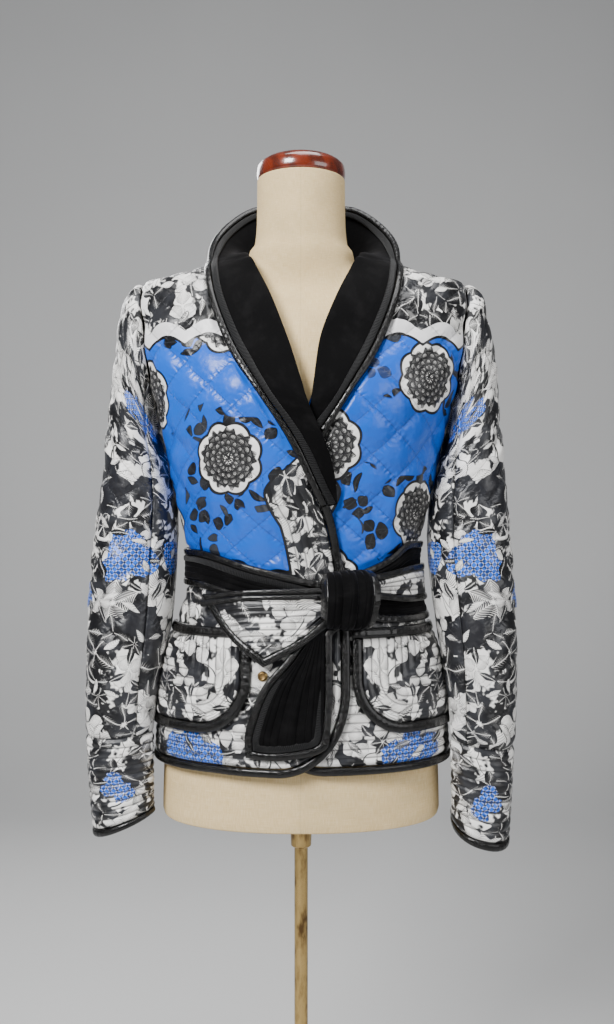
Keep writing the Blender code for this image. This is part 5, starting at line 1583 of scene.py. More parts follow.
def print_fields(
    count: int, blue: Values = NO_PATCH, lattice: Values = NO_PATCH, coal: Values = NO_PATCH
) -> Array:
    """The print's three distances, in millimetres, for each point."""
    rows = [np.broadcast_to(np.asarray(value, float), count) for value in (blue, lattice, coal)]
    return np.column_stack(rows) / MM


BORDER_WAVE = 0.052
YOKE_Z, YOKE_RISE = 1.182, 0.012
BLUE_LOW_Z, BLUE_LOW_RISE = 0.926, 0.01
RIBBON = 0.016


def borders(points: Array) -> tuple[Array, Array]:
    """How far points lie inside the blue between its scalloped borders, and in the ribbon above."""
    run, height = points[:, 0], points[:, 1]
    yoke = YOKE_Z + YOKE_RISE * np.abs(np.sin((run + BORDER_WAVE / 2) * math.pi / BORDER_WAVE))
    low = BLUE_LOW_Z + BLUE_LOW_RISE * np.abs(np.sin(run * math.pi / BORDER_WAVE))
    return np.minimum(height - low, yoke - height), np.minimum(height - yoke, yoke + RIBBON - height)


def covered(points: Array, covers: Sequence[Array], reach: float = 0.006) -> Array:
    """0 under the pieces that lie on a panel, and 1 from a little way beside them."""
    ease = np.ones(len(points))
    for cover in covers:
        low, high = cover.min(axis=0) - reach, cover.max(axis=0) + reach
        near = ((points > low) & (points < high)).all(axis=1)
        if near.any():
            ease[near] = np.minimum(ease[near], ramp(-signed_inside(points[near], cover), 0.0, reach))
    return ease


SIDE_X = 0.16
BELT_EDGE = 0.0085
BELT_WALL = 0.0026
BELT_LIFT = 0.0064
BELT_LAYER_GAP = 0.0018
BELT_SIDE_GAP = 0.0023
TIE_END_LIFT = 0.0057
TAIL_LIFT = 0.0081
KNOT_RADIUS = 0.034
GIMP_WIDTH = 0.007
VELVET_RIGHT_TOP = ((0.034, 0.919), (-0.04, 0.938), (-0.12, 0.959), (-SIDE_X, 0.959))
VELVET_RIGHT_LOW = ((-SIDE_X, 0.915), (-0.12, 0.915), (-0.04, 0.897), (0.034, 0.886))
VELVET_LEFT_TOP = ((SIDE_X, 0.968), (0.118, 0.968), (0.09, 0.948), (0.056, 0.934))
VELVET_LEFT_LOW = ((0.056, 0.884), (0.09, 0.876), (0.118, 0.8745), (SIDE_X, 0.8745))
PRINT_LEFT_TOP = ((SIDE_X, 0.9405), (0.12, 0.9405), (0.078, 0.932), (0.06, 0.93))
PRINT_LEFT_LOW = ((0.06, 0.905), (0.0837, 0.9006), (0.12, 0.895), (SIDE_X, 0.895))
BACK_LOW = ((-1.0, 0.915), (-0.15, 0.915), (0.0, 0.904), (0.14, 0.885), (1.0, 0.885))
BACK_TOP = ((1.0, 0.956), (0.14, 0.956), (0.0, 0.948), (-0.15, 0.959), (-1.0, 0.959))
TIE_END = (
    (0.03, 0.918), (-0.051, 0.9153), (-0.105, 0.9057), (-0.0737, 0.859), (-0.0394, 0.8308),
    (0.0033, 0.854), (0.034, 0.88),
)
TAIL = (
    (0.006, 0.872), (-0.0133, 0.844), (-0.041, 0.81), (-0.052, 0.7836), (-0.059, 0.757), (-0.058, 0.7367),
    (-0.0335, 0.7346), (0.0134, 0.741), (0.0273, 0.7516), (0.0305, 0.7815), (0.0315, 0.812),
    (0.0315, 0.862), (0.046, 0.875),
)
SNAP_PLACE = (-0.0414, 0.8215)
COLLAR = table(
    Station,
    (0.0003, 1.2999, 0.0705, 0.0003, 1.392, 0.1), (0.03, 1.3001, 0.066, 0.056, 1.387, 0.086),
    (0.056, 1.3008, 0.0485, 0.096, 1.357, 0.054), (0.07, 1.3025, 0.0145, 0.113, 1.324, 0.022),
    (0.065, 1.303, -0.02, 0.116, 1.295, -0.014), (0.0555, 1.281, -0.064, 0.1085, 1.249, -0.08),
    (0.037, 1.24, None, 0.095, 1.207, None), (0.0165, 1.184, None, 0.0765, 1.1655, None),
)
COLLAR_RIGHT = COLLAR + table(
    Station,
    (-0.0025, 1.125, None, 0.0555, 1.133, None), (-0.0145, 1.098, None, 0.03, 1.0985, None),
    (-0.025, 1.073, None, 0.0085, 1.064, None), (-0.0335, 1.04, None, -0.0053, 1.036, None),
    (-0.0362, 1.012, None, -0.019, 1.0065, None),
)
COLLAR_LEFT = COLLAR + table(
    Station,
    (0.0085, 1.125, None, 0.0555, 1.133, None), (0.004, 1.093, None, 0.0265, 1.087, None),
    (0.004, 1.073, None, 0.016, 1.067, None),
)


@dataclass(frozen=True)
class PocketSizes:
    """The patch pocket's sizes, drawn on the right front."""

    top_z: float = 0.872
    low_z: float = 0.7575
    front_x: float = 0.0535
    radius: float = 0.062
    band: float = 0.0115
    pitch: float = 0.0092
    rise: float = 0.0015
    lift: float = WALL + LAYER_GAP + 0.0011

    def side_run(self, height: float) -> float:
        """The run of the pocket's side edge at a height."""
        run = JACKET.run_at(np.array([math.pi / 2]), np.array([height]))[0]
        return -float(run) + SEAM_GAP * 0.65 + 0.004

    def path(self, inset: float, top: float | None = None, count: int = 22) -> Array:
        """The curved edge from its top at the front to the side, moved in by an inset."""
        front = -float(JACKET.front_flat([(self.front_x, self.top_z)])[0][0]) - inset
        low = self.low_z + inset
        radius = max(self.radius - inset, 0.006)
        angles = np.radians(np.linspace(90, 0, count))
        middle = (front - radius, low + radius)
        corner = quarter_round(middle, (radius, radius), angles)
        start = (front, self.top_z if top is None else top)
        return np.vstack([[start], corner, [(self.side_run(low), low)]])

    def outline(self, inset: float) -> Array:
        """The whole outline, moved in by an inset."""
        top = self.top_z - inset
        return np.vstack([self.path(inset, top), [(self.side_run(top), top)]])


POCKET = PocketSizes()


def front_covers(side: Side) -> list[Array]:
    """The outlines of what lies on a front, in the right front's coordinates."""
    edge = [(-station.edge_x, station.edge_z) for station in COLLAR_LEFT[5:] + COLLAR_RIGHT[-2:]]
    inner = [(0.04, 1.01), (0.035, 1.07), (0.01, 1.12), (-0.06, 1.29)]
    collar = JACKET.front_flat([(-0.105, 1.275), *edge, *inner])
    covers = [POCKET.outline(0.0), collar]
    if side is Side.RIGHT:
        covers.append(JACKET.front_flat(VELVET_RIGHT_TOP + VELVET_RIGHT_LOW))
        covers.append(JACKET.front_flat(TIE_END))
        covers.append(JACKET.front_flat(TAIL))
        turns = np.radians(np.arange(0, 360, 40))
        ring = 0.008 * np.column_stack([np.cos(turns), np.sin(turns)])
        covers.append(JACKET.front_flat([SNAP_PLACE]) + ring)
        return covers
    covers.append(JACKET.front_flat(VELVET_LEFT_TOP + VELVET_LEFT_LOW) * (-1, 1))
    lap = JACKET.front_flat(front_edge_places()[::6]) * (-1, 1) - (BINDING_WIDTH, 0)
    covers.append(np.vstack([lap, [(0.12, 1.3), (0.12, 0.7)]]))
    return covers


@dataclass
class JacketBody:
    """The back and both fronts of the jacket with the leather bound round their edges."""

    finishes: Finishes
    fine: float = 0.00157
    step: float = 0.0034
    edge_columns: int = 36
    edge_pitch: float = 0.0016
    front_folds: tuple[Crease, ...] = table(
        Crease,
        ((-0.036, 0.962), (-0.058, 1.038), 0.006, 0.0022, 0.004),
        ((-0.066, 0.966), (-0.082, 1.02), 0.0055, -0.002, -0.003),
        ((-0.098, 0.968), (-0.112, 1.046), 0.007, 0.0025, 0.005),
        ((-0.132, 0.968), (-0.136, 1.012), 0.006, -0.0019, 0.002),
        ((-0.158, 0.968), (-0.17, 1.032), 0.0075, 0.0021, -0.004),
        ((-0.06, 0.9), (-0.078, 0.846), 0.006, -0.0018, 0.003),
        ((-0.112, 0.914), (-0.124, 0.872), 0.006, 0.002, 0.003),
        ((-0.15, 0.912), (-0.168, 0.846), 0.0075, -0.0022, -0.004),
        ((-0.182, 0.91), (-0.196, 0.862), 0.007, 0.0018, 0.003),
        ((-0.196, 1.092), (-0.128, 1.074), 0.009, -0.0024, 0.006),
        ((-0.19, 1.132), (-0.122, 1.118), 0.008, 0.002, -0.005),
        ((-0.168, 1.2), (-0.116, 1.156), 0.008, -0.0018, 0.006),
        ((-0.204, 0.8), (-0.17, 0.742), 0.01, 0.0014, 0.004),
    )
    back_folds: tuple[Crease, ...] = table(
        Crease,
        ((-0.14, 0.966), (-0.15, 1.036), 0.0075, 0.0024, 0.004),
        ((-0.094, 0.964), (-0.088, 1.012), 0.006, -0.002, 0.002),
        ((-0.052, 0.966), (-0.044, 1.054), 0.0075, 0.0022, -0.004),
        ((0.008, 0.966), (0.004, 1.006), 0.006, -0.0018, 0.002),
        ((0.06, 0.966), (0.07, 1.04), 0.007, 0.0024, 0.004),
        ((0.104, 0.966), (0.1, 1.018), 0.006, -0.0021, -0.002),
        ((0.15, 0.964), (0.162, 1.048), 0.008, 0.0022, 0.005),
        ((-0.12, 0.894), (-0.134, 0.842), 0.007, -0.0022, 0.003),
        ((-0.07, 0.894), (-0.076, 0.858), 0.006, 0.0018, 0.002),
        ((-0.014, 0.892), (-0.02, 0.826), 0.0075, -0.002, 0.004),
        ((0.044, 0.886), (0.05, 0.846), 0.006, 0.0019, 0.003),
        ((0.096, 0.882), (0.112, 0.818), 0.008, -0.0023, -0.004),
        ((-0.17, 1.146), (-0.098, 1.118), 0.01, -0.0024, 0.007),
        ((0.174, 1.156), (0.092, 1.124), 0.01, -0.0022, -0.008),
        ((-0.15, 1.216), (-0.088, 1.19), 0.009, 0.0018, 0.006),
        ((0.146, 1.21), (0.09, 1.196), 0.009, 0.0018, -0.006),
    )

    def build(self) -> None:
        """Builds the three panels and their bindings."""
        for side in Side:
            self.front(side)
        self.back()

    def front_lattice(self) -> tuple[Array, Array]:
        """The right front's lattice of flat points, and its front edge with the hem before it."""
        edge = JACKET.front_flat(front_edge_places())
        heights = panel_heights(self.fine, self.step)
        outer = -outer_run(heights, False) + SEAM_GAP * 0.4
        right = np.interp(heights, edge[:, 1], edge[:, 0])
        right = np.maximum(right, outer + 0.01)
        width = right - outer
        near = np.arange(self.edge_columns + 1) * self.edge_pitch
        scale = np.minimum(1.0, 0.5 * width / near[-1])
        beside = right[:, None] - near[None, ::-1] * scale[:, None]
        rest = round(0.205 / (self.step * 1.05))
        share = np.linspace(0, 1, rest + 1)[:-1]
        side = outer[:, None] * (1 - share) + beside[:, :1] * share
        runs = np.hstack([side, beside])
        flat = flat_lattice(runs, heights)
        path = np.vstack([[(outer[0], PANEL_FOOT_Z)], edge])
        return flat, path

    def front(self, side: Side) -> None:
        """One front panel with its binding; it is drawn as the right one and mirrored."""
        flat, path = self.front_lattice()
        points = flat.reshape(-1, 2)
        distance = distance_to(points, path[path[:, 1] <= BREAK_Z + 0.002])
        reach = QUILTING.front_channels * QUILTING.channel
        column = (distance < reach) & (points[:, 1] < BREAK_Z + 0.01)
        chosen = column | (points[:, 1] < HEM_BAND_Z - 1e-5)
        climb = JACKET.climb(points[:, 1])
        drawn = np.column_stack([points[:, 0], climb])
        field_zone = diamond_zone(drawn, (-0.046, QUILTING.start_z))
        beyond = np.where(points[:, 1] < BREAK_Z + 0.01, distance - reach, 1.0)
        border = np.minimum(beyond, points[:, 1] - HEM_BAND_Z)
        bands = channel_zone(distance, QUILTING.channel, QUILTING.channel_rise)
        ease = covered(points, front_covers(side))
        ease = ease * np.where(chosen, 1.0, ramp(border, 0.0, 0.007))
        blue, ribbon = borders(points)
        gap = distance_to(points, path)
        column_width = 0.0475 * ramp(points[:, 1], 1.075, 1.02)
        blue = np.minimum(blue, gap - column_width + 0.001)
        knots = [(-0.128, 0.722, 0.019), (-0.104, 0.734, 0.017)]
        knots += [(-0.152, 0.738, 0.016), (-0.126, 0.752, 0.014)]
        moved = 0.0 if side is Side.RIGHT else 0.061
        cut = Cut(
            flat=flat * side.mirror,
            zones=[field_zone, bands],
            chosen=chosen,
            ease=ease,
            folds=folded(points, self.front_folds) * ramp(gap, 0.012, 0.05),
            print_zones=print_fields(len(points), blue, patches(drawn, knots)),
            cloth=drawn + (moved, moved),
            bare=ribbon,
        )
        base, quilted = UNDER[side](points), self.finishes.quilted
        made = make_cloth("front_panel_" + side.word, cut, front_place, base, WALL, quilted, PANEL_ROLL)
        dress(made.piece, "printed_satin", "front_" + side.word)
        binding = self.front_binding(side, path)

    def front_binding(self, side: Side, path: Array) -> Piece:
        """The leather along the hem, round the corner and up to the collar's foot."""
        start = np.array([[path[0, 0] + 0.0004, path[0, 1]]])
        hem_line = np.linspace(start[0], path[1], 12)[:-1]
        edge, band = path[1:], BINDING
        if side is Side.RIGHT:
            edge = edge[edge[:, 1] <= COLLAR_FOOT_Z + 0.011]
        else:
            edge = edge[: int(np.argmax(edge[:, 0] > 0.018))]
            band = Band(-BINDING.outer, -BINDING.inner, BINDING.low, BINDING.high)
        rim = Rim(np.vstack([hem_line, edge]) * side.mirror)
        name, node = "hem_binding_" + side.word, "front_binding_" + side.word
        return make_strip(name, node, rim, band, front_place, UNDER[side], self.finishes.leather)

    def back(self) -> None:
        """The back panel and its binding."""
        heights = panel_heights(self.fine, self.step)
        outer = outer_run(heights, True) - SEAM_GAP * 0.4
        columns = round(2 * 0.235 / (self.step * 1.02))
        runs = outer[:, None] * np.linspace(-1, 1, columns + 1)[None, :]
        flat = flat_lattice(runs, heights)
        points = flat.reshape(-1, 2)
        drawn = np.column_stack([points[:, 0], JACKET.climb(points[:, 1])])
        field_zone = diamond_zone(drawn, (0.0, QUILTING.start_z))
        bands = channel_zone(points[:, 1] - PANEL_FOOT_Z, QUILTING.channel, QUILTING.channel_rise)
        chosen = points[:, 1] < HEM_BAND_Z - 1e-5
        belt = np.array([[-0.3, 0.902], [0.3, 0.882], [0.3, 0.962], [-0.3, 0.966]])
        above = ramp(points[:, 1] - HEM_BAND_Z, 0.0, 0.007)
        ease = covered(points, [belt]) * np.where(chosen, 1.0, above)
        blue, ribbon = borders(points)
        knots = [(-0.178, 0.752, 0.022), (-0.206, 0.776, 0.022)]
        knots += [(-0.18, 0.796, 0.02), (-0.158, 0.774, 0.017)]
        knots += [(-x, y, radius) for x, y, radius in knots]
        knots += [(0.0, 0.752, 0.02), (-0.019, 0.774, 0.017), (0.019, 0.774, 0.017), (0.0, 0.796, 0.018)]
        cut = Cut(
            flat=flat,
            zones=[field_zone, bands],
            chosen=chosen,
            ease=ease,
            folds=folded(points, self.back_folds),
            print_zones=print_fields(len(points), blue, patches(drawn, knots)),
            cloth=drawn,
            bare=ribbon,
        )
        made = make_cloth("back_panel", cut, back_place, 0.0, WALL, self.finishes.quilted, PANEL_ROLL)
        dress(made.piece, "printed_satin", "back")
        reach = float(outer[0]) - 0.0004
        rim = Rim(np.column_stack([np.linspace(-reach, reach, 40), np.full(40, PANEL_FOOT_Z)]))
        leather = self.finishes.leather
        binding = make_strip("hem_binding_back", "back_binding", rim, BINDING, back_place, 0.0, leather)


SLEEVE_GIRTH = 0.3
SLEEVE_RADIUS = SLEEVE_GIRTH / (2 * math.pi)
SLEEVE_STANDOFF = 0.0032
RIGHT_SLEEVE = table(
    Ring,
    (0.186, 1.2665, 0.168, 1.106, 0.056, 0.002, 0.0), (0.1965, 1.266, 0.17, 1.1, 0.057, 0.002, 0.0),
    (0.205, 1.249, 0.17, 1.095, 0.057, 0.002, 0.0), (0.211, 1.2225, 0.168, 1.09, 0.057, 0.001, 0.0),
    (0.214, 1.193, 0.166, 1.084, 0.056, 0.0, 0.0), (0.219, 1.151, 0.163, 1.074, 0.055, -0.002, 0.0),
    (0.223, 1.11, 0.158, 1.06, 0.054, -0.005, 0.0), (0.2265, 1.06, 0.151, 1.035, 0.053, -0.008, 0.0),
    (0.233, 1.01, 0.147, 1.0, 0.051, -0.011, 0.0), (0.24, 0.96, 0.1475, 0.957, 0.049, -0.014, 0.0),
    (0.2435, 0.91, 0.1495, 0.908, 0.047, -0.018, 0.0), (0.245, 0.86, 0.1545, 0.86, 0.045, -0.022, 0.001),
    (0.2455, 0.81, 0.162, 0.811, 0.043, -0.026, 0.002),
    (0.246, 0.745, 0.1665, 0.75, 0.041, -0.028, 0.002),
)
LEFT_SLEEVE = table(
    Ring,
    (0.193, 1.266, 0.172, 1.106, 0.056, 0.002, 0.0), (0.204, 1.265, 0.174, 1.1, 0.058, 0.002, 0.0),
    (0.2118, 1.256, 0.174, 1.095, 0.058, 0.002, 0.0), (0.2155, 1.23, 0.172, 1.09, 0.058, 0.001, 0.0),
    (0.2236, 1.195, 0.17, 1.084, 0.058, 0.0, 0.0), (0.228, 1.151, 0.167, 1.074, 0.057, -0.002, 0.0),
    (0.2295, 1.111, 0.162, 1.06, 0.056, -0.005, 0.0), (0.2335, 1.064, 0.156, 1.035, 0.055, -0.008, 0.0),
    (0.238, 1.015, 0.152, 1.0, 0.053, -0.011, 0.0), (0.2425, 0.96, 0.151, 0.957, 0.051, -0.014, 0.0),
    (0.2462, 0.91, 0.155, 0.908, 0.049, -0.018, 0.0), (0.2474, 0.86, 0.1615, 0.86, 0.047, -0.022, 0.002),
    (0.2465, 0.8, 0.166, 0.805, 0.045, -0.026, 0.004),
    (0.244, 0.733, 0.1685, 0.745, 0.043, -0.028, 0.005),
)
RIGHT_CUFF = table(
    Ring,
    (0.246, 0.745, 0.1665, 0.75, 0.041, -0.028, 0.002),
    (0.243, 0.696, 0.166, 0.705, 0.0395, -0.03, 0.003),
    (0.2375, 0.64, 0.167, 0.666, 0.038, -0.033, 0.003),
)
LEFT_CUFF = table(
    Ring,
    (0.244, 0.733, 0.1685, 0.745, 0.043, -0.028, 0.005),
    (0.2415, 0.688, 0.171, 0.698, 0.0415, -0.03, 0.007),
    (0.2375, 0.633, 0.1765, 0.646, 0.04, -0.033, 0.009),
)


class Tube:
    """A sleeve or cuff through rings, read by the turn from its outer line and the way down it."""

    clearance = 0.0074
    hip_clearance = 0.0115

    def __init__(self, side: Side, rings: Sequence[Ring], from_armhole: bool) -> None:
        """Keeps the rings; a sleeve's first ones blend into the armhole."""
        self.side = side.value
        self.rings = rings
        self.from_armhole = from_armhole
        outer = np.array([[ring.outer_x, ring.outer_z] for ring in rings])
        self.ways = path_lengths(outer)
        self.length = self.ways[-1]

    def centre_point(self, turn: Array, way: Array) -> Array:
        """The tube's surface at turns and ways."""
        names = range(len(self.rings[0]))
        columns = [smooth(way, self.ways, [ring[i] for ring in self.rings]) for i in names]
        outer_x, outer_z, inner_x, inner_z, depth, middle, dip = columns
        out = np.sign(np.cos(turn)) * np.abs(np.cos(turn)) ** 0.9
        fore = np.sign(np.sin(turn)) * np.abs(np.sin(turn)) ** 0.9
        x = (outer_x + inner_x) / 2 + (outer_x - inner_x) / 2 * out
        z = (outer_z + inner_z) / 2 + (outer_z - inner_z) / 2 * out - dip * fore
        y = middle - depth * fore
        point = np.stack(np.broadcast_arrays(x * self.side, y, z), axis=-1)
        index = np.interp(way, self.ways, np.arange(len(self.ways)))
        if self.from_armhole:
            hole_turn, hole_z = armhole(self.side, turn)
            hole = JACKET.point(hole_turn, hole_z) + np.array([self.side * SLEEVE_STANDOFF, 0.0, 0.0])
            share = (1 - ramp(index, 0.0, 2.2))[..., None]
            point = point * (1 - share) + hole * share
        hip = 1 - ramp(point[..., 2], 0.87, 0.92)
        room = self.clearance + (self.hip_clearance - self.clearance) * hip
        if self.from_armhole:
            room = room * ramp(index, 0.0, 1.5)
        return self.kept_clear(point, room)

    def kept_clear(self, point: Array, room: Array) -> Array:
        """The points, moved out of the jacket's body where they would come too near."""
        x, y, z = point[..., 0], point[..., 1], point[..., 2]
        half, front, back, power = JACKET.sizes(z)
        shift = JACKET.shift(z)
        depth = np.where(y < 0, front, back)
        near = (np.abs(x - shift) / (half + room)) ** power + (np.abs(y) / (depth + room)) ** power
        scale = np.where(near < 1, np.maximum(near, 1e-6) ** (-1 / power), 1.0)
        free = ramp(z, JACKET.z[0], JACKET.z[0] + 0.02)
        scale = 1 + (scale - 1) * free
        return np.stack([(x - shift) * scale + shift, y * scale, z], axis=-1)

    def place(self, flat: Array, lift: Array) -> Array:
        """Lays flat points (run round, way down) on the tube at a lift."""
        flat = np.asarray(flat, float)
        turn = flat[:, 0] * 2 * math.pi / SLEEVE_GIRTH
        way = flat[:, 1]
        small = 2e-3
        around = self.centre_point(turn + 0.05, way) - self.centre_point(turn - 0.05, way)
        low = np.maximum(way - small, 0.0)
        high = np.minimum(way + small, self.length)
        down = self.centre_point(turn, high) - self.centre_point(turn, low)
        normal = unit(np.cross(around, down)) * self.side
        return self.centre_point(turn, way) + normal * np.asarray(lift, float)[:, None]


@dataclass
class SleevePair:
    """Both sleeves with their cuffs: a two-piece sleeve gathered at its head, and a bound cuff."""

    finishes: Finishes
    wall: float = 0.003
    front_seam: float = math.radians(118)
    back_seam: float = math.radians(240)
    row_step: float = 0.0034
    columns_round: int = 112
    gather_from: float = -48.0
    gather_pitch: float = 16.0
    gather_rise: float = 0.003
    cuff_pitch: float = 0.01
    folds: tuple[Crease, ...] = table(
        Crease,
        ((-0.058, 0.12), (0.018, 0.196), 0.008, -0.0022, 0.006),
        ((-0.02, 0.168), (0.066, 0.222), 0.0075, 0.0022, -0.005),
        ((-0.074, 0.236), (0.034, 0.262), 0.008, -0.003, 0.006),
        ((-0.04, 0.268), (0.07, 0.252), 0.008, 0.0028, 0.007),
        ((-0.078, 0.3), (0.01, 0.296), 0.007, 0.0024, -0.004),
        ((0.004, 0.3), (0.082, 0.318), 0.0075, -0.0028, 0.005),
        ((-0.052, 0.338), (0.044, 0.352), 0.008, -0.002, -0.006),
        ((-0.076, 0.392), (0.0, 0.42), 0.0085, 0.0018, 0.005),
        ((0.012, 0.412), (0.08, 0.396), 0.008, -0.0018, 0.004),
        ((0.1, 0.06), (0.122, 0.16), 0.008, -0.0022, 0.004),
        ((0.136, 0.082), (0.142, 0.2), 0.0085, 0.0022, -0.005),
        ((0.102, 0.256), (0.176, 0.268), 0.008, -0.0026, 0.005),
        ((0.112, 0.3), (0.19, 0.292), 0.0075, 0.0026, -0.004),
        ((0.104, 0.352), (0.17, 0.372), 0.008, -0.002, 0.004),
    )

    def build(self) -> None:
        """Builds both sleeves and both cuffs."""
        for side in Side:
            self.sleeve(side)
            self.cuff(side)

    def sleeve(self, side: Side) -> None:
        """The upper and the under piece of one sleeve."""
        tube = Tube(side, RIGHT_SLEEVE if side is Side.RIGHT else LEFT_SLEEVE, True)
        pieces = (
            ("upper", self.back_seam - 2 * math.pi, self.front_seam),
            ("under", self.front_seam, self.back_seam),
        )
        for word, start, end in pieces:
            low, high = start * SLEEVE_RADIUS + SEAM_GAP, end * SLEEVE_RADIUS - SEAM_GAP
            columns = round(self.columns_round * (end - start) / (2 * math.pi))
            ways = np.linspace(0.0006, tube.length, round(tube.length / self.row_step))
            runs = np.linspace(low, high, columns + 1)
            flat = flat_lattice(runs, ways)
            points = flat.reshape(-1, 2)
            zone = diamond_zone(points, (0.0, 0.012), 0.92)
            head = ramp(points[:, 1], 0.004, 0.03)
            turned = np.abs(points[:, 0]) / SLEEVE_RADIUS
            pressed = ramp(turned, math.radians(88), math.radians(106))
            folds = folded(points, self.folds) + self.gathers(points)
            shift = 0.0 if side is Side.RIGHT else 0.013
            coal = [(0.03, 0.232 + shift, 0.024), (0.052, 0.252, 0.022), (0.02, 0.268, 0.018)]
            coal += [(0.092, 0.402 + shift, 0.02), (0.108, 0.424, 0.018), (-0.044, 0.254, 0.022)]
            coal += [(-0.06, 0.28, 0.02), (0.145, 0.262, 0.018)]
            knots = [(0.096, 0.098, 0.019), (0.078, 0.118 + shift, 0.017), (0.104, 0.126, 0.018)]
            knots += [(-0.012, 0.166, 0.018), (0.072, 0.318, 0.02), (0.09, 0.334, 0.018)]
            knots += [(0.062, 0.342, 0.017), (0.014, 0.376, 0.015), (-0.062, 0.344, 0.018)]
            knots += [(-0.046, 0.36, 0.015), (0.134, 0.33, 0.02)]
            marks = print_fields(len(points), NO_PATCH, patches(points, knots), patches(points, coal))
            cut = Cut(
                flat=flat,
                zones=[zone],
                ease=head * (1 - 0.75 * pressed),
                folds=folds * (1 - 0.7 * pressed),
                print_zones=marks,
            )
            name = f"sleeve_{word}_piece_{side.word}"
            made = make_cloth(name, cut, tube.place, 0.0, self.wall, self.finishes.quilted, PANEL_ROLL)
            dress(made.piece, "printed_satin", f"sleeve_{word}_{side.word}")

    def gathers(self, points: Array) -> Array:
        """The small gathers where the sleeve's head is eased into the armhole."""
        turn = np.degrees(points[:, 0] / SLEEVE_RADIUS)
        phase = (turn - self.gather_from) / self.gather_pitch
        phase = phase + 0.1 * np.sin(phase * 2.4)
        wave = np.sin(np.pi * phase) ** 2
        uneven = 0.8 + 0.3 * np.sin(phase * 1.9 + 0.6)
        spread_out = ramp(turn, -58, -42) * (1 - ramp(turn, 44, 60))
        reach = 0.03 + 0.008 * np.sin(phase * 2.7)
        along = ramp(points[:, 1], -0.001, 0.009) * (1 - ramp(points[:, 1], reach * 0.35, reach))
        return self.gather_rise * (wave - 0.25) * uneven * spread_out * along

    def cuff(self, side: Side) -> None:
        """One cuff, quilted in level channels, and the leather bound round its hem."""
        rings = RIGHT_CUFF if side is Side.RIGHT else LEFT_CUFF
        tube = Tube(side, rings, False)
        seam = math.radians(200)
        low = (seam - 2 * math.pi) * SLEEVE_RADIUS + SEAM_GAP * 0.4
        high = seam * SLEEVE_RADIUS - SEAM_GAP * 0.4
        start = 0.0004
        count = int((tube.length - start) / self.cuff_pitch)
        pitch = (tube.length - start) / count
        ways = np.linspace(start, tube.length, count * 7 + 1)
        runs = np.linspace(low, high, 84)
        flat = flat_lattice(runs, ways)
        points = flat.reshape(-1, 2)
        zone = channel_zone(points[:, 1] - start, pitch, 0.0017)
        soft = table(
            Crease,
            ((-0.06, 0.02), (-0.02, 0.08), 0.01, -0.0018, 0.004),
            ((0.03, 0.01), (0.052, 0.09), 0.009, 0.0016, -0.004),
        )
        knots = [(-0.02, 0.04, 0.013), (-0.006, 0.052, 0.012)]
        knots += [(-0.02, 0.064, 0.012), (-0.034, 0.052, 0.011)]
        knots += [(0.066, 0.052, 0.015), (0.08, 0.064, 0.013)]
        cut = Cut(
            flat=flat,
            zones=[zone],
            folds=folded(points, soft),
            print_zones=print_fields(len(points), lattice=patches(points, knots)),
        )
        quilted = self.finishes.quilted
        made = make_cloth("cuff_piece_" + side.word, cut, tube.place, 0.0, WALL, quilted, SMALL_ROLL)
        dress(made.piece, "printed_satin", "cuff_" + side.word)
        last, before = rings[-1], rings[-2]
        run = math.dist((last.outer_x, last.outer_z), (before.outer_x, before.outer_z))
        beyond = Ring(*(end + (end - start_of) * 0.02 / run for start_of, end in zip(before, last)))
        longer = Tube(side, (*rings, beyond), False)
        line = np.column_stack([np.linspace(low, high, 60), np.full(60, tube.length)])
        band = Band(-BINDING_WIDTH, -SEAM_GAP * 0.4, -0.0022, 0.0032)
        name, node = "cuff_leather_" + side.word, "cuff_binding_" + side.word
        binding = make_strip(name, node, Rim(line), band, longer.place, 0.0, self.finishes.leather)


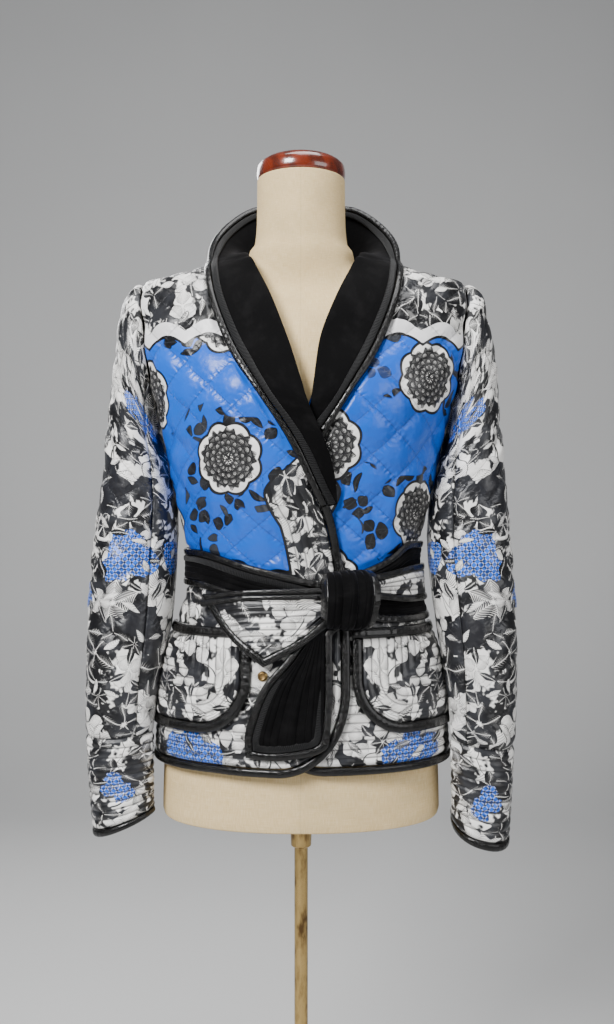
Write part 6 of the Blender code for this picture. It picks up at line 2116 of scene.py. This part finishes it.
class CollarHalf:
    """Half of the standing collar, read by the way from the centre back and the way across."""

    wall = 0.0032
    rows = 220
    columns = 12
    passes = 60

    def __init__(self, side: Side) -> None:
        """Measures the stations."""
        self.side = side.value
        self.stations = COLLAR_RIGHT if side is Side.RIGHT else COLLAR_LEFT
        middles = []
        for station in self.stations:
            back = ((station.base_back or -0.07) + (station.edge_back or -0.07)) / 2
            across, high = station.base_x + station.edge_x, station.base_z + station.edge_z
            middles.append((across / 2, back, high / 2))
        self.ways = path_lengths(np.array(middles))
        self.length = self.ways[-1]
        self.moved = self.easing()

    def column(self, way: Array, name: str) -> Array:
        """One of the stations' sizes at a way."""
        values = [getattr(station, name) for station in self.stations]
        known = [value for value in values if value is not None]
        return smooth(way, self.ways[: len(known)], known)

    def on_front(self, x: Array, z: Array) -> Array:
        """Points of the collar's middle where it lies on the front."""
        half, _, _, power = JACKET.sizes(z)
        turn = np.arcsin(np.clip(np.abs(x) / half, 0, 0.999) ** (power / 2)) * np.sign(x)
        under = lap_lift(np.column_stack([x, z])) if self.side < 0 else np.zeros(len(x))
        settle = 0.35 + 0.65 * ramp(z, 1.004, 1.05)
        return JACKET.lifted(turn, z, under + (WALL / 2 + LAYER_GAP + self.wall / 2 + 0.0012) * settle)

    def drawn_middle(self, way: Array, part: Array) -> Array:
        """The collar's middle at a way along and a part of the way across."""
        x = self.column(way, "base_x") * (1 - part) + self.column(way, "edge_x") * part
        z = self.column(way, "base_z") * (1 - part) + self.column(way, "edge_z") * part
        y = self.column(way, "base_back") * (1 - part) + self.column(way, "edge_back") * part
        bow = 0.006 * 4 * part * (1 - part)
        free = np.stack([x * self.side + JACKET.shift(z), y - bow, z], axis=-1)
        laid = self.on_front(x * self.side, np.minimum(z, 1.288))
        share = ramp(way, self.ways[3] + 0.004, self.ways[5])[..., None]
        return free * (1 - share) + laid * share

    def easing(self) -> Array:
        """How far a lattice of the middle's points moves when the shoulder's bend is rounded off."""
        ways = np.linspace(0, self.length, self.rows)
        parts = np.linspace(0, 1, self.columns)
        drawn = np.stack([self.drawn_middle(ways, np.full(self.rows, part)) for part in parts], axis=1)
        eased = drawn.copy()
        for _ in range(self.passes):
            eased[1:-1] = (eased[:-2] + 2 * eased[1:-1] + eased[2:]) / 4
        near = ramp(ways, self.ways[1], self.ways[3]) * ramp(ways, self.ways[7], self.ways[6])
        moved = (eased - drawn) * near[:, None, None]
        moved[..., 1] -= 0.0012 * near[:, None]
        return moved

    def middle(self, way: Array, part: Array) -> Array:
        """The collar's middle, with the bend over the shoulder rounded off."""
        row = np.clip(way / self.length, 0, 1) * (self.rows - 1)
        column = np.clip(part, 0, 1) * (self.columns - 1)
        above = np.minimum(row.astype(int), self.rows - 2)
        beside = np.minimum(column.astype(int), self.columns - 2)
        down, over = (row - above)[:, None], (column - beside)[:, None]
        first = self.moved[above, beside] * (1 - over) + self.moved[above, beside + 1] * over
        second = self.moved[above + 1, beside] * (1 - over) + self.moved[above + 1, beside + 1] * over
        return self.drawn_middle(way, part) + first * (1 - down) + second * down

    def width(self, way: Array) -> Array:
        """The collar's width at a way."""
        base = self.middle(way, np.zeros(len(way)))
        edge = self.middle(way, np.ones(len(way)))
        return np.linalg.norm(edge - base, axis=1)

    def place(self, flat: Array, lift: Array) -> Array:
        """Lays flat points (way, distance from the base) on the collar at a lift."""
        flat = np.asarray(flat, float)
        way = np.clip(flat[:, 0], 0, self.length)
        part = flat[:, 1] / np.maximum(self.width(way), 1e-4)
        small = 2e-3
        low = np.maximum(way - small, 0.0)
        high = np.minimum(way + small, self.length)
        along = self.middle(high, part) - self.middle(low, part)
        across = self.middle(way, part + 0.02) - self.middle(way, part - 0.02)
        normal = unit(np.cross(across, along)) * self.side * -1
        return self.middle(way, part) + normal * np.asarray(lift, float)[:, None]


@dataclass
class ShawlCollar:
    """Both halves of the velvet collar with their leather edge and ribbed braid."""

    finishes: Finishes
    binding: float = 0.0088
    braid: float = 0.0085
    rows: int = 190
    columns: int = 44

    def build(self) -> None:
        """Builds both halves."""
        for side in Side:
            self.half(side)

    def half(self, side: Side) -> None:
        """One half with its trims."""
        half = CollarHalf(side)
        ways = np.linspace(0.0001, half.length, self.rows)
        widths = half.width(ways)
        inner = np.maximum(widths - self.binding - 0.0001, 0.0034)
        share = np.linspace(0, 1, self.columns)
        across = 0.0004 + (inner[:, None] - 0.0004) * share[None, :]
        flat = np.stack([np.broadcast_to(ways[:, None], across.shape), across], axis=-1)
        points = flat.reshape(-1, 2)
        part = np.tile(share, self.rows)
        way = points[:, 0]
        drape = 0.0012 * np.sin(way * 88.0 + 1.4 * np.sin(way * 31.0)) * (1 - part) ** 1.5
        drape = drape + 0.001 * np.sin(way * 52.0 + part * 3.0) * part * (1 - part) * 4
        edge_roll = -0.001 * np.exp(-((part / 0.05) ** 2))
        fade = ramp(np.repeat(inner, self.columns), 0.006, 0.03)
        folds = (drape + edge_roll) * fade
        cut = Cut(flat=flat, zones=[plain_zone(len(points))], folds=folds, cloth=points)
        velvet = [self.finishes.velvet]
        made = make_cloth("collar_velvet_" + side.word, cut, half.place, 0.0, half.wall, velvet)
        dress(made.piece, "black_velvet", "collar_" + side.word)
        rim = Rim(np.column_stack([ways, widths])[::2])
        band = Band(0.0, self.binding, -0.0016, 0.0042, points=9)
        name, node = "collar_leather_" + side.word, "collar_binding_" + side.word
        leather = make_strip(name, node, rim, band, half.place, 0.0, self.finishes.leather, upright=True)
        kept = widths > self.binding + self.braid + 0.002
        low = half.wall / 2 + 0.0009
        braid = Band(self.binding + 0.0004, self.binding + self.braid, low, low + 0.002, 0.7, 8, 0.0)
        rim = Rim(np.column_stack([ways, widths])[kept][::2])
        name, node = "collar_braid_" + side.word, "collar_trim_" + side.word
        gimp = make_strip(name, node, rim, braid, half.place, 0.0, self.finishes.gimp, upright=True)


@dataclass
class PatchPockets:
    """Both patch pockets, channelled along their curved edge and banded in leather."""

    finishes: Finishes
    sizes: PocketSizes = POCKET
    step: float = 0.0017

    def build(self) -> None:
        """Builds both pockets."""
        for side in Side:
            self.pocket(side)

    def pocket(self, side: Side) -> None:
        """One pocket with its two bands; it is drawn as the right one and mirrored."""
        sizes = self.sizes
        inset = sizes.band + 0.0002
        path = sizes.path(inset)
        corner = path[1:-1][::-1]
        low, top = sizes.low_z + inset, sizes.top_z - inset
        heights = np.linspace(low, top, round((top - low) / self.step))
        front = np.interp(heights, corner[:, 1], corner[:, 0])
        side_run = np.array([sizes.side_run(float(z)) for z in heights])
        share = np.linspace(0, 1, 74)
        share = 1 - (1 - share) ** 1.15
        runs = side_run[:, None] * (1 - share) + front[:, None] * share
        flat = flat_lattice(runs, heights)
        points = flat.reshape(-1, 2)
        zone = channel_zone(distance_to(points, path), sizes.pitch, sizes.rise)
        belly = 0.0018 * np.sin(np.pi * np.clip((points[:, 1] - low) / (top - low), 0, 1))
        along = (points[:, 0] - side_run[0]) / (front[-1] - side_run[0])
        belly = belly * np.sin(np.pi * np.clip(along, 0, 1))
        soft = table(
            Crease,
            ((-0.17, 0.866), (-0.15, 0.8), 0.009, 0.0012, 0.004),
            ((-0.11, 0.862), (-0.12, 0.812), 0.008, -0.001, 0.003),
        )
        base_of = UNDER[side]
        cut = Cut(
            flat=flat * side.mirror,
            zones=[zone],
            folds=belly + folded(points, soft),
            print_zones=print_fields(len(points)),
            cloth=points + (0.31, 0.17),
        )
        base, quilted = sizes.lift + base_of(points), self.finishes.quilted
        made = make_cloth("pocket_patch_" + side.word, cut, front_place, base, WALL, quilted, SMALL_ROLL)
        dress(made.piece, "printed_satin", "pocket_" + side.word)

        def under(at: Array) -> Array:
            """The lift under the bands."""
            return sizes.lift + base_of(at)

        foot = sizes.top_z - sizes.band - 0.0002
        curve = sizes.path(0.0, foot, 26)
        top_line = np.array([curve[0], (sizes.side_run(sizes.top_z), sizes.top_z)])
        top_line[0, 1] = sizes.top_z
        curve, top_line = curve * side.mirror, np.linspace(*(top_line * side.mirror), 20)
        outward, inward = (0.0, sizes.band), (-sizes.band, 0.0)
        if side is Side.LEFT:
            outward, inward = inward, outward
        parts = (
            ("pocket_curve_leather_", "pocket_edge_band_", curve, Band(*outward, -0.001, 0.0034)),
            ("pocket_top_leather_", "pocket_top_band_", top_line, Band(*inward, -0.001, 0.0038)),
        )
        leather, word = self.finishes.leather, side.word
        bands = [
            make_strip(name + word, node + word, Rim(line), band, front_place, under, leather)
            for name, node, line, band in parts
        ]


def belt_under(flat: Array) -> Array:
    """How far the belt's first layer lies off the jacket's surface."""
    x = flat[:, 0]
    lap = LAP_WAIST * ramp(x, -0.105, -0.055) * (1 - ramp(x, 0.06, 0.1))
    return BELT_LIFT + lap


def belt_over(flat: Array) -> Array:
    """How far the belt's printed side lies off the jacket's surface."""
    return belt_under(flat) + BELT_WALL + BELT_LAYER_GAP


def tie_end_lift(flat: Array) -> Array:
    """How far the tie end lies off the jacket's surface."""
    return belt_under(flat) + TIE_END_LIFT


def tail_lift(flat: Array) -> Array:
    """How far the hanging tail lies off the jacket's surface."""
    return TAIL_LIFT + lap_lift(flat)


def belt_back_lift(flat: Array) -> Array:
    """How far the belt lies off the back."""
    return np.full(len(flat), BELT_LIFT)


def short_of_side(flat: Array, from_back: bool = False) -> Array:
    """Flat points of the belt, none of them past the side line."""
    turns = np.full(len(flat), math.pi / 2)
    reach = JACKET.run_at(turns, flat[:, 1], from_back) - BELT_SIDE_GAP
    return np.column_stack([np.clip(flat[:, 0], -reach, reach), flat[:, 1]])


def belt_flat(places: Places) -> Array:
    """Front view places of the belt as flat points."""
    return short_of_side(JACKET.front_flat(places))


def resampled(rim: Array, across: float, count: int) -> Array:
    """A smooth rim moved to the right by a distance, in even points."""
    knots = path_lengths(rim)
    moved = moved_across(rim, across)
    ways = np.linspace(0, knots[-1], count)
    return np.column_stack([smooth(ways, knots, moved[:, i]) for i in (0, 1)])


@dataclass
class TiedBelt:
    """The belt: printed on one side, velvet on the other, knotted in front over two hanging ends."""

    finishes: Finishes
    pitch: float = 0.006
    rise: float = 0.0008
    inset: float = BELT_EDGE + 0.0001
    edge: Band = Band(-BELT_EDGE, 0.0, -0.0013, 0.0024, points=9)
    facing: Band = Band(-0.015, -BELT_EDGE * 0.9, 0.0002, 0.004, points=9)
    knot_center: tuple[float, float] = (0.0496, 0.903)
    knot_lift: float = 0.014
    knot_start: float = -0.0262
    knot_end: float = 0.013
    knot_stations: tuple[tuple[float, float, float], ...] = (
        (-0.0315, 0.02, 0.016), (-0.027, 0.029, 0.027), (-0.02, 0.0315, 0.032), (-0.013, 0.0315, 0.029),
        (-0.006, 0.0335, 0.035), (0.001, 0.033, 0.031), (0.008, 0.0335, 0.0345), (0.015, 0.032, 0.0295),
        (0.0215, 0.0315, 0.0315), (0.0275, 0.0285, 0.026), (0.0315, 0.02, 0.015),
    )
    right_folds: tuple[Crease, ...] = table(
        Crease,
        ((-0.01, 0.905), (-0.06, 0.925), 0.0035, 0.0014, 0.001),
        ((-0.05, 0.91), (-0.12, 0.934), 0.004, -0.001, 0.001),
    )
    left_folds: tuple[Crease, ...] = table(
        Crease,
        ((0.074, 0.93), (0.14, 0.958), 0.004, 0.002, 0.002),
        ((0.078, 0.92), (0.15, 0.948), 0.0035, -0.0012, 0.001),
        ((0.08, 0.892), (0.15, 0.884), 0.0035, 0.0014, 0.001),
    )
    print_folds: tuple[Crease, ...] = table(
        Crease,
        ((0.066, 0.922), (0.118, 0.926), 0.0028, 0.0016, 0.001),
        ((0.066, 0.912), (0.15, 0.908), 0.003, -0.0012, -0.001),
        ((0.07, 0.917), (0.1, 0.915), 0.0024, 0.0012, 0.0),
    )
    tail_folds: tuple[Crease, ...] = table(
        Crease,
        ((0.018, 0.878), (-0.04, 0.756), 0.0055, 0.0036, 0.004),
        ((0.024, 0.878), (-0.016, 0.748), 0.005, 0.0038, 0.003),
        ((0.03, 0.878), (0.004, 0.752), 0.005, 0.0034, 0.002),
        ((0.034, 0.878), (0.02, 0.762), 0.0045, 0.0026, 0.001),
    )

    def build(self) -> None:
        """Builds each length of the belt, the knot and the ends."""
        velvet, satin = self.finishes.velvet, self.finishes.bodice
        right, left = (VELVET_RIGHT_TOP, VELVET_RIGHT_LOW), (VELVET_LEFT_TOP, VELVET_LEFT_LOW)
        self.length("velvet_right", *right, velvet, belt_under, self.right_folds, True)
        self.length("velvet_left", *left, velvet, belt_under, self.left_folds)
        self.length("print_left", PRINT_LEFT_TOP, PRINT_LEFT_LOW, satin, belt_over, self.print_folds)
        self.behind()
        self.tie_end()
        self.tail()
        self.knot()

    def rims(
        self, name: str, top: Array, low: Array, place: Place, base: Lift
    ) -> list[Piece]:
        """The leather along a length's two edges."""
        made = []
        for word, rim in (("top", top), ("low", low)):
            line = Rim(resampled(rim, 0.0, 40))
            piece, node = f"belt_{name}_leather_{word}", f"belt_{name}_edge_{word}"
            made.append(make_strip(piece, node, line, self.edge, place, base, self.finishes.leather))
        return made

    def lattice(self, top: Array, low: Array, from_back: bool) -> tuple[Array, Zone]:
        """The lattice between two rims, and its channels along them."""
        run = max(path_lengths(top)[-1], path_lengths(low)[-1])
        count = round(run / 0.0022)
        first = resampled(low, -self.inset, count)
        second = resampled(top, -self.inset, count)[::-1]
        width = float(np.linalg.norm(second - first, axis=1).mean())
        rows = round(width / 0.00125) + 1
        share = np.linspace(0, 1, rows)
        flat = first[None] * (1 - share)[:, None, None] + second[None] * share[:, None, None]
        flat = short_of_side(flat.reshape(-1, 2), from_back).reshape(flat.shape)
        across = np.repeat(share, count) * max(2, round(width / self.pitch)) * self.pitch
        return flat, channel_zone(across, self.pitch, self.rise)

    def length(
        self,
        name: str,
        top_places: Places,
        low_places: Places,
        finish: Material,
        base: Lift,
        folds: tuple[Crease, ...],
        braided: bool = False,
    ) -> None:
        """One length of the belt across a front, with its leather and, on the right, its braid."""
        top, low = belt_flat(top_places), belt_flat(low_places)
        flat, zone = self.lattice(top, low, False)
        rise = folded(flat.reshape(-1, 2), folds)
        made = self.cloth(name, "belt_" + name, flat, zone, rise, finish, front_place, base)
        trims = self.rims(name, top, low, front_place, base)
        if braided:
            line = Rim(resampled(top, 0.0, 40))
            names, gimp = ("belt_braid_right", "belt_velvet_right_gimp"), self.finishes.gimp
            trims.append(make_strip(*names, line, self.braid(), front_place, base, gimp))

    def braid(self) -> Band:
        """The braid's section, just inside the leather."""
        start = -BELT_EDGE - 0.0006
        return Band(start - GIMP_WIDTH, start, 0.0016, 0.0034, 0.7, 8, 0.0)

    def cloth(
        self,
        name: str,
        node: str,
        flat: Array,
        zone: Zone,
        folds: Array,
        finish: Material,
        place: Place,
        base: Lift,
    ) -> Made:
        """A belt piece's cloth, dressed in place of its node."""
        points = flat.reshape(-1, 2)
        wide, tall = np.ptp(points, axis=0) * 1.01
        cut = Cut(
            flat=flat,
            zones=[zone],
            folds=folds,
            print_zones=print_fields(len(points)),
            cloth=points + (0.07, 0.29),
            size=(float(wide), float(tall)),
        )
        made = make_cloth("belt_" + name + "_cloth", cut, place, base(points), BELT_WALL, [finish])
        slot = "black_velvet" if finish is self.finishes.velvet else "printed_satin"
        dress(made.piece, slot, node)
        return made

    def behind(self) -> None:
        """The length round the back."""
        top, low = (short_of_side(np.array(rim), True) for rim in (BACK_TOP, BACK_LOW))
        flat, zone = self.lattice(top, low, True)
        soft = table(
            Crease,
            ((-0.12, 0.94), (-0.02, 0.926), 0.0035, -0.001, 0.001),
            ((0.03, 0.918), (0.13, 0.91), 0.0035, 0.0012, 0.001),
        )
        rise, velvet = folded(flat.reshape(-1, 2), soft), self.finishes.velvet
        made = self.cloth("back", "belt_back", flat, zone, rise, velvet, back_place, belt_back_lift)
        trims = self.rims("back", top, low, back_place, belt_back_lift)

    def tie_end(self) -> None:
        """The printed end, gathered from the knot and pointed below."""
        rim = Rim(belt_flat(TIE_END), (2, 4))
        outline = rim.line(-self.inset, 0.0021)
        middle = JACKET.front_flat([(0.04, 0.9)])[0]
        shares = np.linspace(0.1, 1.0, 46)
        flat = middle + (outline[None] - middle) * shares[:, None, None]
        points = flat.reshape(-1, 2)
        turn = np.tile(path_lengths(outline) / path_lengths(outline)[-1], len(shares))
        reach = np.repeat(shares, len(outline))
        wave = np.sin(turn * math.pi * 17.0 + 1.3 * np.sin(turn * 15.0))
        gathers = 0.0021 * wave * (1 - reach) ** 0.7 * ramp(reach, 0.1, 0.4)
        top_line = rim.line(0.0, 0.004)
        top_line = top_line[: int(np.argmin(top_line[:, 0])) + 1]
        zone = channel_zone(distance_to(points, top_line), 0.0066, 0.001)
        satin = self.finishes.bodice
        made = self.cloth("tie_end", "tie_end", flat, zone, gathers, satin, front_place, tie_end_lift)
        leather, edge = self.finishes.leather, self.edge
        strip = make_strip("tie_end_leather", "tie_end_edge", rim, edge, front_place, tie_end_lift, leather)
        top_rim = Rim(belt_flat(TIE_END[:3]))
        facing = make_strip("tie_end_facing", "", top_rim, self.facing, front_place, tie_end_lift, leather)

    def tail(self) -> None:
        """The velvet tail, fanned out from the knot in lengthwise channels."""
        points = belt_flat(TAIL)
        rim = Rim(points, (5,))
        knots = rim.knots
        inner = moved_across(points, -self.inset)

        def part(first: int, last: int, count: int) -> Array:
            """The inset edge between two of the tail's points."""
            section = slice(0, 6) if last <= 5 else slice(5, len(points))
            ways = np.linspace(knots[first], knots[last], count)
            return np.column_stack([smooth(ways, knots[section], inner[section, i]) for i in (0, 1)])

        down, across = 74, 56
        left = part(0, 5, down)
        low = part(5, 8, across)
        right = part(8, 12, down)[::-1]
        top = np.linspace(left[0], right[0], across)
        s = np.linspace(0, 1, across)[None, :, None]
        t = np.linspace(0, 1, down)[:, None, None]
        flat = left[:, None] * (1 - s) + right[:, None] * s + top[None] * (1 - t) + low[None] * t
        corners = top[0] * (1 - s) * (1 - t) + top[-1] * s * (1 - t) + low[0] * (1 - s) * t + low[-1] * s * t
        flat = flat - corners
        share = np.tile(np.linspace(0, 1, across), down)
        zone = channel_zone(share * 10 * 0.0072, 0.0072, 0.001)
        folds = folded(flat.reshape(-1, 2), self.tail_folds)
        velvet = self.finishes.velvet
        made = self.cloth("tail", "tail", flat, zone, folds, velvet, front_place, tail_lift)
        leather, gimp = self.finishes.leather, self.finishes.gimp
        strip = make_strip("tail_leather", "tail_edge", rim, self.edge, front_place, tail_lift, leather)
        line = Rim(points[1:-1], (4,))
        braid = make_strip("tail_braid", "tail_gimp", line, self.braid(), front_place, tail_lift, gimp)

    def knot_place(self, flat: Array, lift: Array) -> Array:
        """Lays flat points (across, way over) on the knot's form at a lift."""
        center = JACKET.front_flat([self.knot_center])[0]
        across = [station[0] for station in self.knot_stations]
        high = smooth(flat[:, 0], across, [station[1] for station in self.knot_stations])
        deep = smooth(flat[:, 0], across, [station[2] for station in self.knot_stations])
        bend = flat[:, 1] / KNOT_RADIUS
        fore = np.cos(bend)
        out = np.where(fore > 0, np.abs(fore) ** 0.7 * (deep + lift), fore * 0.018)
        upright = np.sin(bend) * (high + lift)
        at = np.column_stack([center[0] + flat[:, 0], center[1] + upright])
        return front_place(at, self.knot_lift + LAP_WAIST + out)

    def knot(self) -> None:
        """The knot: a length of velvet drawn over upright, with its leather at both sides."""
        runs = np.linspace(self.knot_start, self.knot_end, 60)
        way = KNOT_RADIUS * math.radians(106)
        ways = np.linspace(-way, way, 84)
        flat = flat_lattice(runs, ways)
        points = flat.reshape(-1, 2)
        zone = channel_zone(points[:, 0] - self.knot_start, 0.0065, 0.0011)
        soft = table(
            Crease,
            ((-0.012, -0.04), (-0.005, 0.04), 0.003, 0.0016, 0.001),
            ((0.01, -0.034), (0.014, 0.044), 0.003, -0.0014, 0.001),
            ((0.018, -0.044), (0.02, 0.03), 0.0028, 0.0014, -0.001),
        )
        cut = Cut(flat=flat, zones=[zone], folds=folded(points, soft), cloth=points + (0.4, 0.1))
        made = make_cloth("belt_knot", cut, self.knot_place, -0.0013, BELT_WALL, [self.finishes.velvet])
        dress(made.piece, "black_velvet", "knot")
        reach = KNOT_RADIUS * math.radians(98)
        for word, end in (("right", self.knot_start), ("left", self.knot_end)):
            line = np.column_stack([np.full(40, end), np.linspace(-reach, reach, 40)])
            inner, outer = (-0.0058, 0.0006) if end < 0 else (-0.0006, 0.0058)
            band = Band(inner, outer, -0.003, 0.0016)
            name, leather = "knot_leather_" + word, self.finishes.leather
            make_strip(name, "", Rim(line), band, self.knot_place, 0.0, leather)


@dataclass
class Snap:
    """The small brass snap on the right front."""

    finishes: Finishes
    profile: tuple[tuple[float, float], ...] = (
        (0.0046, 0.001), (0.0053, 0.0014), (0.0056, 0.0022), (0.0055, 0.003), (0.005, 0.0037),
        (0.0043, 0.0042), (0.0034, 0.0045), (0.0029, 0.0043), (0.0025, 0.0037), (0.0012, 0.0036),
    )

    def build(self) -> None:
        """Turns the snap and sets it square on the cloth."""
        made = turned_piece("snap_stud", self.profile, self.finishes.brass, 40)
        flat = JACKET.front_flat([SNAP_PLACE])
        foot = front_place(flat, lap_lift(flat))[0]
        head = front_place(flat, lap_lift(flat) + 0.01)[0]
        made.rotation_mode = "QUATERNION"
        made.rotation_quaternion = Vector(head - foot).to_track_quat("Z", "Y")
        made.location = Vector(foot)
        select_only(made)
        bpy.ops.object.transform_apply(location=True, rotation=True, scale=True)
        dress(made, "brass", "snap")


@dataclass
class Studio:
    """The pale floor and backdrop, the soft lights and the camera."""

    floor_half: float = 3.0
    wall_y: float = 2.2
    camera_place: tuple[float, float, float] = (0.007, -1.25, 1.0)
    millimetres_per_pixel: float = 1.19
    picture_height: int = 1024
    sensor: float = 36.0

    def build(self) -> None:
        """Sets up everything round the part."""
        self.floor()
        self.lights()
        self.camera()

    def floor(self) -> None:
        """A pale floor that bends up into a backdrop."""
        deselect()
        bpy.ops.mesh.primitive_plane_add(size=2, location=(0, 0, 0))
        made = bpy.context.object
        made.name = "studio_floor"
        made.scale = (self.floor_half, self.floor_half, 1)
        bpy.ops.object.transform_apply(location=True, rotation=False, scale=True)
        bpy.ops.object.mode_set(mode="EDIT")
        bpy.ops.mesh.select_all(action="DESELECT")
        bpy.ops.object.mode_set(mode="OBJECT")
        for vertex in made.data.vertices:
            vertex.select = vertex.co.y > 0
        for edge in made.data.edges:
            edge.select = all(made.data.vertices[i].co.y > 0 for i in edge.vertices)
        for vertex in made.data.vertices:
            if vertex.co.y > 0:
                vertex.co.y = self.wall_y
        bpy.ops.object.mode_set(mode="EDIT")
        radius, steps = 0.9, 10
        for number in range(steps):
            first = math.radians(90 * number / steps)
            last = math.radians(90 * (number + 1) / steps)
            back, up = math.sin(last) - math.sin(first), math.cos(first) - math.cos(last)
            move = (0, radius * back, radius * up)
            bpy.ops.mesh.extrude_region_move(TRANSFORM_OT_translate={"value": move})
        bpy.ops.mesh.extrude_region_move(TRANSFORM_OT_translate={"value": (0, 0, 2.6)})
        bpy.ops.object.mode_set(mode="OBJECT")
        board = Board("pale_floor")
        x, y, z = board.object_point()
        cloud = board.noise(board.join(x, y, z), 0.0014, 3.0)
        board.paint(board.mix(cloud, (0.6, 0.6, 0.6), (0.66, 0.66, 0.655)), cloud * 0.1 + 0.6)
        made.data.materials.append(board.material)
        bpy.ops.object.shade_smooth()

    def lights(self) -> None:
        """Soft studio light from the left, a weaker fill and a light behind."""
        world = bpy.context.scene.world or bpy.data.worlds.new("studio")
        bpy.context.scene.world = world
        world.use_nodes = True
        ground = world.node_tree.nodes["Background"]
        ground.inputs["Color"].default_value = (0.8, 0.83, 0.88, 1.0)
        ground.inputs["Strength"].default_value = 0.15
        rows = (
            ("key", (-1.15, -1.85, 2.15), 0.8, 104.0),
            ("fill", (1.75, -1.45, 1.35), 1.3, 22.0),
            ("over", (0.15, -0.25, 2.75), 1.2, 32.0),
            ("behind", (-0.9, 1.5, 1.9), 0.9, 20.0),
        )
        for name, place, size, power in rows:
            light = bpy.data.lights.new(name, "AREA")
            light.size = size
            light.energy = power
            made = bpy.data.objects.new(name, light)
            made.location = place
            aim = Vector((0, 0, 0.98)) - Vector(place)
            made.rotation_euler = aim.to_track_quat("-Z", "Y").to_euler()
            bpy.context.scene.collection.objects.link(made)

    def camera(self) -> None:
        """A level camera before the part, as far off and as wide as the photograph's."""
        data = bpy.data.cameras.new("camera")
        made = bpy.data.objects.new("camera", data)
        bpy.context.scene.collection.objects.link(made)
        made.location = self.camera_place
        made.rotation_euler = (math.radians(90), 0, 0)
        data.sensor_fit = "VERTICAL"
        data.sensor_height = self.sensor
        seen = self.millimetres_per_pixel * MM * self.picture_height
        data.lens = self.sensor * abs(self.camera_place[1]) / seen
        data.clip_start = 0.01
        bpy.context.scene.camera = made


def main() -> None:
    """Builds the studio and every sub-assembly."""
    logging.basicConfig(level=logging.INFO, format="%(name)s: %(message)s")
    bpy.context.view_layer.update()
    finishes = Finishes()
    Studio().build()
    DressForm(finishes).build()
    JacketBody(finishes).build()
    SleevePair(finishes).build()
    ShawlCollar(finishes).build()
    PatchPockets(finishes).build()
    TiedBelt(finishes).build()
    Snap(finishes).build()
    LOG.info("all pieces built")


if __name__ == "__main__":
    main()
